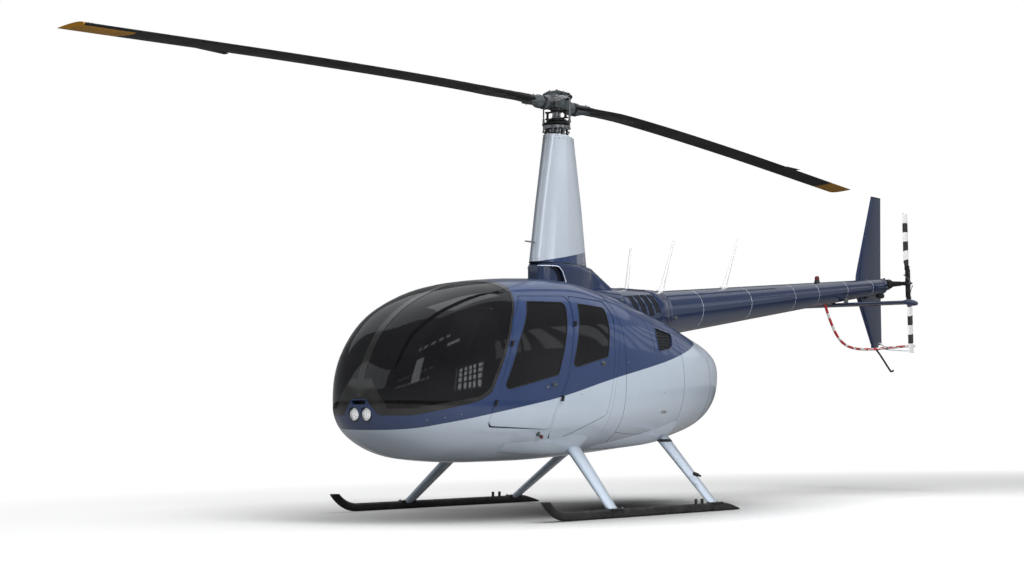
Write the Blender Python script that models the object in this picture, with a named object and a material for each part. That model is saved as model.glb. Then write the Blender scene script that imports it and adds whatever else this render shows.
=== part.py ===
"""Light turbine helicopter with a two-blade teetering rotor, parked on its skids.

Metres, +Z up, nose towards -Y, port side towards +X. Every place is written from the foot
of the rotor mast's axis on the ground. The empty airframe_datum then moves the whole
machine along Y, so that the world origin lies under the middle of its bounding box.
"""
import math

import bmesh
import bpy
from mathutils import Matrix, Vector

# General
PIECE_GAP = 0.0003
SKIN_GAP = 0.0004
RUNNING_GAP = 0.005
DATUM_Y = -0.7886
PORT, STARBOARD = 1.0, -1.0

# Main rotor
ROTOR_RADIUS = 5.030
ROTOR_HUB_Z = 3.410
ROTOR_TOP_Z = 3.480
ROTOR_PARK_ANGLE = math.radians(1.7)
BLADE_CHORD = 0.254
BLADE_THICKNESS = 0.032
BLADE_ROOT = 0.150
MAST_RADIUS = 0.035
MAST_FOOT_Z = 1.620
HUB_BLOCK = ((-0.050, 0.050), (-BLADE_ROOT, BLADE_ROOT), (3.325, 3.450))
TEETER_BLOCK = ((-0.085, 0.085), (-0.045, 0.045), (3.370, 3.430))
HUB_CAP_RADIUS = 0.030
HUB_CAP_FOOT_Z = 3.440
# From the blade's root, ahead of the leading edge
PITCH_HORN = ((-0.150, -0.010), (0.168, 0.200), (-0.044, 0.012))
# Reaches back from the horn to the pitch link beside the mast
PITCH_HORN_ARM = ((-0.152, -0.128), (-0.005, 0.200), (-0.012, 0.012))
SWASH_RADIUS = 0.108
SWASH_FIXED_TOP_Z = 3.180
SWASH_TURNING = (3.185, 3.240)
SWASH_ARM_TIP = (-0.140, 0.010, 3.212)
SWASH_ARM_RADIUS = 0.014
PITCH_LINK_RADIUS = 0.008
PITCH_LINK_FOOT_Z = 3.130

# Tail rotor
TAIL_HUB = Vector((0.264, 5.871, 2.200))
TAIL_RADIUS = 0.745
TAIL_CHORD = 0.120
TAIL_THICKNESS = 0.014
TAIL_PARK_ANGLE = math.radians(2.1)
TAIL_HUB_RADIUS = 0.024
TAIL_HUB_X = (0.190, 0.300)
TAIL_YOKE_HALF = (0.020, 0.025, 0.050)
TAIL_GEARBOX_Z = 2.185
TAIL_GEARBOX_AFT_Y = 5.950
TAIL_GEARBOX_RADIUS = 0.060
TAIL_CASING_X = (-0.060, 0.090)
TAIL_CASING_RADIUS = 0.066
TAIL_OUTPUT_X = (0.080, 0.190)
TAIL_OUTPUT_RADIUS = 0.030

# Hull, one row for each section: y, top z, bottom z, half width, z of the greatest width,
# roundness above it, roundness below it (2 is an ellipse, more is squarer)
HULL_SECTIONS = (
    (-2.360, 0.900, 0.860, 0.030, 0.880, 2.2, 2.2),
    (-2.340, 1.010, 0.765, 0.180, 0.880, 2.3, 2.2),
    (-2.270, 1.185, 0.635, 0.335, 0.880, 2.5, 2.3),
    (-2.116, 1.405, 0.530, 0.480, 0.880, 2.7, 2.4),
    (-1.762, 1.640, 0.436, 0.645, 0.890, 3.0, 2.5),
    (-1.313, 1.785, 0.412, 0.724, 0.900, 3.1, 2.6),
    (-0.815, 1.850, 0.415, 0.735, 0.920, 3.0, 2.6),
    (-0.380, 1.868, 0.430, 0.735, 0.950, 3.0, 2.6),
    (0.000, 1.838, 0.450, 0.730, 0.980, 2.9, 2.5),
    (0.500, 1.745, 0.482, 0.700, 1.020, 2.7, 2.4),
    (1.000, 1.635, 0.530, 0.632, 1.060, 2.6, 2.4),
    (1.500, 1.508, 0.605, 0.510, 1.090, 2.5, 2.3),
    (1.850, 1.422, 0.705, 0.380, 1.120, 2.4, 2.3),
    (2.080, 1.335, 0.870, 0.220, 1.140, 2.3, 2.2),
    (2.160, 1.230, 1.060, 0.060, 1.150, 2.0, 2.0),
)
HULL_SIDES = 32
NOSE_RINGS = 6
NOSE_END_Y = -1.762
MIDDLE_RINGS = 9
TAIL_START_Y = 1.500
TAIL_RINGS = 5
WALL = 0.030

# Cabin and engine bay inside the hull
FLOOR_Z = 0.600
DECK_Z = 0.900
SEAM = ((-0.350, 0.320), (-0.060, 1.520), (-0.060, 2.300))
FRONT_REACH_Y = -3.000
AFT_REACH_Y = 3.000
UNDERFLOOR_FRONT_Y = -1.800
ENGINE_BOX = ((-0.270, 0.270), (0.200, 1.200), (DECK_Z + PIECE_GAP, 1.420))
GEARBOX_BOX = ((-0.170, 0.170), (-0.045, 0.340), (1.150, MAST_FOOT_Z - PIECE_GAP))
MAST_HOLE_RADIUS = 0.055

# Widened foot of the centre post, front outline as (x, z)
POST_FOOT = (
    (-0.262, 0.790),
    (0.262, 0.790),
    (0.240, 0.840),
    (0.105, 1.035),
    (-0.105, 1.035),
    (-0.240, 0.840),
)
POST_FOOT_AFT_Y = -2.230
GLASS = 0.005
GLASS_SET = 0.002
POST_HALF_WIDTH = 0.032
# Windows and doors, side outlines as (y, z)
WINDSHIELD = (
    (-3.000, 0.822),
    (-2.230, 0.818),
    (-1.760, 0.906),
    (-1.672, 0.965),
    (-1.405, 1.480),
    (-1.245, 1.690),
    (-1.235, 2.200),
    (-3.000, 2.200),
)
# Door outlines: y, z, and how much farther out than the running gap the doorway's corner
# lies along y and z, where the slanted hinges dip the opening door
FRONT_DOOR = (
    (-1.185, 1.670, 0.0, 0.0),
    (-0.610, 1.700, 0.005, 0.0),
    (-0.822, 1.060, 0.0, 0.0),
    (-0.983, 0.790, 0.0, 0.0),
    (-0.992, 0.668, 0.0, 0.0),
    (-1.662, 0.695, 0.0, -0.012),
    (-1.645, 0.800, 0.0, 0.0),
    (-1.612, 0.885, 0.0, 0.0),
    (-1.375, 1.480, 0.0, 0.0),
)
REAR_DOOR = (
    (-0.586, 1.700, 0.0, 0.0),
    (-0.150, 1.675, 0.012, 0.006),
    (-0.112, 1.560, 0.010, 0.0),
    (-0.165, 1.390, 0.0, 0.0),
    (-0.214, 1.070, 0.0, 0.0),
    (-0.295, 0.780, 0.0, 0.0),
    (-0.800, 0.603, 0.0, -0.018),
    (-0.925, 0.592, 0.0, -0.018),
    (-0.962, 0.640, 0.0, -0.010),
    (-0.959, 0.790, 0.0, 0.0),
    (-0.798, 1.060, 0.0, 0.0),
)
FRONT_WINDOW = (
    (-1.135, 1.632),
    (-0.685, 1.645),
    (-0.772, 1.436),
    (-0.932, 1.082),
    (-1.545, 0.955),
    (-1.360, 1.324),
)
REAR_WINDOW = (
    (-0.525, 1.645),
    (-0.185, 1.625),
    (-0.213, 1.458),
    (-0.282, 1.236),
    (-0.750, 1.134),
)
DOOR_INNER_X = 0.300
DOOR_OUTER_X = 1.000
# Hinge places, low and high, on the hull's side: y, z
FRONT_HINGES = ((-1.6242, 0.860), (-1.4492, 1.300))
REAR_HINGES = ((-0.8960, 0.900), (-0.6615, 1.480))
HINGE_STANDOFF = 0.018
HINGE_RADIUS = 0.008
HINGE_LENGTH = 0.020
LUG_DEPTH = 2.0 * HINGE_STANDOFF
LUG_REACH = 0.0105
LUG_HALF_WIDTH = 0.6 * HINGE_RADIUS
DOOR_CORNER = 0.040
WINDOW_CORNER = 0.030

# Mast base cowl, mast fairing and the cone behind them
COWL_TOP_Z = 2.020
# y, top z, half width, shoulder radius
COWL_SECTIONS = (
    (-0.318, 1.905, 0.040, 0.035),
    (-0.310, 1.985, 0.054, 0.045),
    (-0.288, 2.016, 0.074, 0.040),
    (-0.235, 2.018, 0.107, 0.040),
    (-0.150, COWL_TOP_Z, 0.141, 0.030),
    (0.000, COWL_TOP_Z, 0.152, 0.030),
    (0.150, COWL_TOP_Z, 0.142, 0.040),
    (0.300, COWL_TOP_Z, 0.112, 0.060),
    (0.400, 2.019, 0.084, 0.064),
    (0.446, 2.004, 0.090, 0.085),
    (0.557, 1.938, 0.130, 0.125),
    (0.610, 1.902, 0.165, 0.160),
    (0.655, 1.868, 0.200, 0.200),
)
# Low skirt that widens aft to the boom's root cone, in the same columns
COWL_SKIRT = (
    (0.180, 1.740, 0.120, 0.110),
    (0.350, 1.830, 0.200, 0.190),
    (0.500, 1.862, 0.255, 0.250),
    (0.660, 1.868, 0.286, 0.286),
)
COWL_FOOT_Z = 1.560
COWL_WALL = 0.012
# Air intake on each side, side outline as (y, z), cut in to this distance from the middle
INTAKE = (
    (-0.330, 1.800),
    (-0.067, 1.800),
    (-0.067, 1.863),
    (-0.105, 1.950),
    (-0.163, 1.988),
    (-0.330, 1.988),
)
INTAKE_INNER_X = 0.110
FAIRING_TOP_Z = 3.090
FAIRING_WALL = 0.008
# z, front reach, rear reach, half thickness
FAIRING_SECTIONS = (
    (COWL_TOP_Z + PIECE_GAP, 0.325, 0.400, 0.135),
    (2.500, 0.246, 0.332, 0.118),
    (FAIRING_TOP_Z, 0.134, 0.223, 0.095),
)
CONE_FRONT_Y = COWL_SKIRT[-1][0] + PIECE_GAP
CONE_AFT_Y = 1.360
CONE_FRONT_RADIUS = COWL_SKIRT[-1][2]
CONE_AFT_RADIUS = 0.212
CONE_SIDES = 24

# Tail boom
BOOM_FRONT_Y = CONE_AFT_Y + PIECE_GAP
BOOM_AFT_Y = 5.770
BOOM_AFT_Z = 2.172
BOOM_SLOPE = 0.1155
BOOM_AFT_RADIUS = 0.080
BOOM_TAPER = 0.0288
BOOM_SIDES = 20

# Empennage
FIN_X = -0.118
# z, leading edge y, trailing edge y, thickness
FIN_SECTIONS = (
    (1.548, 5.745, 5.995, 0.020),
    (2.050, 5.425, 5.985, 0.044),
    (2.270, 5.420, 5.985, 0.044),
    (3.156, 5.785, 6.005, 0.020),
)
STABILISER_Z = 1.928
STABILISER_SPAN = 0.740
STABILISER_FRONT_Y = 4.800
STABILISER_AFT_Y = 5.110
STABILISER_HALF_THICKNESS = 0.020
GUARD_X = -0.030
GUARD_RADIUS = 0.011
GUARD_PATH = (
    (4.560, 1.985),
    (4.610, 1.880),
    (4.720, 1.725),
    (4.840, 1.605),
    (4.985, 1.528),
    (5.200, 1.489),
    (5.550, 1.489),
    (6.360, 1.545),
    (6.610, 1.560),
)
STINGER_RADIUS = 0.010
STINGER_PATH = (
    (5.860, 1.500),
    (5.960, 1.440),
    (6.170, 1.290),
    (6.215, 1.268),
    (6.260, 1.278),
)
GUARD_FOOT = ((GUARD_X, 5.930, 1.515), (FIN_X + 0.006, 5.935, 1.565))
GUARD_FOOT_RADIUS = 0.009
STINGER_SHOE = ((FIN_X - 0.014, FIN_X + 0.014), (5.770, 5.900), (1.490, 1.548 - PIECE_GAP))
# Bullet ends of the stabiliser: share of the length, half height, half width
BULLET = ((0.0, 0.008, 0.004), (0.15, 0.026, 0.012), (0.5, 0.032, 0.015), (1.0, 0.010, 0.005))
BRACKET_X = 0.075
BRACKET_HALF_WIDTH = 0.006
BRACKET_Y = (4.800, 4.880)
BRACKET_Z = (1.930, 2.035)

# Landing gear
SKID_X = 1.055
SKID_RADIUS = 0.033
SKID_AFT_Y = 1.110
SKID_BEND_Y = -1.255
SKID_BEND_RADIUS = 0.350
SKID_BEND_ANGLE = math.radians(50.0)
SKID_PEGS_Y = (0.470, 0.560)
SKID_PEG_Z = (0.040, 0.105)
SKID_PEG_RADIUS = 0.012
# name, foot y, top x, top y, top z, front end of the root fairing, its middle x, its aft end
STRUTS = (
    ("front", -0.650, 0.443, -0.484, 0.640, -1.400, 0.545, -0.400),
    ("aft", 0.760, 0.360, 0.960, 0.640, -0.200, 0.455, 1.020),
)
STRUT_FOOT_Z = 0.040
STRUT_CUT_Z = 0.045
# Root fairing: share of its length, share of the greatest half width and depth
FAIRING_SWELL = ((0.0, 0.12), (0.2, 0.42), (0.45, 0.72), (0.70, 0.93), (0.86, 1.0), (0.95, 0.80), (1.0, 0.35))
ROOT_HALF_WIDTH = 0.105
ROOT_DEPTH = 0.048
STRUT_TOP_CHORD = 0.190
STRUT_FOOT_CHORD = 0.125
STRUT_TOP_THICKNESS = 0.070
STRUT_FOOT_THICKNESS = 0.040

# Small fittings
# name, base y, base z, tip y, tip z
ANTENNAS = (
    ("antenna_front", 1.000, 1.800, 1.075, 2.240),
    ("antenna_middle", 1.540, 1.860, 1.756, 2.360),
    ("antenna_aft", 2.600, 1.960, 2.850, 2.455),
)
BEACON_Y = 4.371
BEACON_RADIUS = 0.026
BEACON_HEIGHT = 0.066
LAMP_X = 0.060
LAMP_Z = 0.775
LAMP_RADIUS = 0.046
LAMP_BLOCK = ((-0.125, 0.125), (-2.420, -2.260), (0.710, 0.830))
LENS_Y = (-2.300, -2.352)
# y, z, how far the stalk stands off the skin
NAVIGATION_PLACE = (-1.100, 0.632, 0.030)
NAVIGATION_STALK_RADIUS = 0.008
NAVIGATION_BULB_RADIUS = 0.014
PITOT = ((0.0, -0.420, 2.182), (0.0, -0.200, 2.182))
PITOT_RADIUS = 0.007
EXHAUST_RADIUS = 0.095
EXHAUST_WALL = 0.008
EXHAUST_BACK = 0.060
EXHAUST_AXIS = ((1.500, 0.860), (1.680, 0.710))

# Seats, inside the cabin
# name, x range, cushion y range, depth of the back, lean of the back
SEATS = (
    ("seat_front_port", (0.100, 0.520), (-1.620, -1.160), 0.110, 0.080),
    ("seat_front_starboard", (-0.520, -0.100), (-1.620, -1.160), 0.110, 0.080),
    ("rear_bench", (-0.550, 0.550), (-0.810, -0.420), 0.100, 0.040),
)
CUSHION_TOP_Z = 0.900
SEAT_BACK_TOP_Z = 1.380
SEAT_BACK_LAP = 0.020
CONSOLE_BOX = ((-0.110, 0.110), (-2.020, -1.760), (FLOOR_Z + PIECE_GAP, 1.000))
# Instrument panel, side outline as (y, z)
PANEL = ((-2.000, 0.940), (-1.850, 0.940), (-1.830, 1.160), (-1.930, 1.200))
PANEL_HALF_WIDTH = 0.240

# Materials: name, colour, roughness, metallic
PAINTS = {
    "navy_paint": ((0.020, 0.036, 0.105), 0.25, 0.35),
    "silver_paint": ((0.470, 0.560, 0.690), 0.28, 0.25),
    "tinted_glass": ((0.015, 0.016, 0.018), 0.05, 0.0),
    "black_paint": ((0.012, 0.012, 0.013), 0.40, 0.0),
    "bare_metal": ((0.560, 0.570, 0.580), 0.35, 0.9),
    "white_paint": ((0.850, 0.850, 0.840), 0.35, 0.0),
    "red_paint": ((0.600, 0.030, 0.030), 0.35, 0.0),
    "red_lens": ((0.500, 0.020, 0.020), 0.10, 0.0),
    "green_lens": ((0.020, 0.350, 0.080), 0.10, 0.0),
    "clear_lens": ((0.800, 0.800, 0.780), 0.08, 0.0),
    "seat_leather": ((0.060, 0.055, 0.052), 0.60, 0.0),
    "dark_plastic": ((0.025, 0.025, 0.027), 0.55, 0.0),
    "dark_metal": ((0.120, 0.120, 0.125), 0.45, 0.8),
}


def clear_scene():
    for item in list(bpy.data.objects):
        bpy.data.objects.remove(item)


def paint(name):
    found = bpy.data.materials.get(name)
    if found:
        return found
    colour, roughness, metallic = PAINTS[name]
    made = bpy.data.materials.new(name)
    made.use_nodes = True
    shader = made.node_tree.nodes["Principled BSDF"]
    shader.inputs["Base Color"].default_value = (*colour, 1.0)
    shader.inputs["Roughness"].default_value = roughness
    shader.inputs["Metallic"].default_value = metallic
    made.diffuse_color = (*colour, 1.0)
    return made


def to_object(name, bm):
    """A closed body made from a bmesh, with its faces pointing out."""
    bmesh.ops.recalc_face_normals(bm, faces=bm.faces)
    mesh = bpy.data.meshes.new(name)
    bm.to_mesh(mesh)
    bm.free()
    made = bpy.data.objects.new(name, mesh)
    bpy.context.collection.objects.link(made)
    return made


def loft(name, rings):
    """A closed body through rings of equal count, with flat ends."""
    bm = bmesh.new()
    rows = [[bm.verts.new(point) for point in ring] for ring in rings]
    count = len(rows[0])
    for low, high in zip(rows, rows[1:]):
        for i in range(count):
            j = (i + 1) % count
            bm.faces.new((low[i], low[j], high[j], high[i]))
    bm.faces.new(rows[0])
    bm.faces.new(rows[-1])
    return to_object(name, bm)


def prism_x(name, outline, x_low, x_high):
    """A side outline of (y, z) points carried straight across from x_low to x_high."""
    return loft(name, [[(x, y, z) for y, z in outline] for x in (x_low, x_high)])


def prism_y(name, outline, y_low, y_high):
    """A front outline of (x, z) points carried straight along from y_low to y_high."""
    return loft(name, [[(x, y, z) for x, z in outline] for y in (y_low, y_high)])


def box(name, ranges):
    (x0, x1), (y0, y1), (z0, z1) = ranges
    return prism_x(name, ((y0, z0), (y1, z0), (y1, z1), (y0, z1)), x0, x1)


def cylinder(name, start, end, radius, sides=16, end_radius=None):
    """A cylinder, or a cone with an end_radius, between two points."""
    start, end = Vector(start), Vector(end)
    far_radius = radius if end_radius is None else end_radius
    turn = (end - start).to_track_quat("Z", "Y").to_matrix()
    rings = []
    for centre, size in ((start, radius), (end, far_radius)):
        ring = []
        for i in range(sides):
            angle = math.tau * i / sides
            ring.append(centre + turn @ Vector((size * math.cos(angle), size * math.sin(angle), 0.0)))
        rings.append(ring)
    return loft(name, rings)


def sweep_side(name, path, x, radius, sides=10, tip_scale=1.0):
    """A round tube along a side path of (y, z) points at one x."""
    rings = []
    last = len(path) - 1
    for i, (y, z) in enumerate(path):
        y0, z0 = path[max(i - 1, 0)]
        y1, z1 = path[min(i + 1, last)]
        along = Vector((0.0, y1 - y0, z1 - z0)).normalized()
        up = Vector((1.0, 0.0, 0.0)).cross(along)
        size = radius * (tip_scale if i == last else 1.0)
        ring = []
        for k in range(sides):
            angle = math.tau * k / sides
            spoke = up * math.sin(angle) + Vector((math.cos(angle), 0.0, 0.0))
            ring.append(Vector((x, y, z)) + size * spoke)
        rings.append(ring)
    return loft(name, rings)


def carve(body, tool, operation="DIFFERENCE"):
    """Cut, join or cross body with tool, keep the result in body and drop the tool."""
    modifier = body.modifiers.new("carve", "BOOLEAN")
    modifier.operation = operation
    modifier.object = tool
    bpy.context.view_layer.update()
    graph = bpy.context.evaluated_depsgraph_get()
    mesh = bpy.data.meshes.new_from_object(body.evaluated_get(graph))
    body.modifiers.clear()
    old = body.data
    body.data = mesh
    mesh.name = body.name
    bpy.data.meshes.remove(old)
    bpy.data.objects.remove(tool)
    return body


def join(body, *tools):
    for tool in tools:
        carve(body, tool, "UNION")
    return body


def grown(outline, distance):
    """A convex or gently bent outline with every edge pushed outwards by distance."""
    area = 0.0
    count = len(outline)
    for i, (y0, z0) in enumerate(outline):
        y1, z1 = outline[(i + 1) % count]
        area += y0 * z1 - y1 * z0
    side = 1.0 if area > 0.0 else -1.0
    result = []
    for i in range(count):
        before, here, after = (Vector(outline[(i + k) % count]) for k in (-1, 0, 1))
        first = (here - before).normalized()
        second = (after - here).normalized()
        normal_one = Vector((first.y, -first.x)) * side
        normal_two = Vector((second.y, -second.x)) * side
        bisector = (normal_one + normal_two).normalized()
        reach = distance / bisector.dot(normal_one)
        result.append(tuple(here + bisector * reach))
    return result


def rounded(outline, radius, steps=3):
    """An outline whose corners are arcs, where both edges are long enough."""
    result = []
    count = len(outline)
    for i in range(count):
        before, here, after = (Vector(outline[(i + k) % count]) for k in (-1, 0, 1))
        back, ahead = before - here, after - here
        half = back.angle(ahead) / 2.0
        cut = min(radius / math.tan(half), 0.4 * back.length, 0.4 * ahead.length)
        size = cut * math.tan(half)
        centre = here + (back.normalized() + ahead.normalized()).normalized() * (size / math.sin(half))
        start = here + back.normalized() * cut - centre
        sweep = math.pi - 2.0 * half
        turn = 1.0 if start.cross(here + ahead.normalized() * cut - centre) > 0.0 else -1.0
        for k in range(steps + 1):
            angle = turn * sweep * k / steps
            spun = Matrix.Rotation(angle, 2) @ start
            result.append(tuple(centre + spun))
    return result


# Hull


def smooth_column(y, column):
    """One column of HULL_SECTIONS at y, by a monotone cubic through the table."""
    ys = [row[0] for row in HULL_SECTIONS]
    vs = [row[column] for row in HULL_SECTIONS]
    steps = [b - a for a, b in zip(ys, ys[1:])]
    slopes = [(b - a) / h for a, b, h in zip(vs, vs[1:], steps)]
    tangents = [slopes[0]]
    for i in range(1, len(slopes)):
        before, after = slopes[i - 1], slopes[i]
        if before * after <= 0.0:
            tangents.append(0.0)
            continue
        weight_one = 2.0 * steps[i] + steps[i - 1]
        weight_two = steps[i] + 2.0 * steps[i - 1]
        tangents.append((weight_one + weight_two) / (weight_one / before + weight_two / after))
    tangents.append(slopes[-1])
    y = min(max(y, ys[0]), ys[-1])
    i = max(k for k in range(len(steps)) if ys[k] <= y)
    h = steps[i]
    t = (y - ys[i]) / h
    from_here = (1.0 + 2.0 * t) * (1.0 - t) ** 2 * vs[i] + t * t * (3.0 - 2.0 * t) * vs[i + 1]
    return from_here + h * (t * (1.0 - t) ** 2 * tangents[i] - t * t * (1.0 - t) * tangents[i + 1])


def hull_ring(y):
    top, bottom, half_width, widest, n_top, n_bottom = (smooth_column(y, k) for k in range(1, 7))
    ring = []
    for i in range(HULL_SIDES):
        angle = math.tau * i / HULL_SIDES
        across, up = math.cos(angle), math.sin(angle)
        roundness = n_top if up >= 0.0 else n_bottom
        height = top - widest if up >= 0.0 else widest - bottom
        x = math.copysign(abs(across) ** (2.0 / roundness), across) * half_width
        z = widest + math.copysign(abs(up) ** (2.0 / roundness), up) * height
        ring.append((x, y, z))
    return ring


def hull_stations():
    """Ring places along Y, close together where the nose and the tail round off."""
    nose, tail = HULL_SECTIONS[0][0], HULL_SECTIONS[-1][0]
    stations = [nose + (NOSE_END_Y - nose) * (i / NOSE_RINGS) ** 2 for i in range(NOSE_RINGS)]
    stations += [NOSE_END_Y + (TAIL_START_Y - NOSE_END_Y) * i / MIDDLE_RINGS for i in range(MIDDLE_RINGS)]
    stations += [tail - (tail - TAIL_START_Y) * (1.0 - i / TAIL_RINGS) ** 1.6 for i in range(TAIL_RINGS + 1)]
    return stations


def hull(name, inset):
    """The whole hull as a solid, with its skin moved inwards by inset."""
    made = loft(name, [hull_ring(y) for y in hull_stations()])
    bm = bmesh.new()
    bm.from_mesh(made.data)
    bmesh.ops.triangulate(bm, faces=bm.faces, quad_method="FIXED", ngon_method="BEAUTY")
    bm.normal_update()
    shifts = [vertex.normal * inset for vertex in bm.verts]
    for vertex, shift in zip(bm.verts, shifts):
        vertex.co -= shift
    bm.to_mesh(made.data)
    bm.free()
    return made


def side_x(y, z):
    """Half width of the hull's outer skin at a point of the side view."""
    top, bottom, half_width, widest, n_top, n_bottom = (smooth_column(y, k) for k in range(1, 7))
    roundness = n_top if z >= widest else n_bottom
    height = top - widest if z >= widest else widest - bottom
    return half_width * (1.0 - (abs(z - widest) / height) ** roundness) ** (1.0 / roundness)


def slab(name, outline, x_range, outer_inset, thickness):
    """The part of the hull's skin inside a side outline, thickness deep."""
    made = hull(name, outer_inset)
    carve(made, prism_x("outline", outline, *x_range), "INTERSECT")
    carve(made, hull("inside", outer_inset + thickness))
    return made


def seam_outline(shift, towards_nose):
    """The side of the cabin seam line, moved along Y by shift, out to beyond the hull."""
    line = [(y + shift, z) for y, z in SEAM]
    reach = FRONT_REACH_Y if towards_nose else AFT_REACH_Y
    return line + [(reach, SEAM[-1][1]), (reach, SEAM[0][1])]


def room(name, low_z, high_z, front_y, back_shift, towards_nose):
    """A hollow inside the hull's wall between two heights and the seam line or front_y."""
    made = hull(name, WALL)
    carve(made, prism_x("limits", seam_outline(back_shift, towards_nose), -1.0, 1.0), "INTERSECT")
    carve(made, box("heights", ((-1.0, 1.0), (front_y, AFT_REACH_Y), (low_z, high_z))), "INTERSECT")
    return made


def belly_z(x, y):
    """Height of the hull's outer skin under its widest line, x from the middle."""
    _, bottom, half_width, widest, _, roundness = (smooth_column(y, k) for k in range(1, 7))
    return widest - (widest - bottom) * (1.0 - (abs(x) / half_width) ** roundness) ** (1.0 / roundness)


def side_range(side, inner, outer):
    return (inner, outer) if side > 0.0 else (-outer, -inner)


# Doors: name, outline, window outline, hinge places
DOOR_KINDS = (
    ("front", FRONT_DOOR, FRONT_WINDOW, FRONT_HINGES),
    ("rear", REAR_DOOR, REAR_WINDOW, REAR_HINGES),
)
SIDES = (("port", PORT), ("starboard", STARBOARD))


def hinge_points(places, side):
    """The two hinge centres of a door, just outside the hull's skin."""
    return [Vector((side * (side_x(y, z) + HINGE_STANDOFF), y, z)) for y, z in places]


def knuckle(name, centre, along, low, high):
    return cylinder(name, centre + along * low, centre + along * high, HINGE_RADIUS, 12)


def hinge_arm(name, centre, along, low, high, reach_y, side):
    """A small lug, square to the axis, from a knuckle inwards to the skin."""
    aft = Vector((0.0, 1.0, 0.0))
    aft = (aft - along * aft.dot(along)).normalized()
    inwards = Vector((-side, 0.0, 0.0))
    inwards = (inwards - along * inwards.dot(along)).normalized()
    root = centre + inwards * LUG_DEPTH + aft * reach_y
    half = aft * LUG_HALF_WIDTH
    corners = (centre - half, centre + half, root + half, root - half)
    return loft(name, [[corner + along * at for corner in corners] for at in (low, high)])


def add_hinges(body, places, side, on_door):
    """Door side: the middle knuckle. Frame side: the two outer knuckles with their lugs."""
    low, high = hinge_points(places, side)
    along = (high - low).normalized()
    half = HINGE_LENGTH / 2.0
    outer_spans = ((-2.0 * half, -half - PIECE_GAP), (half + PIECE_GAP, 2.0 * half))
    spans = ((-half, half),) if on_door else outer_spans
    reach = LUG_REACH if on_door else -LUG_REACH
    for centre in (low, high):
        for start, end in spans:
            join(body, hinge_arm("lug", centre, along, start, end, reach, side))
            join(body, knuckle("knuckle", centre, along, start, end))
    return body


def build_cabin_shell():
    shell = hull("cabin_shell", 0.0)
    carve(shell, prism_x("front_half", seam_outline(0.0, True), -1.0, 1.0), "INTERSECT")
    carve(shell, room("cabin_room", FLOOR_Z, 2.2, FRONT_REACH_Y, -WALL, True))
    carve(shell, room("underfloor", 0.3, FLOOR_Z - WALL, UNDERFLOOR_FRONT_Y, WALL, True))
    for _, side in SIDES:
        glazing = prism_x("windshield", WINDSHIELD, *side_range(side, POST_HALF_WIDTH, DOOR_OUTER_X))
        carve(glazing, prism_y("post_foot", POST_FOOT, FRONT_REACH_Y, POST_FOOT_AFT_Y))
        carve(shell, glazing)
        for _, rows, _, _ in DOOR_KINDS:
            corners = grown([row[:2] for row in rows], RUNNING_GAP)
            opening = [(y + row[2], z + row[3]) for (y, z), row in zip(corners, rows)]
            across = side_range(side, DOOR_INNER_X, DOOR_OUTER_X)
            carve(shell, prism_x("doorway", rounded(opening, DOOR_CORNER), *across))
        for _, _, _, places in DOOR_KINDS:
            add_hinges(shell, places, side, False)
    carve(shell, box("lamp_recess", grown_box(LAMP_BLOCK, PIECE_GAP)))
    return shell


def grown_box(ranges, distance):
    return tuple((low - distance, high + distance) for low, high in ranges)


def build_aft_cowling():
    cowling = hull("aft_cowling", 0.0)
    carve(cowling, prism_x("aft_half", seam_outline(PIECE_GAP, False), -1.0, 1.0), "INTERSECT")
    carve(cowling, room("engine_room", DECK_Z, 2.2, FRONT_REACH_Y, -WALL, False))
    carve(cowling, room("hold", 0.3, DECK_Z - WALL, FRONT_REACH_Y, -WALL, False))
    mast_hole = cylinder("mast_hole", (0.0, 0.0, 1.5), (0.0, 0.0, 2.2), MAST_HOLE_RADIUS, 20)
    carve(cowling, mast_hole)
    foot, end = ((0.0, *place) for place in EXHAUST_AXIS)
    carve(cowling, cylinder("exhaust_hole", foot, end, EXHAUST_RADIUS + 2.0 * PIECE_GAP, 20))
    return cowling


def build_doors(datum):
    for kind, rows, window, places in DOOR_KINDS:
        outline = rounded([row[:2] for row in rows], DOOR_CORNER)
        for side_name, side in SIDES:
            across = side_range(side, DOOR_INNER_X, DOOR_OUTER_X)
            door = slab(f"door_{kind}_{side_name}", outline, across, 0.0, WALL)
            opening = rounded(window, WINDOW_CORNER)
            carve(door, prism_x("window", opening, *across))
            add_hinges(door, places, side, True)
            pane_outline = grown(opening, -PIECE_GAP)
            pane = slab(f"door_pane_{kind}_{side_name}", pane_outline, across, GLASS_SET, GLASS)
            low, _ = hinge_points(places, side)
            hinge = axis_empty(f"{door.name}_hinge", low, datum)
            finish(door, "navy_paint", hinge)
            finish(pane, "tinted_glass", hinge)


def build_windshields(datum):
    for side_name, side in SIDES:
        across = side_range(side, POST_HALF_WIDTH + PIECE_GAP, DOOR_OUTER_X)
        outline = grown(WINDSHIELD, -PIECE_GAP)
        pane = slab(f"windshield_{side_name}", outline, across, GLASS_SET, GLASS)
        foot = grown(POST_FOOT, PIECE_GAP)
        carve(pane, prism_y("post_foot", foot, FRONT_REACH_Y, POST_FOOT_AFT_Y + PIECE_GAP))
        finish(pane, "tinted_glass", datum)


# Placing


def axis_empty(name, place, parent):
    """An empty on a joint's axis. place is written from the datum."""
    made = bpy.data.objects.new(name, None)
    bpy.context.collection.objects.link(made)
    made.location = place
    made.parent = parent
    return made


def finish(body, paint_name, parent):
    """Give body its material and hang it on parent, with its origin on parent's place."""
    body.data.materials.clear()
    body.data.materials.append(paint(paint_name))
    body.data.shade_smooth()
    body.data.set_sharp_from_angle(angle=math.radians(32.0))
    if parent.parent is not None:
        body.data.transform(Matrix.Translation(-Vector(parent.location)))
    body.parent = parent
    return body


# Upper cowls


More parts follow.
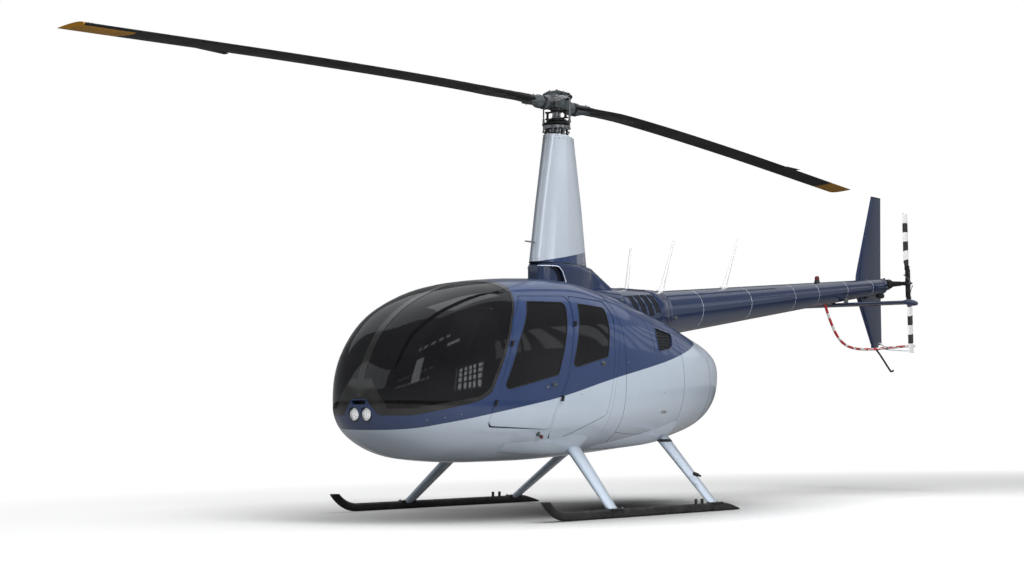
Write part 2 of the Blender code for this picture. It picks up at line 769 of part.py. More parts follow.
def boom_centre_z(y):
    return BOOM_AFT_Z - BOOM_SLOPE * (BOOM_AFT_Y - y)


def boom_radius(y):
    return BOOM_AFT_RADIUS + BOOM_TAPER * (BOOM_AFT_Y - y)


def cone(name, y_start, y_end, radius_start, radius_end, sides, grow=0.0):
    """A cone about the boom's rising centre line, with rings square to Y."""
    rings = []
    for y, radius in ((y_start, radius_start), (y_end, radius_end)):
        ring = []
        for i in range(sides):
            angle = math.tau * i / sides
            size = radius + grow
            ring.append((size * math.cos(angle), y, boom_centre_z(y) + size * math.sin(angle)))
        rings.append(ring)
    return loft(name, rings)


def boom_body(name, grow=0.0):
    return cone(
        name,
        BOOM_FRONT_Y - grow,
        BOOM_AFT_Y + grow,
        boom_radius(BOOM_FRONT_Y),
        BOOM_AFT_RADIUS,
        BOOM_SIDES,
        grow,
    )


def build_upper_cowls(datum):
    cowl = loft("mast_base_cowl", [cowl_ring(*row, 0.0) for row in COWL_SECTIONS])
    join(cowl, loft("skirt", [cowl_ring(*row, 0.0) for row in COWL_SKIRT]))
    for rows in (COWL_SECTIONS, COWL_SKIRT):
        carve(cowl, loft("hollow", [cowl_ring(*row, COWL_WALL) for row in hollow_rows(rows)]))
    carve(cowl, hull("skin", -SKIN_GAP))
    carve(cowl, cylinder("mast_hole", (0.0, 0.0, 1.9), (0.0, 0.0, 2.2), MAST_HOLE_RADIUS, 20))
    for _, side in SIDES:
        carve(cowl, prism_x("intake", INTAKE, *side_range(side, INTAKE_INNER_X, 0.5)))
    finish(cowl, "navy_paint", datum)

    spine = cone("boom_root_cone", CONE_FRONT_Y, CONE_AFT_Y, CONE_FRONT_RADIUS, CONE_AFT_RADIUS, CONE_SIDES)
    carve(spine, hull("skin", -SKIN_GAP))
    finish(spine, "navy_paint", datum)

    fairing = loft("mast_fairing", [fairing_ring(*row, 0.0) for row in FAIRING_SECTIONS])
    inner_rows = list(FAIRING_SECTIONS)
    inner_rows[0] = (FAIRING_SECTIONS[0][0] - 0.01, *FAIRING_SECTIONS[0][1:])
    inner_rows[-1] = (FAIRING_TOP_Z - 0.02, *FAIRING_SECTIONS[-1][1:])
    carve(fairing, loft("hollow", [fairing_ring(*row, FAIRING_WALL) for row in inner_rows]))
    top_hole = cylinder("top_hole", (0.0, 0.0, 3.0), (0.0, 0.0, 3.2), MAST_HOLE_RADIUS, 20)
    carve(fairing, top_hole)
    finish(fairing, "silver_paint", datum)


def hollow_rows(rows):
    """A cowl's rows for the room inside it, clear of the intakes in its front half."""
    front_y, aft_y = rows[0][0] + COWL_WALL, rows[-1][0] - COWL_WALL
    inner = []
    for y, top_z, half_width, shoulder in rows:
        widest = min(half_width, INTAKE_INNER_X) if y < 0.0 else half_width
        inner.append((min(max(y, front_y), aft_y), top_z, widest, shoulder))
    return inner


def cowl_ring(y, top_z, half_width, shoulder, inset):
    """An arch with round shoulders on straight flanks that run down into the hull."""
    wide, high = half_width - inset, top_z - inset
    radius = min(max(shoulder - inset, 0.004), wide)
    foot = COWL_FOOT_Z - (0.05 if inset else 0.0)
    ring = [(-wide, y, foot), (wide, y, foot)]
    for side, start in ((1.0, 0.0), (-1.0, math.pi / 2.0)):
        for i in range(6):
            angle = start + math.pi / 2.0 * i / 5
            x = side * (wide - radius) + radius * math.cos(angle)
            ring.append((x, y, high - radius + radius * math.sin(angle)))
    return ring


def fairing_ring(z, front, rear, half_thickness, inset):
    """A teardrop outline, round in front and drawn out behind."""
    ring = []
    for i in range(24):
        angle = math.tau * i / 24
        across, along = math.cos(angle), math.sin(angle)
        reach = (rear if along > 0.0 else front) - inset
        squash = 1.0 if along <= 0.0 else 1.0 - 0.35 * along
        ring.append(((half_thickness - inset) * across * squash, reach * along, z))
    return ring


# Tail


def build_tail(datum):
    boom = boom_body("tail_boom")
    carve(boom, hull("skin", -SKIN_GAP))
    finish(boom, "navy_paint", datum)

    fin = loft("tail_fin", [fin_ring(*row) for row in FIN_SECTIONS])
    carve(fin, boom_body("boom_room", PIECE_GAP))
    finish(fin, "navy_paint", datum)

    stabiliser = build_stabiliser()
    carve(stabiliser, boom_body("boom_room", PIECE_GAP))
    finish(stabiliser, "navy_paint", datum)

    front = (0.0, BOOM_AFT_Y + PIECE_GAP, TAIL_GEARBOX_Z)
    gearbox = cylinder("tail_gearbox", front, (0.0, TAIL_GEARBOX_AFT_Y, TAIL_GEARBOX_Z), TAIL_GEARBOX_RADIUS)
    casing = tail_shaft_cylinder("casing", TAIL_CASING_X, TAIL_CASING_RADIUS)
    output = tail_shaft_cylinder("output", TAIL_OUTPUT_X, TAIL_OUTPUT_RADIUS)
    join(gearbox, casing, output)
    finish(gearbox, "bare_metal", datum)

    guard = sweep_side("tail_guard", GUARD_PATH, GUARD_X, GUARD_RADIUS)
    join(guard, cylinder("foot", *GUARD_FOOT, GUARD_FOOT_RADIUS, 10))
    carve(guard, boom_body("boom_room", PIECE_GAP))
    carve(guard, loft("fin_room", [fin_ring(*row, PIECE_GAP) for row in FIN_SECTIONS]))
    finish(guard, "red_paint", datum)

    stinger = sweep_side("tail_stinger", STINGER_PATH, FIN_X, STINGER_RADIUS)
    join(stinger, box("shoe", STINGER_SHOE))
    carve(stinger, sweep_side("guard_room", GUARD_PATH, GUARD_X, GUARD_RADIUS + PIECE_GAP))
    finish(stinger, "black_paint", datum)


def tail_shaft_cylinder(name, x_range, radius):
    """A cylinder about the tail rotor's shaft."""
    start, end = ((x, TAIL_HUB.y, TAIL_HUB.z) for x in x_range)
    return cylinder(name, start, end, radius)


def fin_ring(z, front_y, rear_y, thickness, grow=0.0):
    """A flat streamlined section: round nose, widest at a third, thin tail."""
    chord = rear_y - front_y + 2.0 * grow
    start = front_y - grow
    half = thickness / 2.0 + grow
    # fraction of the chord, fraction of the half thickness
    outline = ((0.0, 0.35), (0.08, 0.80), (0.33, 1.0), (0.70, 0.65), (1.0, 0.22))
    right = [(FIN_X + half * wide, start + chord * along, z) for along, wide in outline]
    left = [(FIN_X - half * wide, start + chord * along, z) for along, wide in reversed(outline)]
    return right + left


def build_stabiliser():
    """Flat wing under the boom, with bullet ends and two brackets up to the boom."""
    chord = STABILISER_AFT_Y - STABILISER_FRONT_Y
    outline = ((0.0, 0.3), (0.1, 0.8), (0.35, 1.0), (0.7, 0.7), (1.0, 0.2))
    half = STABILISER_HALF_THICKNESS
    rings = []
    for x in (-STABILISER_SPAN, STABILISER_SPAN):
        upper = [(x, STABILISER_FRONT_Y + chord * a, STABILISER_Z + half * t) for a, t in outline]
        lower = [(x, STABILISER_FRONT_Y + chord * a, STABILISER_Z - half * t) for a, t in reversed(outline)]
        rings.append(upper + lower)
    made = loft("horizontal_stabiliser", rings)
    for side in (PORT, STARBOARD):
        bullet_rings = []
        for along, tall, wide in BULLET:
            y = STABILISER_FRONT_Y - 0.015 + (chord + 0.03) * along
            ring = []
            for i in range(10):
                angle = math.tau * i / 10
                x = side * (STABILISER_SPAN + 0.004) + wide * math.cos(angle)
                ring.append((x, y, STABILISER_Z + tall * math.sin(angle)))
            bullet_rings.append(ring)
        join(made, loft("bullet", bullet_rings))
        middle = side * BRACKET_X
        across = (middle - BRACKET_HALF_WIDTH, middle + BRACKET_HALF_WIDTH)
        join(made, box("bracket", (across, BRACKET_Y, BRACKET_Z)))
    return made


# Landing gear


def skid_path():
    path = [(SKID_AFT_Y, SKID_RADIUS), (SKID_AFT_Y - 0.08, SKID_RADIUS), (SKID_BEND_Y, SKID_RADIUS)]
    for i in range(1, 6):
        angle = SKID_BEND_ANGLE * i / 5
        y = SKID_BEND_Y - SKID_BEND_RADIUS * math.sin(angle)
        z = SKID_RADIUS + SKID_BEND_RADIUS * (1.0 - math.cos(angle))
        path.append((y, z))
    return path


def build_gear(datum):
    for side_name, side in SIDES:
        middle = side * SKID_X
        skid = sweep_side(f"skid_{side_name}", skid_path(), middle, SKID_RADIUS, 12)
        for y in SKID_PEGS_Y:
            foot, tip = ((middle, y, z) for z in SKID_PEG_Z)
            join(skid, cylinder("peg", foot, tip, SKID_PEG_RADIUS, 10))
        finish(skid, "black_paint", datum)
        for name, foot_y, top_x, top_y, top_z, root_front, root_x, root_aft in STRUTS:
            foot = strut_ring(Vector((middle, foot_y, STRUT_FOOT_Z)), STRUT_FOOT_CHORD, STRUT_FOOT_THICKNESS)
            top = strut_ring(Vector((side * top_x, top_y, top_z)), STRUT_TOP_CHORD, STRUT_TOP_THICKNESS)
            strut = loft(f"strut_{name}_{side_name}", [foot, top])
            join(strut, root_fairing(side * root_x, root_front, root_aft))
            carve(strut, hull("skin", -SKIN_GAP))
            tube = sweep_side("skid_room", skid_path(), middle, SKID_RADIUS + PIECE_GAP, 12)
            carve(strut, tube)
            below = ((middle - 0.5, middle + 0.5), (foot_y - 0.5, foot_y + 0.5), (-0.1, STRUT_CUT_Z))
            carve(strut, box("below", below))
            finish(strut, "silver_paint", datum)


def root_fairing(x, front_y, aft_y):
    """A long low swelling of the belly that ends behind the strut's root."""
    rings = []
    for along, swell in FAIRING_SWELL:
        y = front_y + (aft_y - front_y) * along
        ring = []
        for i in range(12):
            angle = math.tau * i / 12
            across = ROOT_HALF_WIDTH * swell * math.cos(angle)
            ring.append((x + across, y, belly_z(x, y) + ROOT_DEPTH * swell * math.sin(angle)))
        rings.append(ring)
    return loft("root_fairing", rings)


def strut_ring(centre, chord, thickness):
    ring = []
    for i in range(12):
        angle = math.tau * i / 12
        x = centre.x + 0.5 * thickness * math.cos(angle) / 0.75
        ring.append((x, centre.y + 0.5 * chord * math.sin(angle), centre.z))
    return ring


# Fittings and cabin contents


def build_fittings(datum):
    for name, base_y, base_z, tip_y, tip_z in ANTENNAS:
        antenna = loft(
            name,
            [
                antenna_ring(base_y, base_z, 0.060, 0.022),
                antenna_ring(base_y, base_z + 0.030, 0.040, 0.014),
                antenna_ring(0.85 * base_y + 0.15 * tip_y, 0.85 * base_z + 0.15 * tip_z, 0.018, 0.009),
                antenna_ring(tip_y, tip_z, 0.007, 0.005),
            ],
        )
        if base_y < CONE_AFT_Y:
            sizes = (CONE_FRONT_Y, CONE_AFT_Y, CONE_FRONT_RADIUS, CONE_AFT_RADIUS)
            seat = cone("seat", *sizes, CONE_SIDES, PIECE_GAP)
        else:
            seat = boom_body("seat", PIECE_GAP)
        carve(antenna, seat)
        finish(antenna, "white_paint", datum)

    base_z = boom_centre_z(BEACON_Y)
    beacon_top = base_z + boom_radius(BEACON_Y) + BEACON_HEIGHT
    beacon = cylinder("beacon", (0.0, BEACON_Y, base_z), (0.0, BEACON_Y, beacon_top), BEACON_RADIUS, 16)
    carve(beacon, boom_body("boom_room", PIECE_GAP))
    finish(beacon, "red_lens", datum)

    lamps = box("landing_lights", LAMP_BLOCK)
    carve(lamps, hull("skin", 0.004), "INTERSECT")
    for x in (-LAMP_X, LAMP_X):
        back, front = ((x, y, LAMP_Z) for y in LENS_Y)
        join(lamps, cylinder("lens", back, front, LAMP_RADIUS, 16))
    finish(lamps, "clear_lens", datum)

    y, z, standoff = NAVIGATION_PLACE
    for side_name, side in SIDES:
        root_x = side_x(y, z)
        sunk, tip = (side * (root_x + reach) for reach in (-0.020, standoff))
        name = f"navigation_light_{side_name}"
        light = cylinder(name, (sunk, y, z), (tip, y, z), NAVIGATION_STALK_RADIUS, 10)
        bulb_x = side * (root_x + standoff - 0.010)
        front, back = ((bulb_x, y + shift, z) for shift in (-0.015, 0.025))
        join(light, cylinder("bulb", front, back, NAVIGATION_BULB_RADIUS, 12))
        carve(light, hull("skin", -SKIN_GAP))
        finish(light, "red_lens" if side > 0.0 else "green_lens", datum)

    pitot = cylinder("pitot_tube", *PITOT, PITOT_RADIUS, 10)
    carve(pitot, loft("fairing_room", [fairing_ring(*row, -PIECE_GAP) for row in FAIRING_SECTIONS]))
    finish(pitot, "bare_metal", datum)

    engine = box("engine_block", ENGINE_BOX)
    join(engine, box("gearbox", GEARBOX_BOX))
    finish(engine, "dark_metal", datum)

    start, end = (Vector((0.0, *place)) for place in EXHAUST_AXIS)
    along = (end - start).normalized()
    pipe = cylinder("exhaust_pipe", start, end, EXHAUST_RADIUS, 20)
    bore_end = end + along * EXHAUST_BACK
    carve(pipe, cylinder("bore", start + along * EXHAUST_BACK, bore_end, EXHAUST_RADIUS - EXHAUST_WALL, 20))
    finish(pipe, "bare_metal", datum)


def antenna_ring(y, z, half_chord, half_thick):
    ring = []
    for i in range(8):
        angle = math.tau * i / 8
        ring.append((half_thick * math.cos(angle), y + half_chord * math.sin(angle), z))
    return ring


def build_cabin(datum):
    low_z = FLOOR_Z + PIECE_GAP
    for name, x_range, y_range, depth, lean in SEATS:
        seat = box(name, (x_range, y_range, (low_z, CUSHION_TOP_Z)))
        foot_y = y_range[1] - SEAT_BACK_LAP
        outline = (
            (foot_y, low_z),
            (foot_y + depth, low_z),
            (foot_y + depth + lean, SEAT_BACK_TOP_Z),
            (foot_y + lean, SEAT_BACK_TOP_Z),
        )
        join(seat, prism_x("back", outline, x_range[0] + 0.01, x_range[1] - 0.01))
        finish(seat, "seat_leather", datum)
    console = box("instrument_console", CONSOLE_BOX)
    join(console, prism_x("panel", PANEL, -PANEL_HALF_WIDTH, PANEL_HALF_WIDTH))
    finish(console, "dark_plastic", datum)


# Rotors


def blade_rings(chord_at, thickness_at, droop_at, radii):
    """Rings of one blade that points along +Y from its axis, leading edge towards -X."""
    # fraction of the chord behind the leading edge, share of thickness above and below
    outline = ((0.0, 0.0), (0.03, 0.55), (0.15, 0.95), (0.30, 1.0), (0.65, 0.62), (1.0, 0.08))
    rings = []
    for r in radii:
        chord, thick, drop = chord_at(r), thickness_at(r), droop_at(r)
        start = -0.25 * chord
        upper = [(start + chord * a, r, drop + 0.5 * thick * t) for a, t in outline]
        lower = [(start + chord * a, r, drop - 0.5 * thick * t) for a, t in reversed(outline[1:])]
        rings.append(upper + lower)
    return rings


def between(value, table):
    """Straight interpolation in a short table of (place, size) rows."""
    for (a, low), (b, high) in zip(table, table[1:]):
        if value <= b:
            return low + (high - low) * max(0.0, (value - a) / (b - a))
    return table[-1][1]


BLADE_CHORDS = ((0.15, 0.085), (0.22, 0.085), (0.42, 0.200), (0.70, BLADE_CHORD))
BLADE_THICKNESSES = ((0.15, 0.070), (0.30, 0.060), (0.60, 0.040), (0.85, BLADE_THICKNESS))
BLADE_RADII = (BLADE_ROOT + PIECE_GAP, 0.22, 0.30, 0.42, 0.52, 0.70, 0.85, 1.39, 1.9, 2.5, 3.8, ROTOR_RADIUS)
BLADE_DROPS = ((0.15, -0.055), (0.52, -0.056), (0.85, -0.060), (1.39, -0.075), (2.50, -0.122), (ROTOR_RADIUS, -0.265))
TAIL_RADII = (0.050 + PIECE_GAP, 0.100, 0.160, 0.230, TAIL_RADIUS)
TAIL_CHORDS = ((0.05, 0.036), (0.10, 0.036), (0.16, 0.070), (0.23, TAIL_CHORD))
TAIL_THICKNESSES = ((0.05, 0.030), (0.16, 0.022), (0.23, TAIL_THICKNESS))


def blade_drop(r):
    """Height of a resting blade's middle line, slung under the hub's axis and bent by its weight."""
    return between(r, BLADE_DROPS)


def build_main_rotor(datum):
    hub_place = Vector((0.0, 0.0, ROTOR_HUB_Z))
    axis = axis_empty("main_rotor_axis", hub_place, datum)
    shaft_top = (0.0, 0.0, HUB_BLOCK[2][0] - PIECE_GAP)
    shaft = cylinder("rotor_mast", (0.0, 0.0, MAST_FOOT_Z), shaft_top, MAST_RADIUS, 20)
    finish(shaft, "bare_metal", axis)

    hub = box("rotor_hub", HUB_BLOCK)
    join(hub, box("teeter_block", TEETER_BLOCK))
    cap = cylinder("cap", (0.0, 0.0, HUB_CAP_FOOT_Z), (0.0, 0.0, ROTOR_TOP_Z), HUB_CAP_RADIUS)
    join(hub, cap)
    finish(hub, "bare_metal", axis)

    for index, turn in ((1, math.pi), (2, 0.0)):
        rings = blade_rings(
            lambda r: between(r, BLADE_CHORDS),
            lambda r: between(r, BLADE_THICKNESSES),
            blade_drop,
            BLADE_RADII,
        )
        blade = loft(f"rotor_blade_{index}", rings)
        join(blade, box("horn", PITCH_HORN), box("horn_arm", PITCH_HORN_ARM))
        blade.data.transform(Matrix.Translation(hub_place) @ Matrix.Rotation(turn, 4, "Z"))
        finish(blade, "black_paint", axis)

    low, high = ((0.0, 0.0, z) for z in SWASH_TURNING)
    plate = cylinder("swashplate_rotating", low, high, SWASH_RADIUS, 24)
    link_top = ROTOR_HUB_Z + PITCH_HORN_ARM[2][0] - PIECE_GAP
    for turn in (0.0, math.pi):
        tip = Matrix.Rotation(turn, 3, "Z") @ Vector(SWASH_ARM_TIP)
        join(plate, cylinder("arm", (0.0, 0.0, tip.z), tip, SWASH_ARM_RADIUS, 10))
        foot, top = ((tip.x, tip.y, z) for z in (PITCH_LINK_FOOT_Z, link_top))
        join(plate, cylinder("link", foot, top, PITCH_LINK_RADIUS, 10))
    carve(plate, mast_bore(MAST_RADIUS + PIECE_GAP))
    finish(plate, "dark_metal", axis)
    axis.rotation_euler = (0.0, 0.0, ROTOR_PARK_ANGLE)

    foot, top = ((0.0, 0.0, z) for z in (FAIRING_TOP_Z + PIECE_GAP, SWASH_FIXED_TOP_Z))
    fixed = cylinder("swashplate_fixed", foot, top, SWASH_RADIUS, 24)
    carve(fixed, mast_bore(MAST_RADIUS + RUNNING_GAP))
    finish(fixed, "bare_metal", datum)


def mast_bore(radius):
    return cylinder("bore", (0.0, 0.0, FAIRING_TOP_Z - 0.1), (0.0, 0.0, ROTOR_TOP_Z), radius, 20)


def build_tail_rotor(datum):
    axis = axis_empty("tail_rotor_axis", TAIL_HUB, datum)
    low_x, high_x = TAIL_HUB_X
    hub = tail_shaft_cylinder("tail_rotor_hub", (low_x + PIECE_GAP, high_x), TAIL_HUB_RADIUS)
    yoke = box("yoke", tuple((at - half, at + half) for at, half in zip(TAIL_HUB, TAIL_YOKE_HALF)))
    join(hub, yoke)
    finish(hub, "dark_metal", axis)
    for index, turn in ((1, 0.0), (2, math.pi)):
        rings = blade_rings(
            lambda r: between(r, TAIL_CHORDS),
            lambda r: between(r, TAIL_THICKNESSES),
            lambda r: 0.0,
            TAIL_RADII,
        )
        blade = loft(f"tail_rotor_blade_{index}", rings)
        stand = Matrix(((0, 0, -1, 0), (-1, 0, 0, 0), (0, 1, 0, 0), (0, 0, 0, 1)))
        blade.data.transform(Matrix.Translation(TAIL_HUB) @ Matrix.Rotation(turn, 4, "X") @ stand)
        finish(blade, "white_paint", axis)
    axis.rotation_euler = (TAIL_PARK_ANGLE, 0.0, 0.0)


def main():
    clear_scene()
    datum = bpy.data.objects.new("airframe_datum", None)
    bpy.context.collection.objects.link(datum)
    datum.location = (0.0, DATUM_Y, 0.0)
    finish(build_cabin_shell(), "silver_paint", datum)
    finish(build_aft_cowling(), "silver_paint", datum)
    build_doors(datum)
    build_windshields(datum)
    build_upper_cowls(datum)
    build_tail(datum)
    build_gear(datum)
    build_fittings(datum)
    build_cabin(datum)
    build_main_rotor(datum)
    build_tail_rotor(datum)


main()
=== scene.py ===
"""Finished look of a light turbine helicopter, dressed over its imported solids.

Metres, nose towards -Y, port side towards +X. Every place is written from the foot of the
rotor mast's axis on the ground, and make() moves it along Y into the solids' frame.
"""
import math

import bmesh
import bpy
from mathutils import Matrix, Vector


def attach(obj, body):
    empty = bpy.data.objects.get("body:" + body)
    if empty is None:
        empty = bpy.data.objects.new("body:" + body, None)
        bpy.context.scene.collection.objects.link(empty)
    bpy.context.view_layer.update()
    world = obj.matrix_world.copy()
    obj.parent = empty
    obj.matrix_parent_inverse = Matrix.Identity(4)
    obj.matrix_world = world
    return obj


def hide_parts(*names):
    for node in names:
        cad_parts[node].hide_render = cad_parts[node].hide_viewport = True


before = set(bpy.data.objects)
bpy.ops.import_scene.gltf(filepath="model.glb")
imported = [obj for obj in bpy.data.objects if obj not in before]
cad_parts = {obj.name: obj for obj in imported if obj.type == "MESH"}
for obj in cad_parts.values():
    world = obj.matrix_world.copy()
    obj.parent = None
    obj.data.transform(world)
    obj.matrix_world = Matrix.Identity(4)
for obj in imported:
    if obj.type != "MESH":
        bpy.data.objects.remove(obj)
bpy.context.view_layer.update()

DATUM_Y = -0.7886
PORT, STARBOARD = 1.0, -1.0
SIDES = (("port", PORT), ("starboard", STARBOARD))
UP, AFT, TO_PORT = (Vector(axis) for axis in ((0.0, 0.0, 1.0), (0.0, 1.0, 0.0), (1.0, 0.0, 0.0)))
# Wider, longer and higher than the object, for tools that cut right across it
ALL_ACROSS = (-1.0, 1.0)
NOSEWARDS_Y, TAILWARDS_Y = -3.0, 3.0

# Small tools for meshes


def axes(x, y, z):
    """A turn that takes the world's axes to three directions."""
    return Matrix((x, y, z)).transposed().to_4x4()


def pointing(along, track="Z"):
    """A turn that takes one axis to the direction along."""
    return Vector(along).to_track_quat(track, "Y").to_matrix().to_4x4()


def sheet_of(across, along, place, closed=False, caps=False):
    """A grid whose points go where place(u, v) says, both running from 0 to 1."""
    bm = bmesh.new()
    bmesh.ops.create_grid(bm, x_segments=across, y_segments=along, size=1.0)
    for vert in bm.verts:
        vert.co = place(0.5 + 0.5 * vert.co.x, 0.5 + 0.5 * vert.co.y)
    if closed:
        bmesh.ops.remove_doubles(bm, verts=bm.verts, dist=1e-5)
    if caps:
        rims = [edge for edge in bm.edges if edge.is_boundary]
        bmesh.ops.holes_fill(bm, edges=rims, sides=0)
    bmesh.ops.recalc_face_normals(bm, faces=bm.faces)
    return bm


def grow_from(bm, centre, scale):
    """Scales a mesh about a centre."""
    bmesh.ops.translate(bm, vec=-centre, verts=bm.verts)
    bmesh.ops.scale(bm, vec=scale, verts=bm.verts)
    bmesh.ops.translate(bm, vec=centre, verts=bm.verts)
    return bm


def gather(*meshes):
    """Several meshes as one, each still a body of its own."""
    whole = bmesh.new()
    for bm in meshes:
        held = bpy.data.meshes.new("held")
        bm.to_mesh(held)
        bm.free()
        whole.from_mesh(held)
        bpy.data.meshes.remove(held)
    return whole


def moved(bm, matrix):
    """A mesh, or a list of them made one, taken through matrix."""
    if isinstance(bm, list):
        bm = gather(*bm)
    bmesh.ops.transform(bm, matrix=matrix, verts=bm.verts)
    return bm


def soften(bm, edges, rounding, segments=2):
    """Rounds some edges of a mesh."""
    bmesh.ops.bevel(
        bm, geom=edges, offset=rounding, affect="EDGES", segments=segments, profile=0.5, material=-1
    )


def block(ranges, rounding, segments=2):
    """A box with softened edges."""
    low, high = (Vector(pair) for pair in zip(*ranges))
    bm = bmesh.new()
    bmesh.ops.create_cube(bm, size=1.0)
    bmesh.ops.scale(bm, vec=high - low, verts=bm.verts)
    bmesh.ops.translate(bm, vec=(low + high) / 2.0, verts=bm.verts)
    if rounding:
        soften(bm, bm.edges[:], rounding, segments)
    return bm


def rod(start, end, radius, sides, rounding=0.0):
    """A round bar between two points."""
    start, end = Vector(start), Vector(end)
    bm = bmesh.new()
    length = (end - start).length
    bmesh.ops.create_cone(bm, cap_ends=True, segments=sides, radius1=radius, radius2=radius, depth=length)
    if rounding:
        rims = [edge for edge in bm.edges if abs(edge.verts[0].co.z - edge.verts[1].co.z) < 1e-6]
        soften(bm, rims, rounding)
    return moved(bm, Matrix.Translation((start + end) / 2.0) @ pointing(end - start))


def turned(profile, foot=(0.0, 0.0, 0.0), along=UP, steps=40):
    """A profile of (radius, height) spun about the axis along from foot."""
    bm = bmesh.new()
    verts = [bm.verts.new((radius, 0.0, height)) for radius, height in profile]
    edges = [bm.edges.new(pair) for pair in zip(verts, verts[1:])]
    bmesh.ops.spin(
        bm, geom=verts + edges, axis=UP, cent=(0.0, 0.0, 0.0), angle=math.tau, steps=steps, use_merge=True
    )
    bmesh.ops.remove_doubles(bm, verts=bm.verts, dist=1e-6)
    bmesh.ops.recalc_face_normals(bm, faces=bm.faces)
    return moved(bm, Matrix.Translation(Vector(foot)) @ pointing(along))


def hoop(inner, outer, low, high, slope=0.002):
    """Profile of a ring whose outer edges are sloped."""
    return ((inner, low), (outer, low + slope), (outer, high - slope), (inner, high), (inner, low))


def ball(centre, radius, stretch=(1.0, 1.0, 1.0), detail=2):
    """A sphere, or an egg where stretch says so."""
    bm = bmesh.new()
    bmesh.ops.create_icosphere(bm, subdivisions=detail, radius=radius)
    bmesh.ops.scale(bm, vec=stretch, verts=bm.verts)
    bmesh.ops.translate(bm, vec=Vector(centre), verts=bm.verts)
    return bm


def plate(outline, thickness, matrix, rounding=0.0):
    """A flat outline of (x, y) raised along Z, then placed by matrix."""
    bm = bmesh.new()
    face = bm.faces.new([bm.verts.new((x, y, 0.0)) for x, y in outline])
    grown_up = bmesh.ops.extrude_face_region(bm, geom=[face])["geom"]
    lifted = [item for item in grown_up if isinstance(item, bmesh.types.BMVert)]
    bmesh.ops.translate(bm, vec=(0.0, 0.0, thickness), verts=lifted)
    bmesh.ops.recalc_face_normals(bm, faces=bm.faces)
    if rounding:
        soften(bm, bm.edges[:], rounding)
    return moved(bm, matrix)


def smooth_path(points, steps):
    """Points on a smooth curve through the given ones."""
    points = [Vector(point) for point in points]
    last = len(points) - 1
    found = []
    for i in range(last):
        before, here, after, beyond = (points[min(max(i + k, 0), last)] for k in (-1, 0, 1, 2))
        for k in range(steps):
            t = k / steps
            found.append(
                0.5
                * (
                    2.0 * here
                    + (after - before) * t
                    + (2.0 * before - 5.0 * here + 4.0 * after - beyond) * t * t
                    + (3.0 * here - before - 3.0 * after + beyond) * t**3
                )
            )
    return found + [points[-1]]


def tube(path, radius, sides, ring=False, tip=1.0):
    """A round tube along points. tip scales the far end."""
    path = [Vector(point) for point in path]
    count = len(path)
    frames = []
    guide = None
    for i, here in enumerate(path):
        before = path[i - 1] if (ring or i) else here
        after = path[(i + 1) % count] if (ring or i < count - 1) else here
        along = (after - before).normalized()
        if guide is None:
            guide = UP if abs(along.z) < 0.9 else AFT
        side = along.cross(guide).normalized()
        guide = side.cross(along)
        frames.append((here, side, guide))

    def place(u, v):
        slot_here = v * (count if ring else count - 1)
        here, side, up = frames[round(slot_here) % count]
        angle = math.tau * u
        size = radius * (1.0 + (tip - 1.0) * v)
        return here + side * (size * math.cos(angle)) + up * (size * math.sin(angle))

    return sheet_of(sides, count if ring else count - 1, place, closed=True, caps=not ring)


def mirrored(bm):
    """The same shape on the other side."""
    bmesh.ops.scale(bm, vec=(-1.0, 1.0, 1.0), verts=bm.verts)
    bmesh.ops.reverse_faces(bm, faces=bm.faces)
    return bm


def to_side(bm, side):
    """A port shape, turned to starboard where side says so."""
    return bm if side > 0.0 else mirrored(bm)


def straight(rows, at, column=1):
    """One column between two rows of a table, on a straight line."""
    for low, high in zip(rows, rows[1:]):
        if at <= high[0]:
            share = max(0.0, (at - low[0]) / (high[0] - low[0]))
            return low[column] + (high[column] - low[column]) * share
    return rows[-1][column]


def plain_object(name, bm, slots=0):
    """An object at the origin, with empty material slots. bm is used up."""
    mesh = bpy.data.meshes.new(name)
    bm.to_mesh(mesh)
    bm.free()
    for _ in range(slots):
        mesh.materials.append(None)
    made = bpy.data.objects.new(name, mesh)
    bpy.context.scene.collection.objects.link(made)
    return made


def evaluated(made):
    """The object's mesh with its modifiers, as a bmesh. The object goes."""
    bpy.context.view_layer.update()
    graph = bpy.context.evaluated_depsgraph_get()
    mesh = bpy.data.meshes.new_from_object(made.evaluated_get(graph))
    bm = bmesh.new()
    bm.from_mesh(mesh)
    old = made.data
    bpy.data.objects.remove(made)
    bpy.data.meshes.remove(old)
    bpy.data.meshes.remove(mesh)
    return bm


def carved(bm, tool, operation="DIFFERENCE"):
    """bm cut by tool. Faces that come from tool get material index 1."""
    for face in tool.faces:
        face.material_index = 1
    body, cutter = plain_object("body", bm, 2), plain_object("cutter", tool, 2)
    modifier = body.modifiers.new("carve", "BOOLEAN")
    modifier.operation = operation
    modifier.object = cutter
    result = evaluated(body)
    bpy.data.objects.remove(cutter)
    return result


def skin_only(bm):
    """Drops the faces that came from a tool, so that an open skin is left."""
    cut_faces = [face for face in bm.faces if face.material_index]
    bmesh.ops.delete(bm, geom=cut_faces, context="FACES")
    return bm


def thick(bm, depth, lining=False):
    """An open skin given its wall, inwards. The inner face may take the next material."""
    made = plain_object("wall", bm, 2)
    modifier = made.modifiers.new("wall", "SOLIDIFY")
    modifier.thickness = depth
    modifier.offset = -1.0
    modifier.use_even_offset = True
    if lining:
        modifier.material_offset = 1
    return evaluated(made)


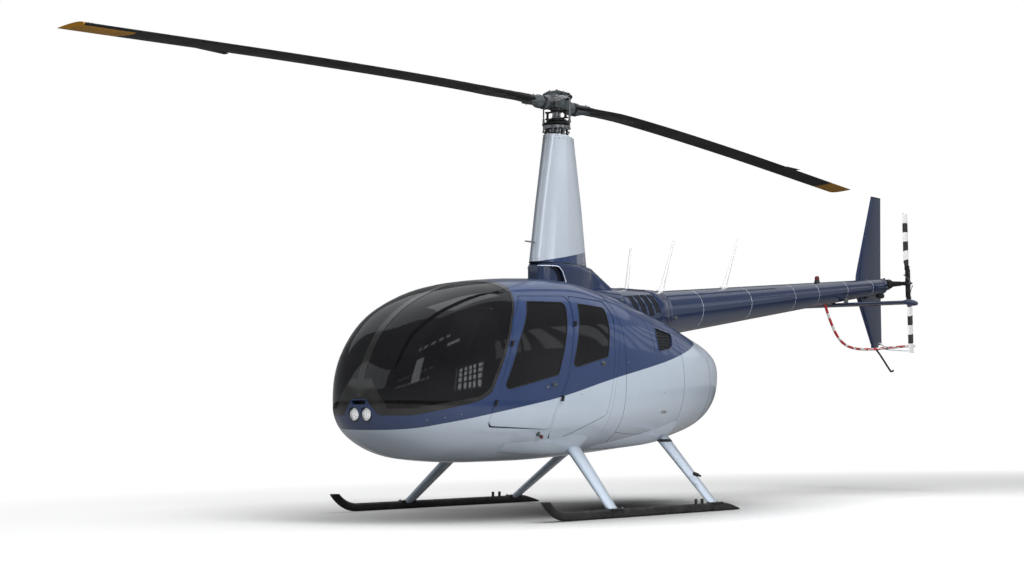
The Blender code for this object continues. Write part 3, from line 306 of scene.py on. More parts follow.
def make(name, bm, finish, body="airframe", stands_for=(), sharp=35.0):
    """Turns a mesh, or a list of them, into a piece that rides on body and stands for solids."""
    finishes = finish if isinstance(finish, tuple) else (finish,)
    made = plain_object(name, moved(bm, Matrix.Translation((0.0, DATUM_Y, 0.0))))
    for chosen in finishes:
        made.data.materials.append(FINISHES[chosen])
    made.data.shade_smooth()
    made.data.set_sharp_from_angle(angle=math.radians(sharp))
    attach(made, body)
    if stands_for:
        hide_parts(*stands_for)
    return made


# Finishes


def link(tree, start, end):
    """Links an output to an input."""
    tree.links.new(start, end)


def node(tree, kind, **values):
    """A new node with some of its settings."""
    made = tree.nodes.new(kind)
    for key, value in values.items():
        setattr(made, key, value)
    return made


def places(tree):
    """Where a point is, from the mast's foot: the vector, then x, y and z."""
    coordinates = node(tree, "ShaderNodeTexCoord")
    shift = node(tree, "ShaderNodeMapping")
    shift.inputs["Location"].default_value = (0.0, -DATUM_Y, 0.0)
    link(tree, coordinates.outputs["Object"], shift.inputs["Vector"])
    split = node(tree, "ShaderNodeSeparateXYZ")
    link(tree, shift.outputs["Vector"], split.inputs["Vector"])
    return shift.outputs["Vector"], split.outputs["X"], split.outputs["Y"], split.outputs["Z"]


def sums(tree, operation, first, second=0.0, clamp=False):
    """One step of arithmetic between sockets or numbers."""
    made = node(tree, "ShaderNodeMath", operation=operation, use_clamp=clamp)
    for at, value in enumerate((first, second)):
        if isinstance(value, (int, float)):
            made.inputs[at].default_value = value
        else:
            link(tree, value, made.inputs[at])
    return made.outputs["Value"]


def times(tree, first, second):
    """Product of two values."""
    return sums(tree, "MULTIPLY", first, second)


def plus(tree, first, second):
    """Sum of two values."""
    return sums(tree, "ADD", first, second)


def minus(tree, first, second):
    """Difference of two values."""
    return sums(tree, "SUBTRACT", first, second)


def blended(tree, factor, first, second):
    """Two colours, or colour sockets, mixed by a factor."""
    made = node(tree, "ShaderNodeMix", data_type="RGBA")
    link(tree, factor, made.inputs["Factor"])
    for label, value in (("A", first), ("B", second)):
        socket = next(s for s in made.inputs if s.name == label and s.type == "RGBA")
        if isinstance(value, tuple):
            socket.default_value = (*value, 1.0)
        else:
            link(tree, value, socket)
    return next(s for s in made.outputs if s.type == "RGBA")


def cloud(tree, vector, scale, detail):
    """Soft random variation, 0 to 1, at a scale in turns to the metre."""
    made = node(tree, "ShaderNodeTexNoise")
    made.inputs["Scale"].default_value = scale
    made.inputs["Detail"].default_value = detail
    link(tree, vector, made.inputs["Vector"])
    return made.outputs["Fac"]


def ranged(tree, value, low, high, from_low=0.3, from_high=0.7):
    """A value taken from one range to another, clamped."""
    made = node(tree, "ShaderNodeMapRange")
    for label, number in (("From Min", from_low), ("From Max", from_high), ("To Min", low), ("To Max", high)):
        made.inputs[label].default_value = number
    link(tree, value, made.inputs["Value"])
    return made.outputs["Result"]


def two_tones(dark, pale, grain):
    """Colour recipe: drifts between two tones."""

    def recipe(tree, vector, x, y, z):
        return blended(tree, ranged(tree, cloud(tree, vector, grain, 4.0), 0.0, 1.0), dark, pale)

    return recipe


FINISHES = {}


def finish_of(
    name,
    slot,
    colour,
    roughness,
    spread,
    wear_grain=9.0,
    metallic=0.0,
    bump=0.0,
    bump_grain=300.0,
    bump_depth=0.0006,
    **sockets,
):
    """A procedural finish. colour is a recipe that gives a colour socket."""
    made = bpy.data.materials.new(name)
    made.use_nodes = True
    tree = made.node_tree
    shader = tree.nodes["Principled BSDF"]
    vector, x, y, z = places(tree)
    link(tree, colour(tree, vector, x, y, z), shader.inputs["Base Color"])
    uneven = cloud(tree, vector, wear_grain, 5.0)
    low, high = max(0.0, roughness - spread), roughness + spread
    link(tree, ranged(tree, uneven, low, high), shader.inputs["Roughness"])
    shader.inputs["Metallic"].default_value = metallic
    for label, value in sockets.items():
        shader.inputs[label.replace("_", " ")].default_value = value
    if bump:
        relief = node(tree, "ShaderNodeBump")
        relief.inputs["Strength"].default_value = bump
        relief.inputs["Distance"].default_value = bump_depth
        link(tree, cloud(tree, vector, bump_grain, 2.0), relief.inputs["Height"])
        link(tree, relief.outputs["Normal"], shader.inputs["Normal"])
    FINISHES[name] = made


NAVY = (0.019, 0.038, 0.108)
NAVY_PALE = (0.022, 0.043, 0.12)
SILVER = (0.44, 0.505, 0.59)
SILVER_PALE = (0.46, 0.525, 0.61)
BLACK = (0.006, 0.006, 0.007)

# Where the navy upper paint meets the pale lower paint: y, z
PAINT_LINE = (
    (-2.4, 0.657),
    (-2.286, 0.662),
    (-2.177, 0.674),
    (-2.005, 0.711),
    (-1.71, 0.77),
    (-1.46, 0.817),
    (-0.904, 0.911),
    (-0.209, 1.063),
    (0.776, 1.254),
    (1.4, 1.4),
    (1.9, 1.53),
)


def line_height(tree, y, rows, reach=2.0):
    """Height of a line over y, through a curve node."""
    start, end = rows[0][0], rows[-1][0]
    curve = node(tree, "ShaderNodeFloatCurve")
    points = curve.mapping.curves[0].points
    while len(points) < len(rows):
        points.new(0.5, 0.5)
    for point, (at, height) in zip(points, rows):
        point.location = ((at - start) / (end - start), height / reach)
        point.handle_type = "AUTO_CLAMPED"
    curve.mapping.update()
    link(tree, ranged(tree, y, 0.0, 1.0, start, end), curve.inputs["Value"])
    return times(tree, curve.outputs["Value"], reach)


def above(tree, value, limit, softness=0.001):
    """0 under the limit and 1 over it."""
    return sums(tree, "DIVIDE", minus(tree, value, limit), softness, clamp=True)


def hull_colour(tree, vector, x, y, z):
    """Navy above the paint line and silver below it."""
    upper = two_tones(NAVY, NAVY_PALE, 5.0)(tree, vector, x, y, z)
    lower = two_tones(SILVER, SILVER_PALE, 4.0)(tree, vector, x, y, z)
    return blended(tree, above(tree, z, line_height(tree, y, PAINT_LINE)), lower, upper)


def fairing_colour(tree, vector, x, y, z):
    """Pale, with a navy wedge that rises aft along the foot and is hatched at its end."""
    pale = two_tones((0.46, 0.51, 0.58), (0.48, 0.53, 0.6), 3.0)(tree, vector, x, y, z)
    edge = plus(tree, times(tree, y, 0.182), 2.081)
    hatch = above(tree, sums(tree, "SINE", times(tree, y, 420.0)), 0.0, 0.4)
    aft = above(tree, y, 0.13, 0.02)
    hatched = blended(tree, times(tree, hatch, aft), NAVY_PALE, (0.34, 0.35, 0.38))
    return blended(tree, above(tree, z, edge), hatched, pale)


def blade_colour(tree, vector, x, y, z):
    """Black with yellow ends, and a worn grey leading strip that the mesh marks."""
    span = node(tree, "ShaderNodeVectorMath", operation="LENGTH")
    flat = node(tree, "ShaderNodeCombineXYZ")
    link(tree, x, flat.inputs["X"])
    link(tree, y, flat.inputs["Y"])
    link(tree, flat.outputs["Vector"], span.inputs[0])
    dark = two_tones(BLACK, (0.011, 0.011, 0.012), 7.0)(tree, vector, x, y, z)
    yellow = two_tones((0.42, 0.19, 0.01), (0.5, 0.24, 0.016), 9.0)(tree, vector, x, y, z)
    return blended(tree, above(tree, span.outputs["Value"], 4.6), dark, yellow)


TAIL_HUB = Vector((0.264, 5.871, 2.2))


def tail_blade_colour(tree, vector, x, y, z):
    """White and black bands measured out from the tail rotor's hub."""
    rise = minus(tree, z, TAIL_HUB.z)
    shift = minus(tree, y, TAIL_HUB.y)
    square = plus(tree, times(tree, rise, rise), times(tree, shift, shift))
    radius = sums(tree, "SQRT", square)
    inwards = minus(tree, 0.745, radius)
    turn = sums(tree, "FRACT", sums(tree, "DIVIDE", inwards, 0.196))
    banded = sums(tree, "MAXIMUM", above(tree, turn, 0.5, 0.004), above(tree, inwards, 0.49, 0.001))
    dark = two_tones((0.016, 0.016, 0.017), (0.03, 0.03, 0.031), 20.0)(tree, vector, x, y, z)
    white = two_tones((0.74, 0.74, 0.73), (0.84, 0.84, 0.83), 20.0)(tree, vector, x, y, z)
    return blended(tree, banded, white, dark)


GLOSS = {"Coat_Weight": 0.9, "Coat_Roughness": 0.04, "Specular_IOR_Level": 0.5}
# Name, slot, colour, roughness, its spread, what else the finish sets
FINISH_ROWS = (
    ("hull_paint", "navy_paint", hull_colour, 0.3, 0.02, dict(metallic=0.15, **GLOSS)),
    (
        "navy_paint", "navy_paint", two_tones((0.013, 0.024, 0.064), (0.015, 0.027, 0.071), 5.0), 0.24, 0.03,
        dict(metallic=0.15, **GLOSS)
    ),
    (
        "pale_paint", "silver_paint", two_tones(SILVER, SILVER_PALE, 4.0), 0.3, 0.02,
        dict(metallic=0.15, **GLOSS)
    ),
    ("fairing_paint", "silver_paint", fairing_colour, 0.2, 0.01, dict(metallic=0.3, **GLOSS)),
    (
        "frame_black", "black_paint", two_tones((0.01, 0.01, 0.01), (0.022, 0.021, 0.02), 14.0), 0.22, 0.08,
        dict(bump=0.1, bump_grain=60.0, Coat_Weight=0.6, Coat_Roughness=0.1)
    ),
    (
        "tinted_glass", "tinted_glass", two_tones((0.004, 0.004, 0.005), (0.009, 0.009, 0.01), 2.0), 0.035,
        0.012, dict(Alpha=0.8, IOR=1.5, Specular_IOR_Level=0.65)
    ),
    (
        "cabin_lining", "dark_plastic", two_tones((0.03, 0.03, 0.032), (0.048, 0.047, 0.046), 30.0), 0.85,
        0.06, dict(bump=0.5, bump_grain=900.0)
    ),
    (
        "carpet", "dark_plastic", two_tones((0.02, 0.02, 0.022), (0.045, 0.045, 0.048), 500.0), 0.95, 0.04,
        dict(bump=0.9, bump_grain=1200.0, bump_depth=0.002, Sheen_Weight=0.3)
    ),
    (
        "seat_leather", "seat_leather", two_tones((0.075, 0.068, 0.062), (0.115, 0.105, 0.096), 8.0), 0.52,
        0.08, dict(bump=0.35, bump_grain=450.0, bump_depth=0.0008, Sheen_Weight=0.08)
    ),
    (
        "belt_webbing", "seat_leather", two_tones((0.03, 0.03, 0.032), (0.06, 0.06, 0.062), 700.0), 0.8, 0.05,
        dict(bump=0.8, bump_grain=700.0)
    ),
    (
        "blade_paint", "black_paint", blade_colour, 0.46, 0.08,
        dict(wear_grain=4.0, bump=0.06, bump_grain=160.0, Specular_IOR_Level=0.25)
    ),
    (
        "blade_strip", "bare_metal", two_tones((0.02, 0.02, 0.021), (0.05, 0.05, 0.052), 16.0), 0.42, 0.1,
        dict(wear_grain=20.0, metallic=0.8)
    ),
    ("tail_blade_paint", "white_paint", tail_blade_colour, 0.36, 0.06, dict(bump=0.05, bump_grain=120.0)),
    (
        "satin_black", "black_paint", two_tones((0.012, 0.012, 0.013), (0.03, 0.029, 0.029), 18.0), 0.42,
        0.12, dict(wear_grain=25.0, bump=0.12, bump_grain=500.0)
    ),
    (
        "skid_black", "black_paint", two_tones((0.008, 0.008, 0.009), (0.022, 0.021, 0.02), 9.0), 0.5, 0.12,
        dict(wear_grain=14.0, bump=0.18, bump_grain=220.0, Specular_IOR_Level=0.3)
    ),
    (
        "cast_alloy", "bare_metal", two_tones((0.085, 0.1, 0.11), (0.17, 0.19, 0.2), 35.0), 0.4, 0.1,
        dict(metallic=0.7, bump=0.2, bump_grain=420.0)
    ),
    (
        "bare_steel", "bare_metal", two_tones((0.42, 0.42, 0.43), (0.62, 0.62, 0.62), 40.0), 0.28, 0.08,
        dict(metallic=1.0, bump=0.08, bump_grain=700.0)
    ),
    (
        "dark_steel", "dark_metal", two_tones((0.03, 0.031, 0.033), (0.075, 0.075, 0.078), 45.0), 0.4, 0.1,
        dict(metallic=0.85, bump=0.15, bump_grain=500.0)
    ),
    (
        "hot_steel", "bare_metal", two_tones((0.16, 0.13, 0.11), (0.34, 0.31, 0.29), 12.0), 0.38, 0.1,
        dict(metallic=0.95, bump=0.1, bump_grain=200.0)
    ),
    (
        "rubber", "dark_plastic", two_tones((0.01, 0.01, 0.01), (0.022, 0.022, 0.022), 60.0), 0.7, 0.1,
        dict(bump=0.25, bump_grain=900.0)
    ),
    # Dark of the panel seams, and painted shade in the scoops' aft ends and the louvre slots
    ("seam_dark", "dark_plastic", two_tones((0.006, 0.007, 0.01), (0.014, 0.015, 0.02), 60.0), 0.65, 0.1, {}),
    ("seam_pale", "silver_paint", two_tones((0.55, 0.6, 0.66), (0.68, 0.72, 0.78), 60.0), 0.35, 0.1, {}),
    (
        "white_fibreglass", "white_paint", two_tones((0.74, 0.74, 0.73), (0.84, 0.84, 0.83), 22.0), 0.34,
        0.06, dict(bump=0.06, bump_grain=200.0, Coat_Weight=0.4, Coat_Roughness=0.1)
    ),
    (
        "red_gloss", "red_paint", two_tones((0.46, 0.018, 0.02), (0.58, 0.03, 0.03), 25.0), 0.34, 0.06,
        dict(Coat_Weight=0.4, Coat_Roughness=0.1)
    ),
    (
        "red_lens", "red_lens", two_tones((0.08, 0.006, 0.008), (0.12, 0.01, 0.012), 90.0), 0.08, 0.02,
        dict(Coat_Weight=0.8, Coat_Roughness=0.03)
    ),
    (
        "green_lens", "green_lens", two_tones((0.006, 0.08, 0.026), (0.01, 0.12, 0.04), 90.0), 0.08, 0.02,
        dict(Coat_Weight=0.8, Coat_Roughness=0.03)
    ),
    # Its faint emission is a painted glow on the landing lamps' beads and the tail light's lens, which light
    # nothing
    (
        "clear_lens", "clear_lens", two_tones((0.8, 0.8, 0.81), (0.92, 0.92, 0.92), 160.0), 0.08, 0.03,
        dict(
            Coat_Weight=1.0, Coat_Roughness=0.02, Emission_Color=(1.0, 1.0, 1.0, 1.0), Emission_Strength=0.32
        )
    ),
    (
        "lamp_cover", "clear_lens", two_tones((0.8, 0.81, 0.82), (0.92, 0.92, 0.92), 60.0), 0.04, 0.02,
        dict(Alpha=0.25, Coat_Weight=1.0, Coat_Roughness=0.02)
    ),
    (
        "lamp_mirror", "bare_metal", two_tones((0.7, 0.71, 0.72), (0.9, 0.9, 0.9), 50.0), 0.12, 0.03,
        dict(metallic=1.0)
    ),
    (
        "screen_mesh", "dark_metal", two_tones((0.008, 0.008, 0.01), (0.06, 0.06, 0.065), 900.0), 0.55, 0.1,
        dict(metallic=0.6, bump=1.0, bump_grain=1100.0, bump_depth=0.002)
    ),
    (
        "gauge_face", "dark_plastic", two_tones((0.01, 0.012, 0.016), (0.03, 0.036, 0.048), 60.0), 0.15, 0.05,
        dict(Coat_Weight=0.6, Coat_Roughness=0.05)
    ),
    ("white_mark", "white_paint", two_tones((0.7, 0.7, 0.68), (0.8, 0.8, 0.78), 80.0), 0.4, 0.05, {})
)
for name, slot, colour, roughness, spread, rest in FINISH_ROWS:
    finish_of(name, slot, colour, roughness, spread, **rest)

# Hull shape

# y, top z, bottom z, half width, z of the greatest width, roundness above and below it
HULL_SECTIONS = (
    (-2.36, 0.9, 0.86, 0.03, 0.88, 2.2, 2.2),
    (-2.34, 1.01, 0.765, 0.18, 0.88, 2.3, 2.2),
    (-2.27, 1.185, 0.635, 0.335, 0.88, 2.5, 2.3),
    (-2.116, 1.405, 0.53, 0.48, 0.88, 2.7, 2.4),
    (-1.762, 1.64, 0.436, 0.645, 0.89, 3.0, 2.5),
    (-1.313, 1.785, 0.412, 0.724, 0.9, 3.1, 2.6),
    (-0.815, 1.85, 0.415, 0.735, 0.92, 3.0, 2.6),
    (-0.38, 1.868, 0.43, 0.735, 0.95, 3.0, 2.6),
    (0.0, 1.838, 0.45, 0.73, 0.98, 2.9, 2.5),
    (0.5, 1.745, 0.482, 0.7, 1.02, 2.7, 2.4),
    (1.0, 1.635, 0.53, 0.632, 1.06, 2.6, 2.4),
    (1.5, 1.508, 0.605, 0.51, 1.09, 2.5, 2.3),
    (1.85, 1.422, 0.705, 0.38, 1.12, 2.4, 2.3),
    (2.08, 1.335, 0.87, 0.22, 1.14, 2.3, 2.2),
    (2.16, 1.23, 1.06, 0.06, 1.15, 2.0, 2.0),
)
HULL_ROUND = 120
HULL_RINGS = 110
NOSE_SHARE, TAIL_SHARE = 0.26, 0.2
NOSE_END_Y, TAIL_START_Y = -1.762, 1.5
WALL = 0.03
GLASS = 0.005
GLASS_SET = 0.002
RUNNING_GAP = 0.005


def curve_at(rows, y, column):
    """One column of a table at y, by a monotone cubic through its rows."""
    ys = [row[0] for row in rows]
    vs = [row[column] for row in rows]
    steps = [b - a for a, b in zip(ys, ys[1:])]
    slopes = [(b - a) / h for a, b, h in zip(vs, vs[1:], steps)]
    tangents = [slopes[0]]
    for i in range(1, len(slopes)):
        before, after = slopes[i - 1], slopes[i]
        if before * after <= 0.0:
            tangents.append(0.0)
            continue
        first = 2.0 * steps[i] + steps[i - 1]
        second = steps[i] + 2.0 * steps[i - 1]
        tangents.append((first + second) / (first / before + second / after))
    tangents.append(slopes[-1])
    y = min(max(y, ys[0]), ys[-1])
    i = max(k for k in range(len(steps)) if ys[k] <= y)
    h = steps[i]
    t = (y - ys[i]) / h
    start = (1.0 + 2.0 * t) * (1.0 - t) ** 2 * vs[i] + t * t * (3.0 - 2.0 * t) * vs[i + 1]
    return start + h * (t * (1.0 - t) ** 2 * tangents[i] - t * t * (1.0 - t) * tangents[i + 1])


HULL_MEMORY = {}


def hull_sizes(y):
    """All columns of the hull's table at y."""
    key = round(y, 6)
    if key not in HULL_MEMORY:
        HULL_MEMORY[key] = [curve_at(HULL_SECTIONS, y, k) for k in range(1, 7)]
    return HULL_MEMORY[key]


def hull_point(y, angle):
    """A point of the hull's skin by its place along Y and its angle round the widest line."""
    top, bottom, half_width, widest, n_top, n_bottom = hull_sizes(y)
    across, up = math.cos(angle), math.sin(angle)
    roundness = n_top if up >= 0.0 else n_bottom
    height = top - widest if up >= 0.0 else widest - bottom
    reach = (abs(across) ** roundness + abs(up) ** roundness) ** (-1.0 / roundness)
    return Vector((half_width * reach * across, y, widest + height * reach * up))


def station(share):
    """Place along Y, with the rings close together at both ends of the hull."""
    nose, tail = HULL_SECTIONS[0][0], HULL_SECTIONS[-1][0]
    if share < NOSE_SHARE:
        return nose + (NOSE_END_Y - nose) * (share / NOSE_SHARE) ** 2
    if share > 1.0 - TAIL_SHARE:
        return tail - (tail - TAIL_START_Y) * ((1.0 - share) / TAIL_SHARE) ** 1.8
    return NOSE_END_Y + (TAIL_START_Y - NOSE_END_Y) * (share - NOSE_SHARE) / (1.0 - NOSE_SHARE - TAIL_SHARE)


def hull(inset=0.0):
    """The closed hull, or one that lies inset inside it."""
    bm = sheet_of(
        HULL_ROUND, HULL_RINGS, lambda u, v: hull_point(station(v), math.tau * u), closed=True, caps=True
    )
    if inset:
        bm.normal_update()
        shifts = [vert.normal * inset for vert in bm.verts]
        for vert, shift in zip(bm.verts, shifts):
            vert.co -= shift
    return bm


def side_x(y, z):
    """Half width of the skin at a point of the side view."""
    top, bottom, half_width, widest, n_top, n_bottom = hull_sizes(y)
    roundness = n_top if z >= widest else n_bottom
    height = top - widest if z >= widest else widest - bottom
    inside = max(0.0, 1.0 - min(1.0, abs(z - widest) / height) ** roundness)
    return half_width * inside ** (1.0 / roundness)


def top_z(x, y):
    """Height of the skin over its widest line at a point of the plan."""
    top, _, half_width, widest, n_top, _ = hull_sizes(y)
    inside = max(0.0, 1.0 - min(1.0, abs(x) / half_width) ** n_top)
    return widest + (top - widest) * inside ** (1.0 / n_top)


def belly_z(x, y):
    """Height of the skin under its widest line at a point of the plan."""
    _, bottom, half_width, widest, _, n_bottom = hull_sizes(y)
    inside = max(0.0, 1.0 - min(1.0, abs(x) / half_width) ** n_bottom)
    return widest - (widest - bottom) * inside ** (1.0 / n_bottom)


def on_side(y, z, side, lift=0.0):
    """Frame of a place on the hull's side: X aft along the skin, Z straight out."""
    step = 0.004
    here = Vector((side * side_x(y, z), y, z))
    aft = Vector((side * side_x(y + step, z), y + step, z)) - here
    upwards = Vector((side * side_x(y, z + step), y, z + step)) - here
    out = aft.cross(upwards).normalized()
    if out.x * side < 0.0:
        out.negate()
    aft = (aft - out * aft.dot(out)).normalized()
    return Matrix.Translation(here + out * lift) @ axes(aft, out.cross(aft), out)


def grown(outline, distance):
    """A side outline with every edge pushed outwards by distance."""
    area = 0.0
    count = len(outline)
    for i, (y0, z0) in enumerate(outline):
        y1, z1 = outline[(i + 1) % count]
        area += y0 * z1 - y1 * z0
    side = 1.0 if area > 0.0 else -1.0
    result = []
    for i in range(count):
        before, here, after = (Vector(outline[(i + k) % count]) for k in (-1, 0, 1))
        first, second = (here - before).normalized(), (after - here).normalized()
        normal_one = Vector((first.y, -first.x)) * side
        normal_two = Vector((second.y, -second.x)) * side
        bisector = (normal_one + normal_two).normalized()
        result.append(tuple(here + bisector * (distance / bisector.dot(normal_one))))
    return result


def rounded(outline, radius, steps=6):
    """An outline whose corners are arcs, where both edges are long enough."""
    result = []
    count = len(outline)
    for i in range(count):
        before, here, after = (Vector(outline[(i + k) % count]) for k in (-1, 0, 1))
        back, ahead = before - here, after - here
        half = back.angle(ahead) / 2.0
        cut = min(radius / math.tan(half), 0.4 * back.length, 0.4 * ahead.length)
        size = cut * math.tan(half)
        centre = here + (back.normalized() + ahead.normalized()).normalized() * (size / math.sin(half))
        start = here + back.normalized() * cut - centre
        sweep = math.pi - 2.0 * half
        turn = 1.0 if start.cross(here + ahead.normalized() * cut - centre) > 0.0 else -1.0
        for k in range(steps + 1):
            result.append(tuple(centre + Matrix.Rotation(turn * sweep * k / steps, 2) @ start))
    return result


ACROSS = Matrix(((0, 0, 1, 0), (1, 0, 0, 0), (0, 1, 0, 0), (0, 0, 0, 1)))
ALONG = Matrix(((1, 0, 0, 0), (0, 0, 1, 0), (0, 1, 0, 0), (0, 0, 0, 1)))


def cutter_x(outline, low, high, rounding=0.0):
    """A side outline of (y, z) carried across from x low to high."""
    return plate(outline, high - low, Matrix.Translation((low, 0.0, 0.0)) @ ACROSS, rounding)


def cutter_y(outline, low, high):
    """A front outline of (x, z) carried along from y low to high."""
    bm = plate(outline, high - low, Matrix.Translation((0.0, low, 0.0)) @ ALONG)
    bmesh.ops.recalc_face_normals(bm, faces=bm.faces)
    return bm


def side_range(side, inner, outer):
    """Low and high x of a span on one side, from its inner and outer half width."""
    return (inner, outer) if side > 0.0 else (-outer, -inner)


# Shell panels

SEAM = ((-0.35, 0.32), (-0.06, 1.52), (-0.06, 2.3))
POST_HALF_WIDTH = 0.032
POST_FOOT = (
    (-0.262, 0.79),
    (0.262, 0.79),
    (0.24, 0.84),
    (0.105, 1.035),
    (-0.105, 1.035),
    (-0.24, 0.84),
)
POST_FOOT_AFT_Y = -2.23
WINDSHIELD = (
    (-3.0, 0.822),
    (-2.23, 0.818),
    (-1.76, 0.906),
    (-1.672, 0.965),
    (-1.405, 1.48),
    (-1.245, 1.69),
    (-1.235, 2.2),
    (-3.0, 2.2),
)
# Black surround of the windshield, seen from the side
SURROUND = (
    (-3.0, 0.768),
    (-2.215, 0.768),
    (-1.762, 0.874),
    (-1.655, 0.935),
    (-1.388, 1.474),
    (-1.22, 1.696),
    (-1.175, 1.76),
    (-1.175, 2.2),
    (-3.0, 2.2),
)
# Navy housing of the lamps below it, seen from the front
LAMP_HOUSING = (
    (-0.172, 0.5),
    (-0.172, 0.768),
    (-0.07, 0.885),
    (0.07, 0.885),
    (0.172, 0.768),
    (0.172, 0.5),
)
# y, z, how much farther out than the running gap the doorway's corner lies
FRONT_DOOR = (
    (-1.185, 1.67, 0.0, 0.0),
    (-0.61, 1.7, 0.005, 0.0),
    (-0.822, 1.06, 0.0, 0.0),
    (-0.983, 0.79, 0.0, 0.0),
    (-0.992, 0.668, 0.0, 0.0),
    (-1.662, 0.695, 0.0, -0.012),
    (-1.645, 0.8, 0.0, 0.0),
    (-1.612, 0.885, 0.0, 0.0),
    (-1.375, 1.48, 0.0, 0.0),
)
REAR_DOOR = (
    (-0.586, 1.7, 0.0, 0.0),
    (-0.15, 1.675, 0.012, 0.006),
    (-0.112, 1.56, 0.01, 0.0),
    (-0.165, 1.39, 0.0, 0.0),
    (-0.214, 1.07, 0.0, 0.0),
    (-0.295, 0.78, 0.0, 0.0),
    (-0.8, 0.603, 0.0, -0.018),
    (-0.925, 0.592, 0.0, -0.018),
    (-0.962, 0.64, 0.0, -0.01),
    (-0.959, 0.79, 0.0, 0.0),
    (-0.798, 1.06, 0.0, 0.0),
)
FRONT_WINDOW = (
    (-1.135, 1.632),
    (-0.685, 1.645),
    (-0.772, 1.436),
    (-0.932, 1.082),
    (-1.545, 0.955),
    (-1.36, 1.324),
)
REAR_WINDOW = (
    (-0.525, 1.645),
    (-0.185, 1.625),
    (-0.213, 1.458),
    (-0.282, 1.236),
    (-0.75, 1.134),
)
DOOR_CORNER, WINDOW_CORNER = 0.04, 0.03
DOOR_INNER_X, DOOR_OUTER_X = 0.3, 1.0
FRONT_HINGES = ((-1.6242, 0.86), (-1.4492, 1.3))
REAR_HINGES = ((-0.896, 0.9), (-0.6615, 1.48))
HINGE_STANDOFF = 0.018
HINGE_RADIUS = 0.008
HINGE_LENGTH = 0.02
LUG_REACH = 0.0105
DOORS = (
    ("front", FRONT_DOOR, FRONT_WINDOW, FRONT_HINGES),
    ("rear", REAR_DOOR, REAR_WINDOW, REAR_HINGES),
)
LAMP_X, LAMP_Z = 0.06, 0.775
# Dark screen in the aft flank
SIDE_SCREEN = (
    (0.554, 1.498),
    (0.848, 1.459),
    (0.763, 1.352),
    (0.711, 1.328),
    (0.503, 1.302),
    (0.516, 1.418),
)
EXHAUST_AXIS = ((1.5, 0.86), (1.68, 0.71))
EXHAUST_RADIUS = 0.095


def seam_side(shift, towards_nose):
    """Everything ahead of the cabin's aft seam, or everything behind it."""
    line = [(y + shift, z) for y, z in SEAM]
    reach = NOSEWARDS_Y if towards_nose else TAILWARDS_Y
    return line + [(reach, SEAM[-1][1]), (reach, SEAM[0][1])]


def doorway(rows):
    """Outline of the opening that a door runs in."""
    corners = grown([row[:2] for row in rows], RUNNING_GAP)
    return rounded([(y + row[2], z + row[3]) for (y, z), row in zip(corners, rows)], DOOR_CORNER)


def one_opening(side, shrink=0.0):
    """A windshield opening of one side, as a solid to cut with."""
    across = side_range(side, POST_HALF_WIDTH + shrink, DOOR_OUTER_X)
    glazing = cutter_x(rounded(grown(WINDSHIELD, -shrink), 0.05), *across)
    return carved(glazing, cutter_y(grown(POST_FOOT, shrink), NOSEWARDS_Y, POST_FOOT_AFT_Y + shrink))


def surround_solid(shrink=0.0):
    """Tool that splits the windshield's black surround from the painted nose."""
    solid = cutter_x(rounded(grown(SURROUND, -shrink), 0.04), *ALL_ACROSS)
    return carved(solid, cutter_y(rounded(grown(LAMP_HOUSING, shrink), 0.012), NOSEWARDS_Y, -2.1))


def build_shell():
    """Windshield surround, cabin and aft skins, and the windshield panes."""
    whole = carved(hull(), cutter_x(seam_side(0.0, True), *ALL_ACROSS), "INTERSECT")
    surround = skin_only(
        carved(
            carved(whole.copy(), surround_solid(), "INTERSECT"),
            gather(*(one_opening(side) for _, side in SIDES))
        )
    )
    make("windshield_surround", thick(surround, 0.022), "frame_black")

    doorways = gather(
        *(cutter_x(doorway(rows), *side_range(side, DOOR_INNER_X, DOOR_OUTER_X))
          for _, rows, _, _ in DOORS for _, side in SIDES)
    )
    lamp_holes = gather(*(rod((x, -2.6, LAMP_Z), (x, -2.2, LAMP_Z), 0.051, 40) for x in (-LAMP_X, LAMP_X)))
    vent = block(((-0.066, 0.066), (-2.5, -2.25), (0.846, 0.876)), 0.006)
    cabin = carved(whole, surround_solid(-0.0008))
    cabin = carved(cabin, gather(doorways, lamp_holes, vent))
    make("cabin_skin", thick(skin_only(cabin), WALL, True), ("hull_paint", "cabin_lining"),
         stands_for=("cabin_shell",))

    for side_name, side in SIDES:
        pane_solid = carved(hull(GLASS_SET), one_opening(side, 0.0008), "INTERSECT")
        make(f"windshield_glass_{side_name}", thick(skin_only(pane_solid), GLASS), "tinted_glass",
             stands_for=(f"windshield_{side_name}",))

    aft = carved(hull(), cutter_x(seam_side(0.003, False), *ALL_ACROSS), "INTERSECT")
    foot, end = (Vector((0.0, *place)) for place in EXHAUST_AXIS)
    holes = gather(
        rod((0.0, 0.0, 1.5), (0.0, 0.0, 2.2), 0.055, 40),
        rod(foot, end + (end - foot) * 0.3, EXHAUST_RADIUS + 0.006, 48),
        *(cutter_x(rounded(SIDE_SCREEN, 0.02), *side_range(side, 0.3, 1.0)) for _, side in SIDES),
    )
    make("aft_skin", thick(skin_only(carved(aft, holes)), WALL, True), ("hull_paint", "cabin_lining"),
         stands_for=("aft_cowling",))


def skin_path(outline, side, lift, spacing=0.03):
    """A side outline laid on the skin as a closed line of places, lift above it."""
    path = []
    count = len(outline)
    for i, (y0, z0) in enumerate(outline):
        y1, z1 = outline[(i + 1) % count]
        pieces = max(1, round(math.hypot(y1 - y0, z1 - z0) / spacing))
        for k in range(pieces):
            y, z = y0 + (y1 - y0) * k / pieces, z0 + (z1 - z0) * k / pieces
            path.append(on_side(y, z, side, lift).translation)
    return path


def hinge_points(rows, side):
    """Middles of a door's hinges, just outside the skin."""
    return [Vector((side * (side_x(y, z) + HINGE_STANDOFF), y, z)) for y, z in rows]


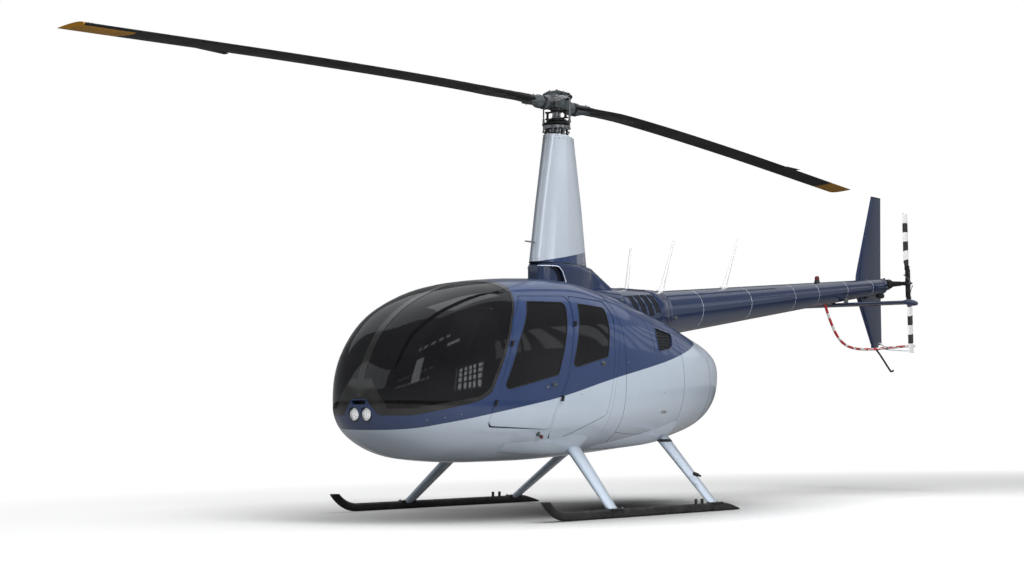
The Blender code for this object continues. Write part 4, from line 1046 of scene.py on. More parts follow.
def hinge_leaf(rows, side, on_door):
    """Knuckles with their lugs: the middle one on the door, two outer ones on the frame."""
    low, high = hinge_points(rows, side)
    along = (high - low).normalized()
    aft, inwards = (
        (way - along * way.dot(along)).normalized() for way in (AFT, Vector((-side, 0.0, 0.0)))
    )
    half = HINGE_LENGTH / 2.0
    spans = ((-half, half),) if on_door else ((-2.0 * half, -half - 0.0004), (half + 0.0004, 2.0 * half))
    reach = LUG_REACH if on_door else -LUG_REACH
    parts = []
    for centre in (low, high):
        for start, end in spans:
            parts.append(rod(centre + along * start, centre + along * end, HINGE_RADIUS, 24, rounding=0.0012))
            root = centre + inwards * 0.036 + aft * reach
            outwards = (centre - root).normalized()
            width = outwards.cross(along).normalized()
            turn = axes(width, along, outwards)
            lug = block(((-0.0048, 0.0048), (start, end), (0.0, (centre - root).length)), 0.001)
            parts.append(moved(lug, Matrix.Translation(root) @ turn))
        if not on_door:
            for end in (-2.0 * half, 2.0 * half):
                tip = centre + along * end
                parts.append(ball(tip, 0.0052))
    return gather(*parts)


def build_doors():
    """Four doors with their panes, seals and hinges."""
    for kind, rows, window, hinges in DOORS:
        outline = rounded([row[:2] for row in rows], DOOR_CORNER)
        opening = rounded(window, WINDOW_CORNER)
        for side_name, side in SIDES:
            body = f"{kind}_door_{side_name}"
            across = side_range(side, DOOR_INNER_X, DOOR_OUTER_X)
            door = carved(hull(), cutter_x(outline, *across), "INTERSECT")
            door = skin_only(carved(door, cutter_x(opening, *across)))
            make(f"{body}_skin", thick(door, WALL, True), ("hull_paint", "cabin_lining"), body,
                 (f"door_{kind}_{side_name}",))
            pane = carved(hull(GLASS_SET), cutter_x(grown(opening, -0.0005), *across), "INTERSECT")
            make(f"{body}_glass", thick(skin_only(pane), GLASS), "tinted_glass", body,
                 (f"door_pane_{kind}_{side_name}",))
            seal = tube(skin_path(grown(opening, 0.001), side, -0.001), 0.0045, 8, ring=True)
            make(f"{body}_window_seal", seal, "rubber", body)
            bead = tube(skin_path(grown(outline, 0.0012), side, -0.0016), 0.0016, 6, ring=True)
            make(f"{body}_edge_bead", bead, "hull_paint", body)
            make(f"{body}_hinge_leaf", hinge_leaf(hinges, side, True), "satin_black", body)
            make(f"{body}_frame_hinge", hinge_leaf(hinges, side, False), "satin_black")


build_shell()
build_doors()

# Seams, vents and fasteners on the shell


def side_line(points, side, lift=0.0, steps=8):
    """A smooth line over the skin through places of the side view."""
    spread = smooth_path([(0.0, y, z) for y, z in points], steps)
    return [on_side(point.y, point.z, side, lift).translation for point in spread]


# Panel seams of both flanks, each through (y, z) places
FLANK_SEAMS = (
    ((-0.052, 0.56), (-0.05, 0.8), (-0.03, 1.15), (-0.028, 1.5), (-0.04, 1.74)),
    ((0.93, 0.62), (0.935, 0.9), (0.93, 1.2), (0.9, 1.42)),
    ((-0.05, 0.64), (0.3, 0.622), (0.93, 0.64)),
    ((1.56, 0.76), (1.6, 1.0), (1.56, 1.28)),
    ((0.4, 1.56), (0.44, 1.39), (0.43, 1.28)),
)
# Small screws: y, z
FLANK_SCREWS = (
    (-2.12, 0.735), (-2.01, 0.752), (-1.9, 0.778), (-1.668, 0.711), (-0.64, 0.935), (-0.54, 0.955),
    (0.01, 0.9), (0.01, 1.2), (0.01, 1.48), (0.89, 0.7), (0.89, 0.98), (0.89, 1.24),
    (0.47, 1.36), (0.48, 1.46), (0.6, 1.52), (0.8, 1.49), (0.56, 0.963), (1.53, 0.9), (1.54, 1.12),
)


def screw_heads(frames, radius=0.0045):
    """Domed screws standing on frames."""
    heads = []
    for turn in frames:
        head = turned(
            ((0.0, 0.0022), (radius * 0.5, 0.0021), (radius, 0.001), (radius * 1.1, -0.001), (0.0, -0.001)),
            steps=12
        )
        heads.append(moved(head, turn))
    return gather(*heads)


def build_seams():
    """Dark panel seams and the small screws beside them."""
    seams = []
    for _, side in SIDES:
        for points in FLANK_SEAMS:
            seams.append(tube(side_line(points, side, -0.001), 0.0022, 6))
    roof_seam = [(x / 20.0, SEAM[1][0], top_z(x / 20.0, SEAM[1][0]) - 0.0008) for x in range(-12, 13)]
    seams.append(tube(smooth_path(roof_seam, 3), 0.0022, 6))
    make("panel_seams", seams, "seam_dark")
    make(
        "panel_screws",
        screw_heads([on_side(y, z, side) for y, z in FLANK_SCREWS for _, side in SIDES]),
        "bare_steel",
    )


def build_flank_fittings():
    """Engine screens, door handles and locks, and the latch of the baggage hold."""
    for side_name, side in SIDES:
        rim = tube(skin_path(rounded(SIDE_SCREEN, 0.02), side, 0.0005), 0.0045, 8, ring=True)
        mesh_sheet = carved(
            hull(0.01), cutter_x(rounded(SIDE_SCREEN, 0.02), *side_range(side, 0.3, 1.0)), "INTERSECT"
        )
        make(f"side_screen_rim_{side_name}", rim, "navy_paint")
        make(f"side_screen_{side_name}", thick(skin_only(mesh_sheet), 0.003), "screen_mesh")
        bars = []
        for k in range(7):
            z = 1.325 + 0.026 * k
            ends = (0.515 + 0.004 * k, 0.7 + 0.022 * k)
            bars.append(
                tube(
                    [
                        on_side(ends[0] + (ends[1] - ends[0]) * i / 6, z, side, -0.006).translation
                        for i in range(7)
                    ],
                    0.0028, 6
                )
            )
        make(f"side_screen_bars_{side_name}", bars, "dark_steel")

        handle_at = on_side(-0.98, 1.003, side)
        cup = turned(
            ((0.0, -0.002), (0.03, -0.001), (0.037, 0.0015), (0.04, 0.0), (0.04, -0.004), (0.0, -0.004)),
            steps=36
        )
        grip = plate(
            rounded(((-0.048, -0.009), (0.03, -0.012), (0.034, 0.012), (-0.048, 0.008)), 0.007, 5), 0.006,
            Matrix.Translation((0.0, 0.0, 0.006)), 0.0015
        )
        pivot = rod((0.022, 0.0, -0.004), (0.022, 0.0, 0.007), 0.008, 20)
        handle = gather(cup, grip, pivot)
        bmesh.ops.scale(handle, vec=(0.72, 0.72, 0.9), verts=handle.verts)
        make(
            f"front_door_handle_{side_name}", moved(handle, handle_at), "cast_alloy",
            f"front_door_{side_name}"
        )
        lock = turned(
            (
                (0.0, 0.003), (0.004, 0.003), (0.0045, 0.0015), (0.0075, 0.003), (0.01, 0.001),
                (0.0105, -0.002), (0.0, -0.002)
            ),
            steps=28
        )
        make(f"front_door_lock_{side_name}", moved(lock, on_side(-1.062, 0.985, side)), "bare_steel",
             f"front_door_{side_name}")
        latch = gather(
            turned(((0.0, 0.002), (0.02, 0.002), (0.025, 0.0), (0.025, -0.003), (0.0, -0.003)), steps=32),
            plate(
                rounded(((-0.03, -0.007), (0.022, -0.009), (0.026, 0.009), (-0.03, 0.006)), 0.006, 5), 0.005,
                Matrix.Translation((0.0, 0.0, 0.004)), 0.0012
            ),
            rod((0.014, 0.0, -0.002), (0.014, 0.0, 0.005), 0.006, 16)
        )
        make(f"rear_door_handle_{side_name}", moved(latch, on_side(-0.347, 1.179, side)), "cast_alloy",
             f"rear_door_{side_name}")

        hold_latch = plate(
            rounded(((-0.048, -0.012), (0.048, -0.012), (0.048, 0.012), (-0.048, 0.012)), 0.01, 5), 0.003,
            Matrix.Translation((0.0, 0.0, -0.001)), 0.0012
        )
        make(f"hold_latch_{side_name}", moved(hold_latch, on_side(0.612, 0.803, side)), "bare_steel")


def build_nose_fittings():
    """Landing lamps in their housing and the slats of the nose vent."""
    lens_seats = []
    for side_name, side in reversed(SIDES):
        x = side * LAMP_X
        foot, nose = Vector((x, -2.3, LAMP_Z)), -AFT
        bowl = turned(
            (
                (0.0, 0.0), (0.02, 0.004), (0.036, 0.016), (0.0455, 0.034), (0.0475, 0.034), (0.0475, -0.004),
                (0.0, -0.004)
            ),
            foot, nose, 48
        )
        lens = turned(
            (
                (0.0, 0.0445), (0.018, 0.0435), (0.034, 0.04), (0.0445, 0.0345), (0.0445, 0.0315),
                (0.0, 0.0315)
            ),
            foot, nose, 48
        )
        beads = []
        for ring, count in ((0.0, 1), (0.014, 6), (0.028, 12)):
            for k in range(count):
                angle = math.tau * k / count
                spot = foot + Vector((ring * math.cos(angle), -0.012 - ring * 0.3, ring * math.sin(angle)))
                beads.append(
                    turned(
                        ((0.0, 0.006), (0.004, 0.005), (0.0058, 0.001), (0.0058, -0.004), (0.0, -0.004)),
                        spot, nose, 14
                    )
                )
        rim = turned(
            (
                (0.045, 0.034), (0.0465, 0.0385), (0.05, 0.0385), (0.051, 0.033), (0.051, 0.02),
                (0.045, 0.02), (0.045, 0.034)
            ),
            foot, nose, 48
        )
        make(f"landing_lamp_bowl_{side_name}", bowl, "lamp_mirror",
             stands_for=("landing_lights",) if side > 0.0 else ())
        make(f"landing_lamp_beads_{side_name}", beads, "clear_lens")
        make(f"landing_lamp_lens_{side_name}", lens, "lamp_cover")
        make(f"landing_lamp_rim_{side_name}", rim, "satin_black")
        lens_seats.append(block(((x - 0.052, x + 0.052), (-2.298, -2.288), (0.725, 0.825)), 0.004))
    make("landing_lamp_mounts", lens_seats, "satin_black")
    louvre = gather(
        *(
            block(((-0.062, 0.062), (-2.326, -2.322), (0.85 + 0.0078 * k, 0.852 + 0.0078 * k)), 0.0006)
            for k in range(3)
        ),
        block(((-0.072, 0.072), (-2.31, -2.306), (0.838, 0.884)), 0.002)
    )
    make("nose_vent_slats", louvre, "satin_black")


# Upper cowls

COWL_TOP_Z = 2.02
COWL_FOOT_Z = 1.6
# y, top z, half width, shoulder radius
COWL_SECTIONS = (
    (-0.318, 1.905, 0.04, 0.035),
    (-0.31, 1.985, 0.054, 0.045),
    (-0.288, 2.016, 0.074, 0.04),
    (-0.235, 2.018, 0.107, 0.04),
    (-0.15, COWL_TOP_Z, 0.141, 0.03),
    (0.0, COWL_TOP_Z, 0.152, 0.03),
    (0.15, COWL_TOP_Z, 0.142, 0.04),
    (0.3, COWL_TOP_Z, 0.112, 0.06),
    (0.4, 2.019, 0.084, 0.064),
    (0.446, 2.004, 0.09, 0.085),
    (0.557, 1.938, 0.13, 0.125),
    (0.61, 1.902, 0.165, 0.16),
    (0.655, 1.868, 0.2, 0.2),
)
# Low skirt that widens aft to the boom's root cone, in the same columns
COWL_SKIRT = (
    (0.18, 1.74, 0.12, 0.11),
    (0.35, 1.83, 0.2, 0.19),
    (0.5, 1.862, 0.255, 0.25),
    (0.66, 1.868, 0.286, 0.286),
)
# Scoop in each side: y, z of its lip, front to foot, and x, y of its floor seen from above
INTAKE_LIP = (
    (-0.306, 1.988), (-0.24, 1.989), (-0.163, 1.986), (-0.128, 1.968), (-0.1, 1.935), (-0.067, 1.863),
    (-0.058, 1.79)
)
INTAKE_FLOOR = ((0.052, -0.32), (0.084, -0.265), (0.106, -0.2), (0.112, -0.14), (0.108, -0.05))
FAIRING_SECTIONS = (
    (2.0203, 0.325, 0.4, 0.135),
    (2.5, 0.246, 0.332, 0.118),
    (3.09, 0.134, 0.223, 0.095),
)
BOOM_AFT_Y, BOOM_AFT_Z = 5.77, 2.172
BOOM_SLOPE, BOOM_AFT_RADIUS, BOOM_TAPER = 0.1155, 0.08, 0.0288
CONE_FRONT_Y, CONE_AFT_Y = 0.6603, 1.36
CONE_FRONT_RADIUS, CONE_AFT_RADIUS = 0.286, 0.212
LOUVRE_LEAN = 0.035
# Share of a cowl ring that is its arch, before it runs back along its foot
COWL_ARCH_SHARE = 0.9


def boom_z(y):
    """Height of the boom's axis at y."""
    return BOOM_AFT_Z - BOOM_SLOPE * (BOOM_AFT_Y - y)


def boom_radius(y):
    """Radius of the boom at y."""
    return BOOM_AFT_RADIUS + BOOM_TAPER * (BOOM_AFT_Y - y)


def cone_radius(y):
    """Radius of the boom's root cone at y."""
    share = (y - CONE_FRONT_Y) / (CONE_AFT_Y - CONE_FRONT_Y)
    return CONE_FRONT_RADIUS + (CONE_AFT_RADIUS - CONE_FRONT_RADIUS) * share


def round_boom(y, angle, radius):
    """A place on a ring square to Y about the boom's rising middle line."""
    return Vector((radius * math.cos(angle), y, boom_z(y) + radius * math.sin(angle)))


def turned_boom(profile, radius_at, steps=72):
    """A band round the boom: rows of (y, height over the skin)."""
    rows = [(profile[0][0], -0.004), *profile, (profile[-1][0], -0.004), (profile[0][0], -0.004)]
    last = len(rows) - 1

    def place(u, v):
        y, lift = rows[round(v * last)]
        return round_boom(y, math.tau * u, radius_at(y) + lift)

    return sheet_of(steps, last, place, closed=True)


def arch(u, half_width, top, shoulder):
    """A place on an arch with round shoulders and straight flanks, port foot to starboard."""
    radius = min(shoulder, half_width)
    flank = top - radius - COWL_FOOT_Z
    bend = 0.5 * math.pi * radius
    flat = 2.0 * (half_width - radius)
    reach = u * (2.0 * flank + 2.0 * bend + flat)
    if reach <= flank:
        return half_width, COWL_FOOT_Z + reach
    reach -= flank
    if reach <= bend:
        angle = reach / radius
        return half_width - radius + radius * math.cos(angle), top - radius + radius * math.sin(angle)
    reach -= bend
    if reach <= flat:
        return half_width - radius - reach, top
    reach -= flat
    if reach <= bend:
        angle = 0.5 * math.pi + reach / radius
        return -(half_width - radius) + radius * math.cos(angle), top - radius + radius * math.sin(angle)
    return -half_width, top - radius - (reach - bend)


def cowl_place(u, v, rows, bend):
    """A place on the cowl: u over its arch, v from nose to tail."""
    first, last = rows[0][0], rows[-1][0]
    y = first + (last - first) * (v**bend)
    top, half_width, shoulder = (curve_at(rows, y, k) for k in (1, 2, 3))
    x, z = arch(u, half_width, top, shoulder)
    return Vector((x, y, z))


def fairing_place(u, v, inset=0.0):
    """A place on the mast fairing: u round it, v up it."""
    low, high = FAIRING_SECTIONS[0][0], FAIRING_SECTIONS[-1][0]
    z = low + (high - low) * v
    front, rear, half = (straight(FAIRING_SECTIONS, z, column) for column in (1, 2, 3))
    angle = math.tau * u
    across, along = math.cos(angle), math.sin(angle)
    reach = (rear if along > 0.0 else front) - inset
    squash = 1.0 if along <= 0.0 else 1.0 - 0.35 * along
    return Vector(((half - inset) * across * squash, reach * along, z))


def cone_strip(y_low, y_high, angle_low, angle_high, lift, lean):
    """A patch of the cone behind the cowl. lean moves its lower end aft."""

    def place(u, v):
        angle = angle_low + (angle_high - angle_low) * u
        y = y_low + (y_high - y_low) * v + lean * (1.0 - u)
        return round_boom(y, angle, cone_radius(y) + lift)

    return sheet_of(14, 4, place)


def build_upper_cowls():
    """Cowl with its scoops, mast fairing, and the boom's root cone with louvres."""

    def ring(u, v, rows, bend):
        """The arch for most of the way round, then back along its foot."""
        if u <= COWL_ARCH_SHARE:
            return cowl_place(u / COWL_ARCH_SHARE, v, rows, bend)
        return cowl_place(1.0, v, rows, bend).lerp(
            cowl_place(0.0, v, rows, bend), (u - COWL_ARCH_SHARE) / (1.0 - COWL_ARCH_SHARE)
        )

    cowl = sheet_of(100, 48, lambda u, v: ring(u, v, COWL_SECTIONS, 1.35), closed=True, caps=True)
    skirt = sheet_of(70, 24, lambda u, v: ring(u, v, COWL_SKIRT, 1.0), closed=True, caps=True)
    cowl = carved(cowl, skirt, "UNION")
    lip_line = [(point.x, point.y) for point in smooth_path([(y, z, 0.0) for y, z in INTAKE_LIP], 6)]
    for _, side in SIDES:
        outline = [*lip_line, (INTAKE_LIP[0][0], INTAKE_LIP[-1][1])]
        plan = [
            (side * x, y) for x, y in (*INTAKE_FLOOR, (0.5, INTAKE_FLOOR[-1][1]), (0.5, INTAKE_FLOOR[0][1]))
        ]
        depth = plate(plan, 0.4, Matrix.Translation((0.0, 0.0, 1.7)))
        cowl = carved(cowl, carved(cutter_x(outline, *side_range(side, 0.02, 0.5)), depth, "INTERSECT"))
    make(
        "mast_base_cowl_skin", cowl, ("navy_paint", "navy_paint"), stands_for=("mast_base_cowl",), sharp=40.0
    )
    for side_name, side in SIDES:
        lip = []
        for y, z in lip_line:
            top, half_width, shoulder = (curve_at(COWL_SECTIONS, y, k) for k in (1, 2, 3))
            drop = max(0.0, z - (top - shoulder))
            reach = half_width - shoulder + math.sqrt(max(0.0, shoulder**2 - drop**2))
            lip.append((side * (reach - 0.001), y, z))
        make(f"intake_lip_{side_name}", tube(lip, 0.004, 10), "seam_pale")
        # A dark plate in the aft end of each scoop: painted shade of the deep gap by the lip
        throat = [(y - 0.004, z - 0.003) for y, z in lip_line[8:]] + [
            (y - 0.042, z - 0.012) for y, z in lip_line[:7:-1]
        ]
        panel = cutter_x(throat, side * 0.113 - 0.003, side * 0.113 + 0.003)
        make(f"intake_throat_shade_{side_name}", panel, "seam_dark")

    outer = sheet_of(96, 40, fairing_place, closed=True)
    make("mast_fairing_skin", thick(outer, 0.008), "fairing_paint", stands_for=("mast_fairing",))
    lid = sheet_of(96, 1, lambda u, v: fairing_place(u, 0.985 + 0.012 * v, 0.006), closed=True, caps=True)
    lid = carved(lid, rod((0.0, 0.0, 3.0), (0.0, 0.0, 3.2), 0.05, 40))
    make("mast_fairing_lid", lid, ("pale_paint", "pale_paint"))
    rim = tube([fairing_place(k / 60.0, 1.0, 0.002) for k in range(60)], 0.0035, 8, ring=True)
    make("mast_fairing_rim", rim, "seam_pale")
    foot_gap = tube(
        [fairing_place(k / 60.0, 0.0, 0.004) + Vector((0, 0, -0.001)) for k in range(60)], 0.006, 8, ring=True
    )
    make("mast_fairing_foot_seal", foot_gap, "rubber")
    make(
        "mast_fairing_seam", tube([fairing_place(0.25, k / 20.0) for k in range(21)], 0.0016, 6), "seam_dark"
    )
    screws = []
    for k in range(18):
        share = (k + 0.5) / 18.0
        for v in (0.022, 0.972):
            here, ahead = fairing_place(share, v), fairing_place(share + 0.004, v)
            out = (ahead - here).cross(UP).normalized()
            screws.append(Matrix.Translation(here) @ pointing(out))
    make("mast_fairing_screws", screw_heads(screws, 0.0042), "bare_steel")

    def cone_place(u, v):
        y = CONE_FRONT_Y + (CONE_AFT_Y - CONE_FRONT_Y) * v
        return round_boom(y, math.tau * u, cone_radius(y))

    cone = sheet_of(96, 12, cone_place, closed=True, caps=True)
    make("boom_root_cone_skin", cone, "navy_paint", stands_for=("boom_root_cone",))
    collar = turned_boom(((1.205, 0.003), (1.212, 0.0075), (1.352, 0.0075), (1.3597, 0.003)), cone_radius)
    make("boom_root_collar", collar, "navy_paint")
    for side_name, side in SIDES:
        dark, light = [], []
        for k in range(4):
            y = 0.735 + 0.118 * k
            low, high = math.radians(-8.0 + 5.0 * k), math.radians(46.0 + 2.0 * k)
            if side < 0.0:
                low, high = math.pi - low, math.pi - high
            # A dark strip on the cone where each louvre opens: painted shade, as the cone itself is not cut
            slot = cone_strip(y, y + 0.076, low, high, 0.0012, LOUVRE_LEAN)
            dark.append(thick(slot, 0.0018))
            edge_path = [
                round_boom(
                    y + 0.078 + LOUVRE_LEAN * (1.0 - i / 14.0), low + (high - low) * i / 14.0,
                    cone_radius(y + 0.078) + 0.0035
                )
                for i in range(15)
            ]
            light.append(tube(edge_path, 0.0036, 8))
            hood = cone_strip(y + 0.062, y + 0.082, low, high, 0.0055, LOUVRE_LEAN)
            light.append(thick(hood, 0.0015))
        make(f"louvre_slot_shade_{side_name}", dark, "seam_dark")
        make(f"louvre_hoods_{side_name}", light, "navy_paint")
        dome_at = Vector((side * 0.25, 0.59, 1.742))
        make(
            f"cowl_dome_{side_name}",
            ball(dome_at - Vector((side * 0.006, 0, 0.004)), 0.02, (1.0, 1.0, 0.8), 3), "cast_alloy"
        )
        bump = ball(
            round_boom(
                1.479, math.radians(-12.0) if side > 0 else math.pi + math.radians(12.0), boom_radius(1.479)
            ),
            0.02, (0.7, 1.6, 0.9), 3
        )
        make(f"boom_root_bump_{side_name}", bump, "cast_alloy")

    def ridge_place(u, v):
        y, lift = 0.83 + 0.44 * v, 0.006 * min(1.0, 8.0 * v, 8.0 * (1.0 - v))
        return round_boom(y, math.radians(90.0 + 14.0 * (1.0 - 2.0 * u)), cone_radius(y) + lift)

    make("cone_top_plate", thick(sheet_of(16, 14, ridge_place), 0.006), "navy_paint")


# Boom, fin, stabiliser and tail pieces

FIN_X = -0.118
FIN_SECTIONS = (
    (1.548, 5.745, 5.995, 0.02),
    (2.05, 5.425, 5.985, 0.044),
    (2.27, 5.42, 5.985, 0.044),
    (3.156, 5.785, 6.005, 0.02),
)
STABILISER_Z, STABILISER_SPAN = 1.928, 0.74
STABILISER_FRONT_Y, STABILISER_AFT_Y = 4.8, 5.11
# Ring seams of the boom, places along Y
BOOM_SEAMS = (1.95, 2.83, 3.7, 4.2, 4.83, 5.42)
GUARD_X, GUARD_RADIUS = -0.03, 0.011
GUARD_PATH = (
    (4.56, 1.985),
    (4.61, 1.88),
    (4.72, 1.725),
    (4.84, 1.605),
    (4.985, 1.528),
    (5.2, 1.489),
    (5.55, 1.489),
    (6.36, 1.545),
    (6.61, 1.56),
)
GUARD_HIDDEN = 0.075
# Up to which run along the guard, the red part, and red and white together
GUARD_BANDS = ((0.8, 0.095, 0.16), (9.0, 0.1, 0.2))
STINGER_PATH = (
    (5.86, 1.5),
    (5.96, 1.44),
    (6.17, 1.29),
    (6.215, 1.268),
    (6.26, 1.278),
)


def foil(share):
    """Height of a smooth wing section over its chord, as a share of half its thickness."""
    t = min(max(share, 0.0), 1.0)
    return 2.969 * math.sqrt(t) - 1.26 * t - 3.516 * t * t + 2.843 * t**3 - 1.015 * t**4


def foil_ring(u):
    """Share of the chord and share of the thickness round a wing section."""
    angle = math.tau * u
    share = 0.5 + 0.5 * math.cos(angle)
    height = max(foil(share), 0.03 * share)
    return share, height if math.sin(angle) >= 0.0 else -height


def fin_place(u, v):
    """A place on the fin: u round its section, v up it."""
    low, high = FIN_SECTIONS[0][0], FIN_SECTIONS[-1][0]
    z = low + (high - low) * v
    front, rear, thickness = (straight(FIN_SECTIONS, z, column) for column in (1, 2, 3))
    share, height = foil_ring(u)
    return Vector((FIN_X + 0.5 * thickness * height, front + (rear - front) * share, z))


def stabiliser_place(u, v):
    """A place on the stabiliser: u round its section, v to port."""
    share, height = foil_ring(u)
    x = -STABILISER_SPAN + 2.0 * STABILISER_SPAN * v
    chord = STABILISER_AFT_Y - STABILISER_FRONT_Y
    return Vector((x, STABILISER_FRONT_Y + chord * share, STABILISER_Z + 0.02 * height))


def white_band(run):
    """Whether a place of the guard is white, from its run behind the boom's surface."""
    red, both = next(row[1:] for row in GUARD_BANDS if run < row[0])
    return max(0.0, run) % both > red


def build_boom():
    """Boom, fin, stabiliser, guard, stinger, tail light and beacon."""
    length = BOOM_AFT_Y - CONE_AFT_Y

    def place(u, v):
        y = CONE_AFT_Y + 0.0003 + length * v
        return round_boom(y, math.tau * u, boom_radius(y))

    make(
        "tail_boom_skin", sheet_of(72, 48, place, closed=True, caps=True), "navy_paint",
        stands_for=("tail_boom",)
    )
    bands = []
    for y in BOOM_SEAMS:
        bands.append(turned_boom(((y - 0.0016, 0.0004), (y + 0.0016, 0.0004)), boom_radius))
    make("boom_seams", bands, "seam_pale")
    make(
        "boom_front_collar",
        turned_boom(((1.3605, 0.002), (1.364, 0.005), (1.42, 0.005), (1.426, 0.001)), boom_radius),
        "navy_paint"
    )
    make(
        "boom_end_collar",
        turned_boom(((5.7, 0.001), (5.704, 0.004), (5.764, 0.004), (5.7695, 0.001)), boom_radius),
        "navy_paint"
    )

    fin = sheet_of(40, 36, fin_place, closed=True, caps=True)
    make("tail_fin_skin", fin, "navy_paint", stands_for=("tail_fin",), sharp=50.0)
    cap = sheet_of(40, 2, lambda u, v: fin_place(u, 0.993 + 0.0069 * v), closed=True, caps=True)
    grow_from(cap, Vector((FIN_X, 5.895, 3.15)), (1.16, 1.02, 1.0))
    make("tail_fin_cap", cap, "satin_black", sharp=50.0)
    root = sheet_of(40, 2, lambda u, v: fin_place(u, 0.345 + 0.085 * v), closed=True)
    grow_from(root, Vector((FIN_X, 5.705, 2.16)), (1.08, 1.012, 1.0))
    make("tail_fin_root_band", thick(root, 0.001), "navy_paint", sharp=50.0)

    stabiliser = sheet_of(40, 40, stabiliser_place, closed=True, caps=True)
    make("stabiliser_skin", stabiliser, "navy_paint", stands_for=("horizontal_stabiliser",), sharp=50.0)
    for side_name, side in SIDES:
        bullet = turned(
            (
                (0.0, 0.0), (0.008, 0.003), (0.017, 0.022), (0.026, 0.07), (0.031, 0.14), (0.032, 0.19),
                (0.028, 0.26), (0.018, 0.32), (0.006, 0.339), (0.0, 0.34)
            ),
            along=AFT, steps=36
        )
        bmesh.ops.scale(bullet, vec=(0.48, 1.0, 1.0), verts=bullet.verts)
        bmesh.ops.translate(
            bullet, vec=(side * (STABILISER_SPAN + 0.004), STABILISER_FRONT_Y - 0.015, STABILISER_Z),
            verts=bullet.verts
        )
        make(f"stabiliser_bullet_{side_name}", bullet, "navy_paint", sharp=50.0)
        at = side * 0.075
        arm = rounded(((4.795, 1.931), (4.885, 1.931), (4.87, 2.04), (4.812, 2.036)), 0.01, 4)
        arm = cutter_x(arm, at - 0.005, at + 0.005, 0.0015)
        bolts = [
            rod((at - 0.009, y, z), (at + 0.009, y, z), 0.006, 6)
            for y, z in ((4.822, 1.952), (4.86, 1.952), (4.842, 2.01))
        ]
        make(f"stabiliser_bracket_{side_name}", gather(arm, *bolts), "bare_steel")

    path = smooth_path([(GUARD_X, y, z) for y, z in GUARD_PATH], 10)
    reach = [0.0]
    for before, after in zip(path, path[1:]):
        reach.append(reach[-1] + (after - before).length)
    guard = tube(path, 1.25 * GUARD_RADIUS, 20)
    for face in guard.faces:
        middle = face.calc_center_median()
        nearest = min(range(len(path)), key=lambda k: (path[k] - middle).length_squared)
        face.material_index = 1 if white_band(reach[nearest] - GUARD_HIDDEN) else 0
    foot = rod((GUARD_X, 5.93, 1.515), (FIN_X + 0.008, 5.935, 1.568), 0.009, 16)
    make("tail_guard_tube", guard, ("red_gloss", "white_fibreglass"), stands_for=("tail_guard",))
    make("tail_guard_foot", foot, "white_fibreglass")
    clamp = turned(hoop(0.0115, 0.0175, -0.016, 0.016), (GUARD_X, 5.93, 1.5135), (0.0, 1.0, 0.07), 24)
    make("tail_guard_clamp", clamp, "bare_steel")
    wire = tube(
        smooth_path(
            [(FIN_X + 0.02, 5.9, 1.512), (-0.05, 6.05, 1.498), (0.0, 6.25, 1.494), (0.03, 6.42, 1.496)], 6
        ),
        0.004, 8
    )
    make("guard_stay", wire, "pale_paint")
    stinger = tube(smooth_path([(FIN_X, y, z) for y, z in STINGER_PATH], 8), 0.01, 18)
    shoe = block(((FIN_X - 0.014, FIN_X + 0.014), (5.77, 5.9), (1.488, 1.549)), 0.006, 3)
    make(
        "tail_stinger_rod", gather(stinger, ball((FIN_X, 6.26, 1.278), 0.0102)), "satin_black",
        stands_for=("tail_stinger",)
    )
    make("tail_stinger_shoe", shoe, "navy_paint")

    tail_cup = turned(
        ((0.0, 0.0), (0.022, 0.004), (0.03, 0.02), (0.032, 0.07), (0.028, 0.11), (0.012, 0.128), (0.0, 0.13)),
        (0.0, 5.68, 2.068), (0.0, 1.0, 0.02), 32
    )
    make("tail_light_cup", tail_cup, "satin_black")
    make("tail_light_lens", ball((0.0, 5.808, 2.071), 0.014, (1.0, 0.8, 1.0), 3), "clear_lens")
    beacon_z = boom_z(4.371) + boom_radius(4.371)
    beacon_foot = turned(
        ((0.0, -0.01), (0.03, -0.01), (0.03, 0.006), (0.026, 0.012), (0.024, 0.028), (0.0, 0.028)),
        (0.0, 4.371, beacon_z), UP, 32
    )
    beacon_top = turned(
        ((0.0, 0.028), (0.0235, 0.028), (0.0235, 0.05), (0.019, 0.06), (0.01, 0.0655), (0.0, 0.066)),
        (0.0, 4.371, beacon_z), UP, 32
    )
    make("beacon_foot", beacon_foot, "satin_black", stands_for=("beacon",))
    make("beacon_dome", beacon_top, "red_lens")


build_seams()
build_flank_fittings()
build_nose_fittings()
build_upper_cowls()
build_boom()

# Main rotor

HUB = Vector((0.0, 0.0, 3.41))
PARKED = Matrix.Translation(HUB) @ Matrix.Rotation(math.radians(1.7), 4, "Z")
HALF_TURN = Matrix.Rotation(math.pi, 4, "Z")
ROTOR_RADIUS = 5.03
BLADE_CHORD = 0.254
BLADE_CHORDS = ((0.15, 0.085), (0.22, 0.085), (0.42, 0.2), (0.7, BLADE_CHORD), (5.1, BLADE_CHORD))
BLADE_THICKNESSES = ((0.15, 0.07), (0.3, 0.06), (0.6, 0.04), (0.85, 0.032), (5.1, 0.032))
BLADE_DROPS = ((0.15, -0.055), (0.52, -0.056), (0.85, -0.06), (1.39, -0.075), (2.5, -0.122), (5.03, -0.265))
QUARTER_CHORD = 0.25
TRIM_TAB = (3.58, 3.86)
# x, y of both ends of the horn that reaches back from a blade's grip to its pitch link
HORN_ROOT, HORN_TIP = (-0.058, 0.172), (-0.14, 0.01)


def blade_drop(reach):
    """How far the blade hangs at a reach."""
    return curve_at(BLADE_DROPS, min(reach, ROTOR_RADIUS), 1)


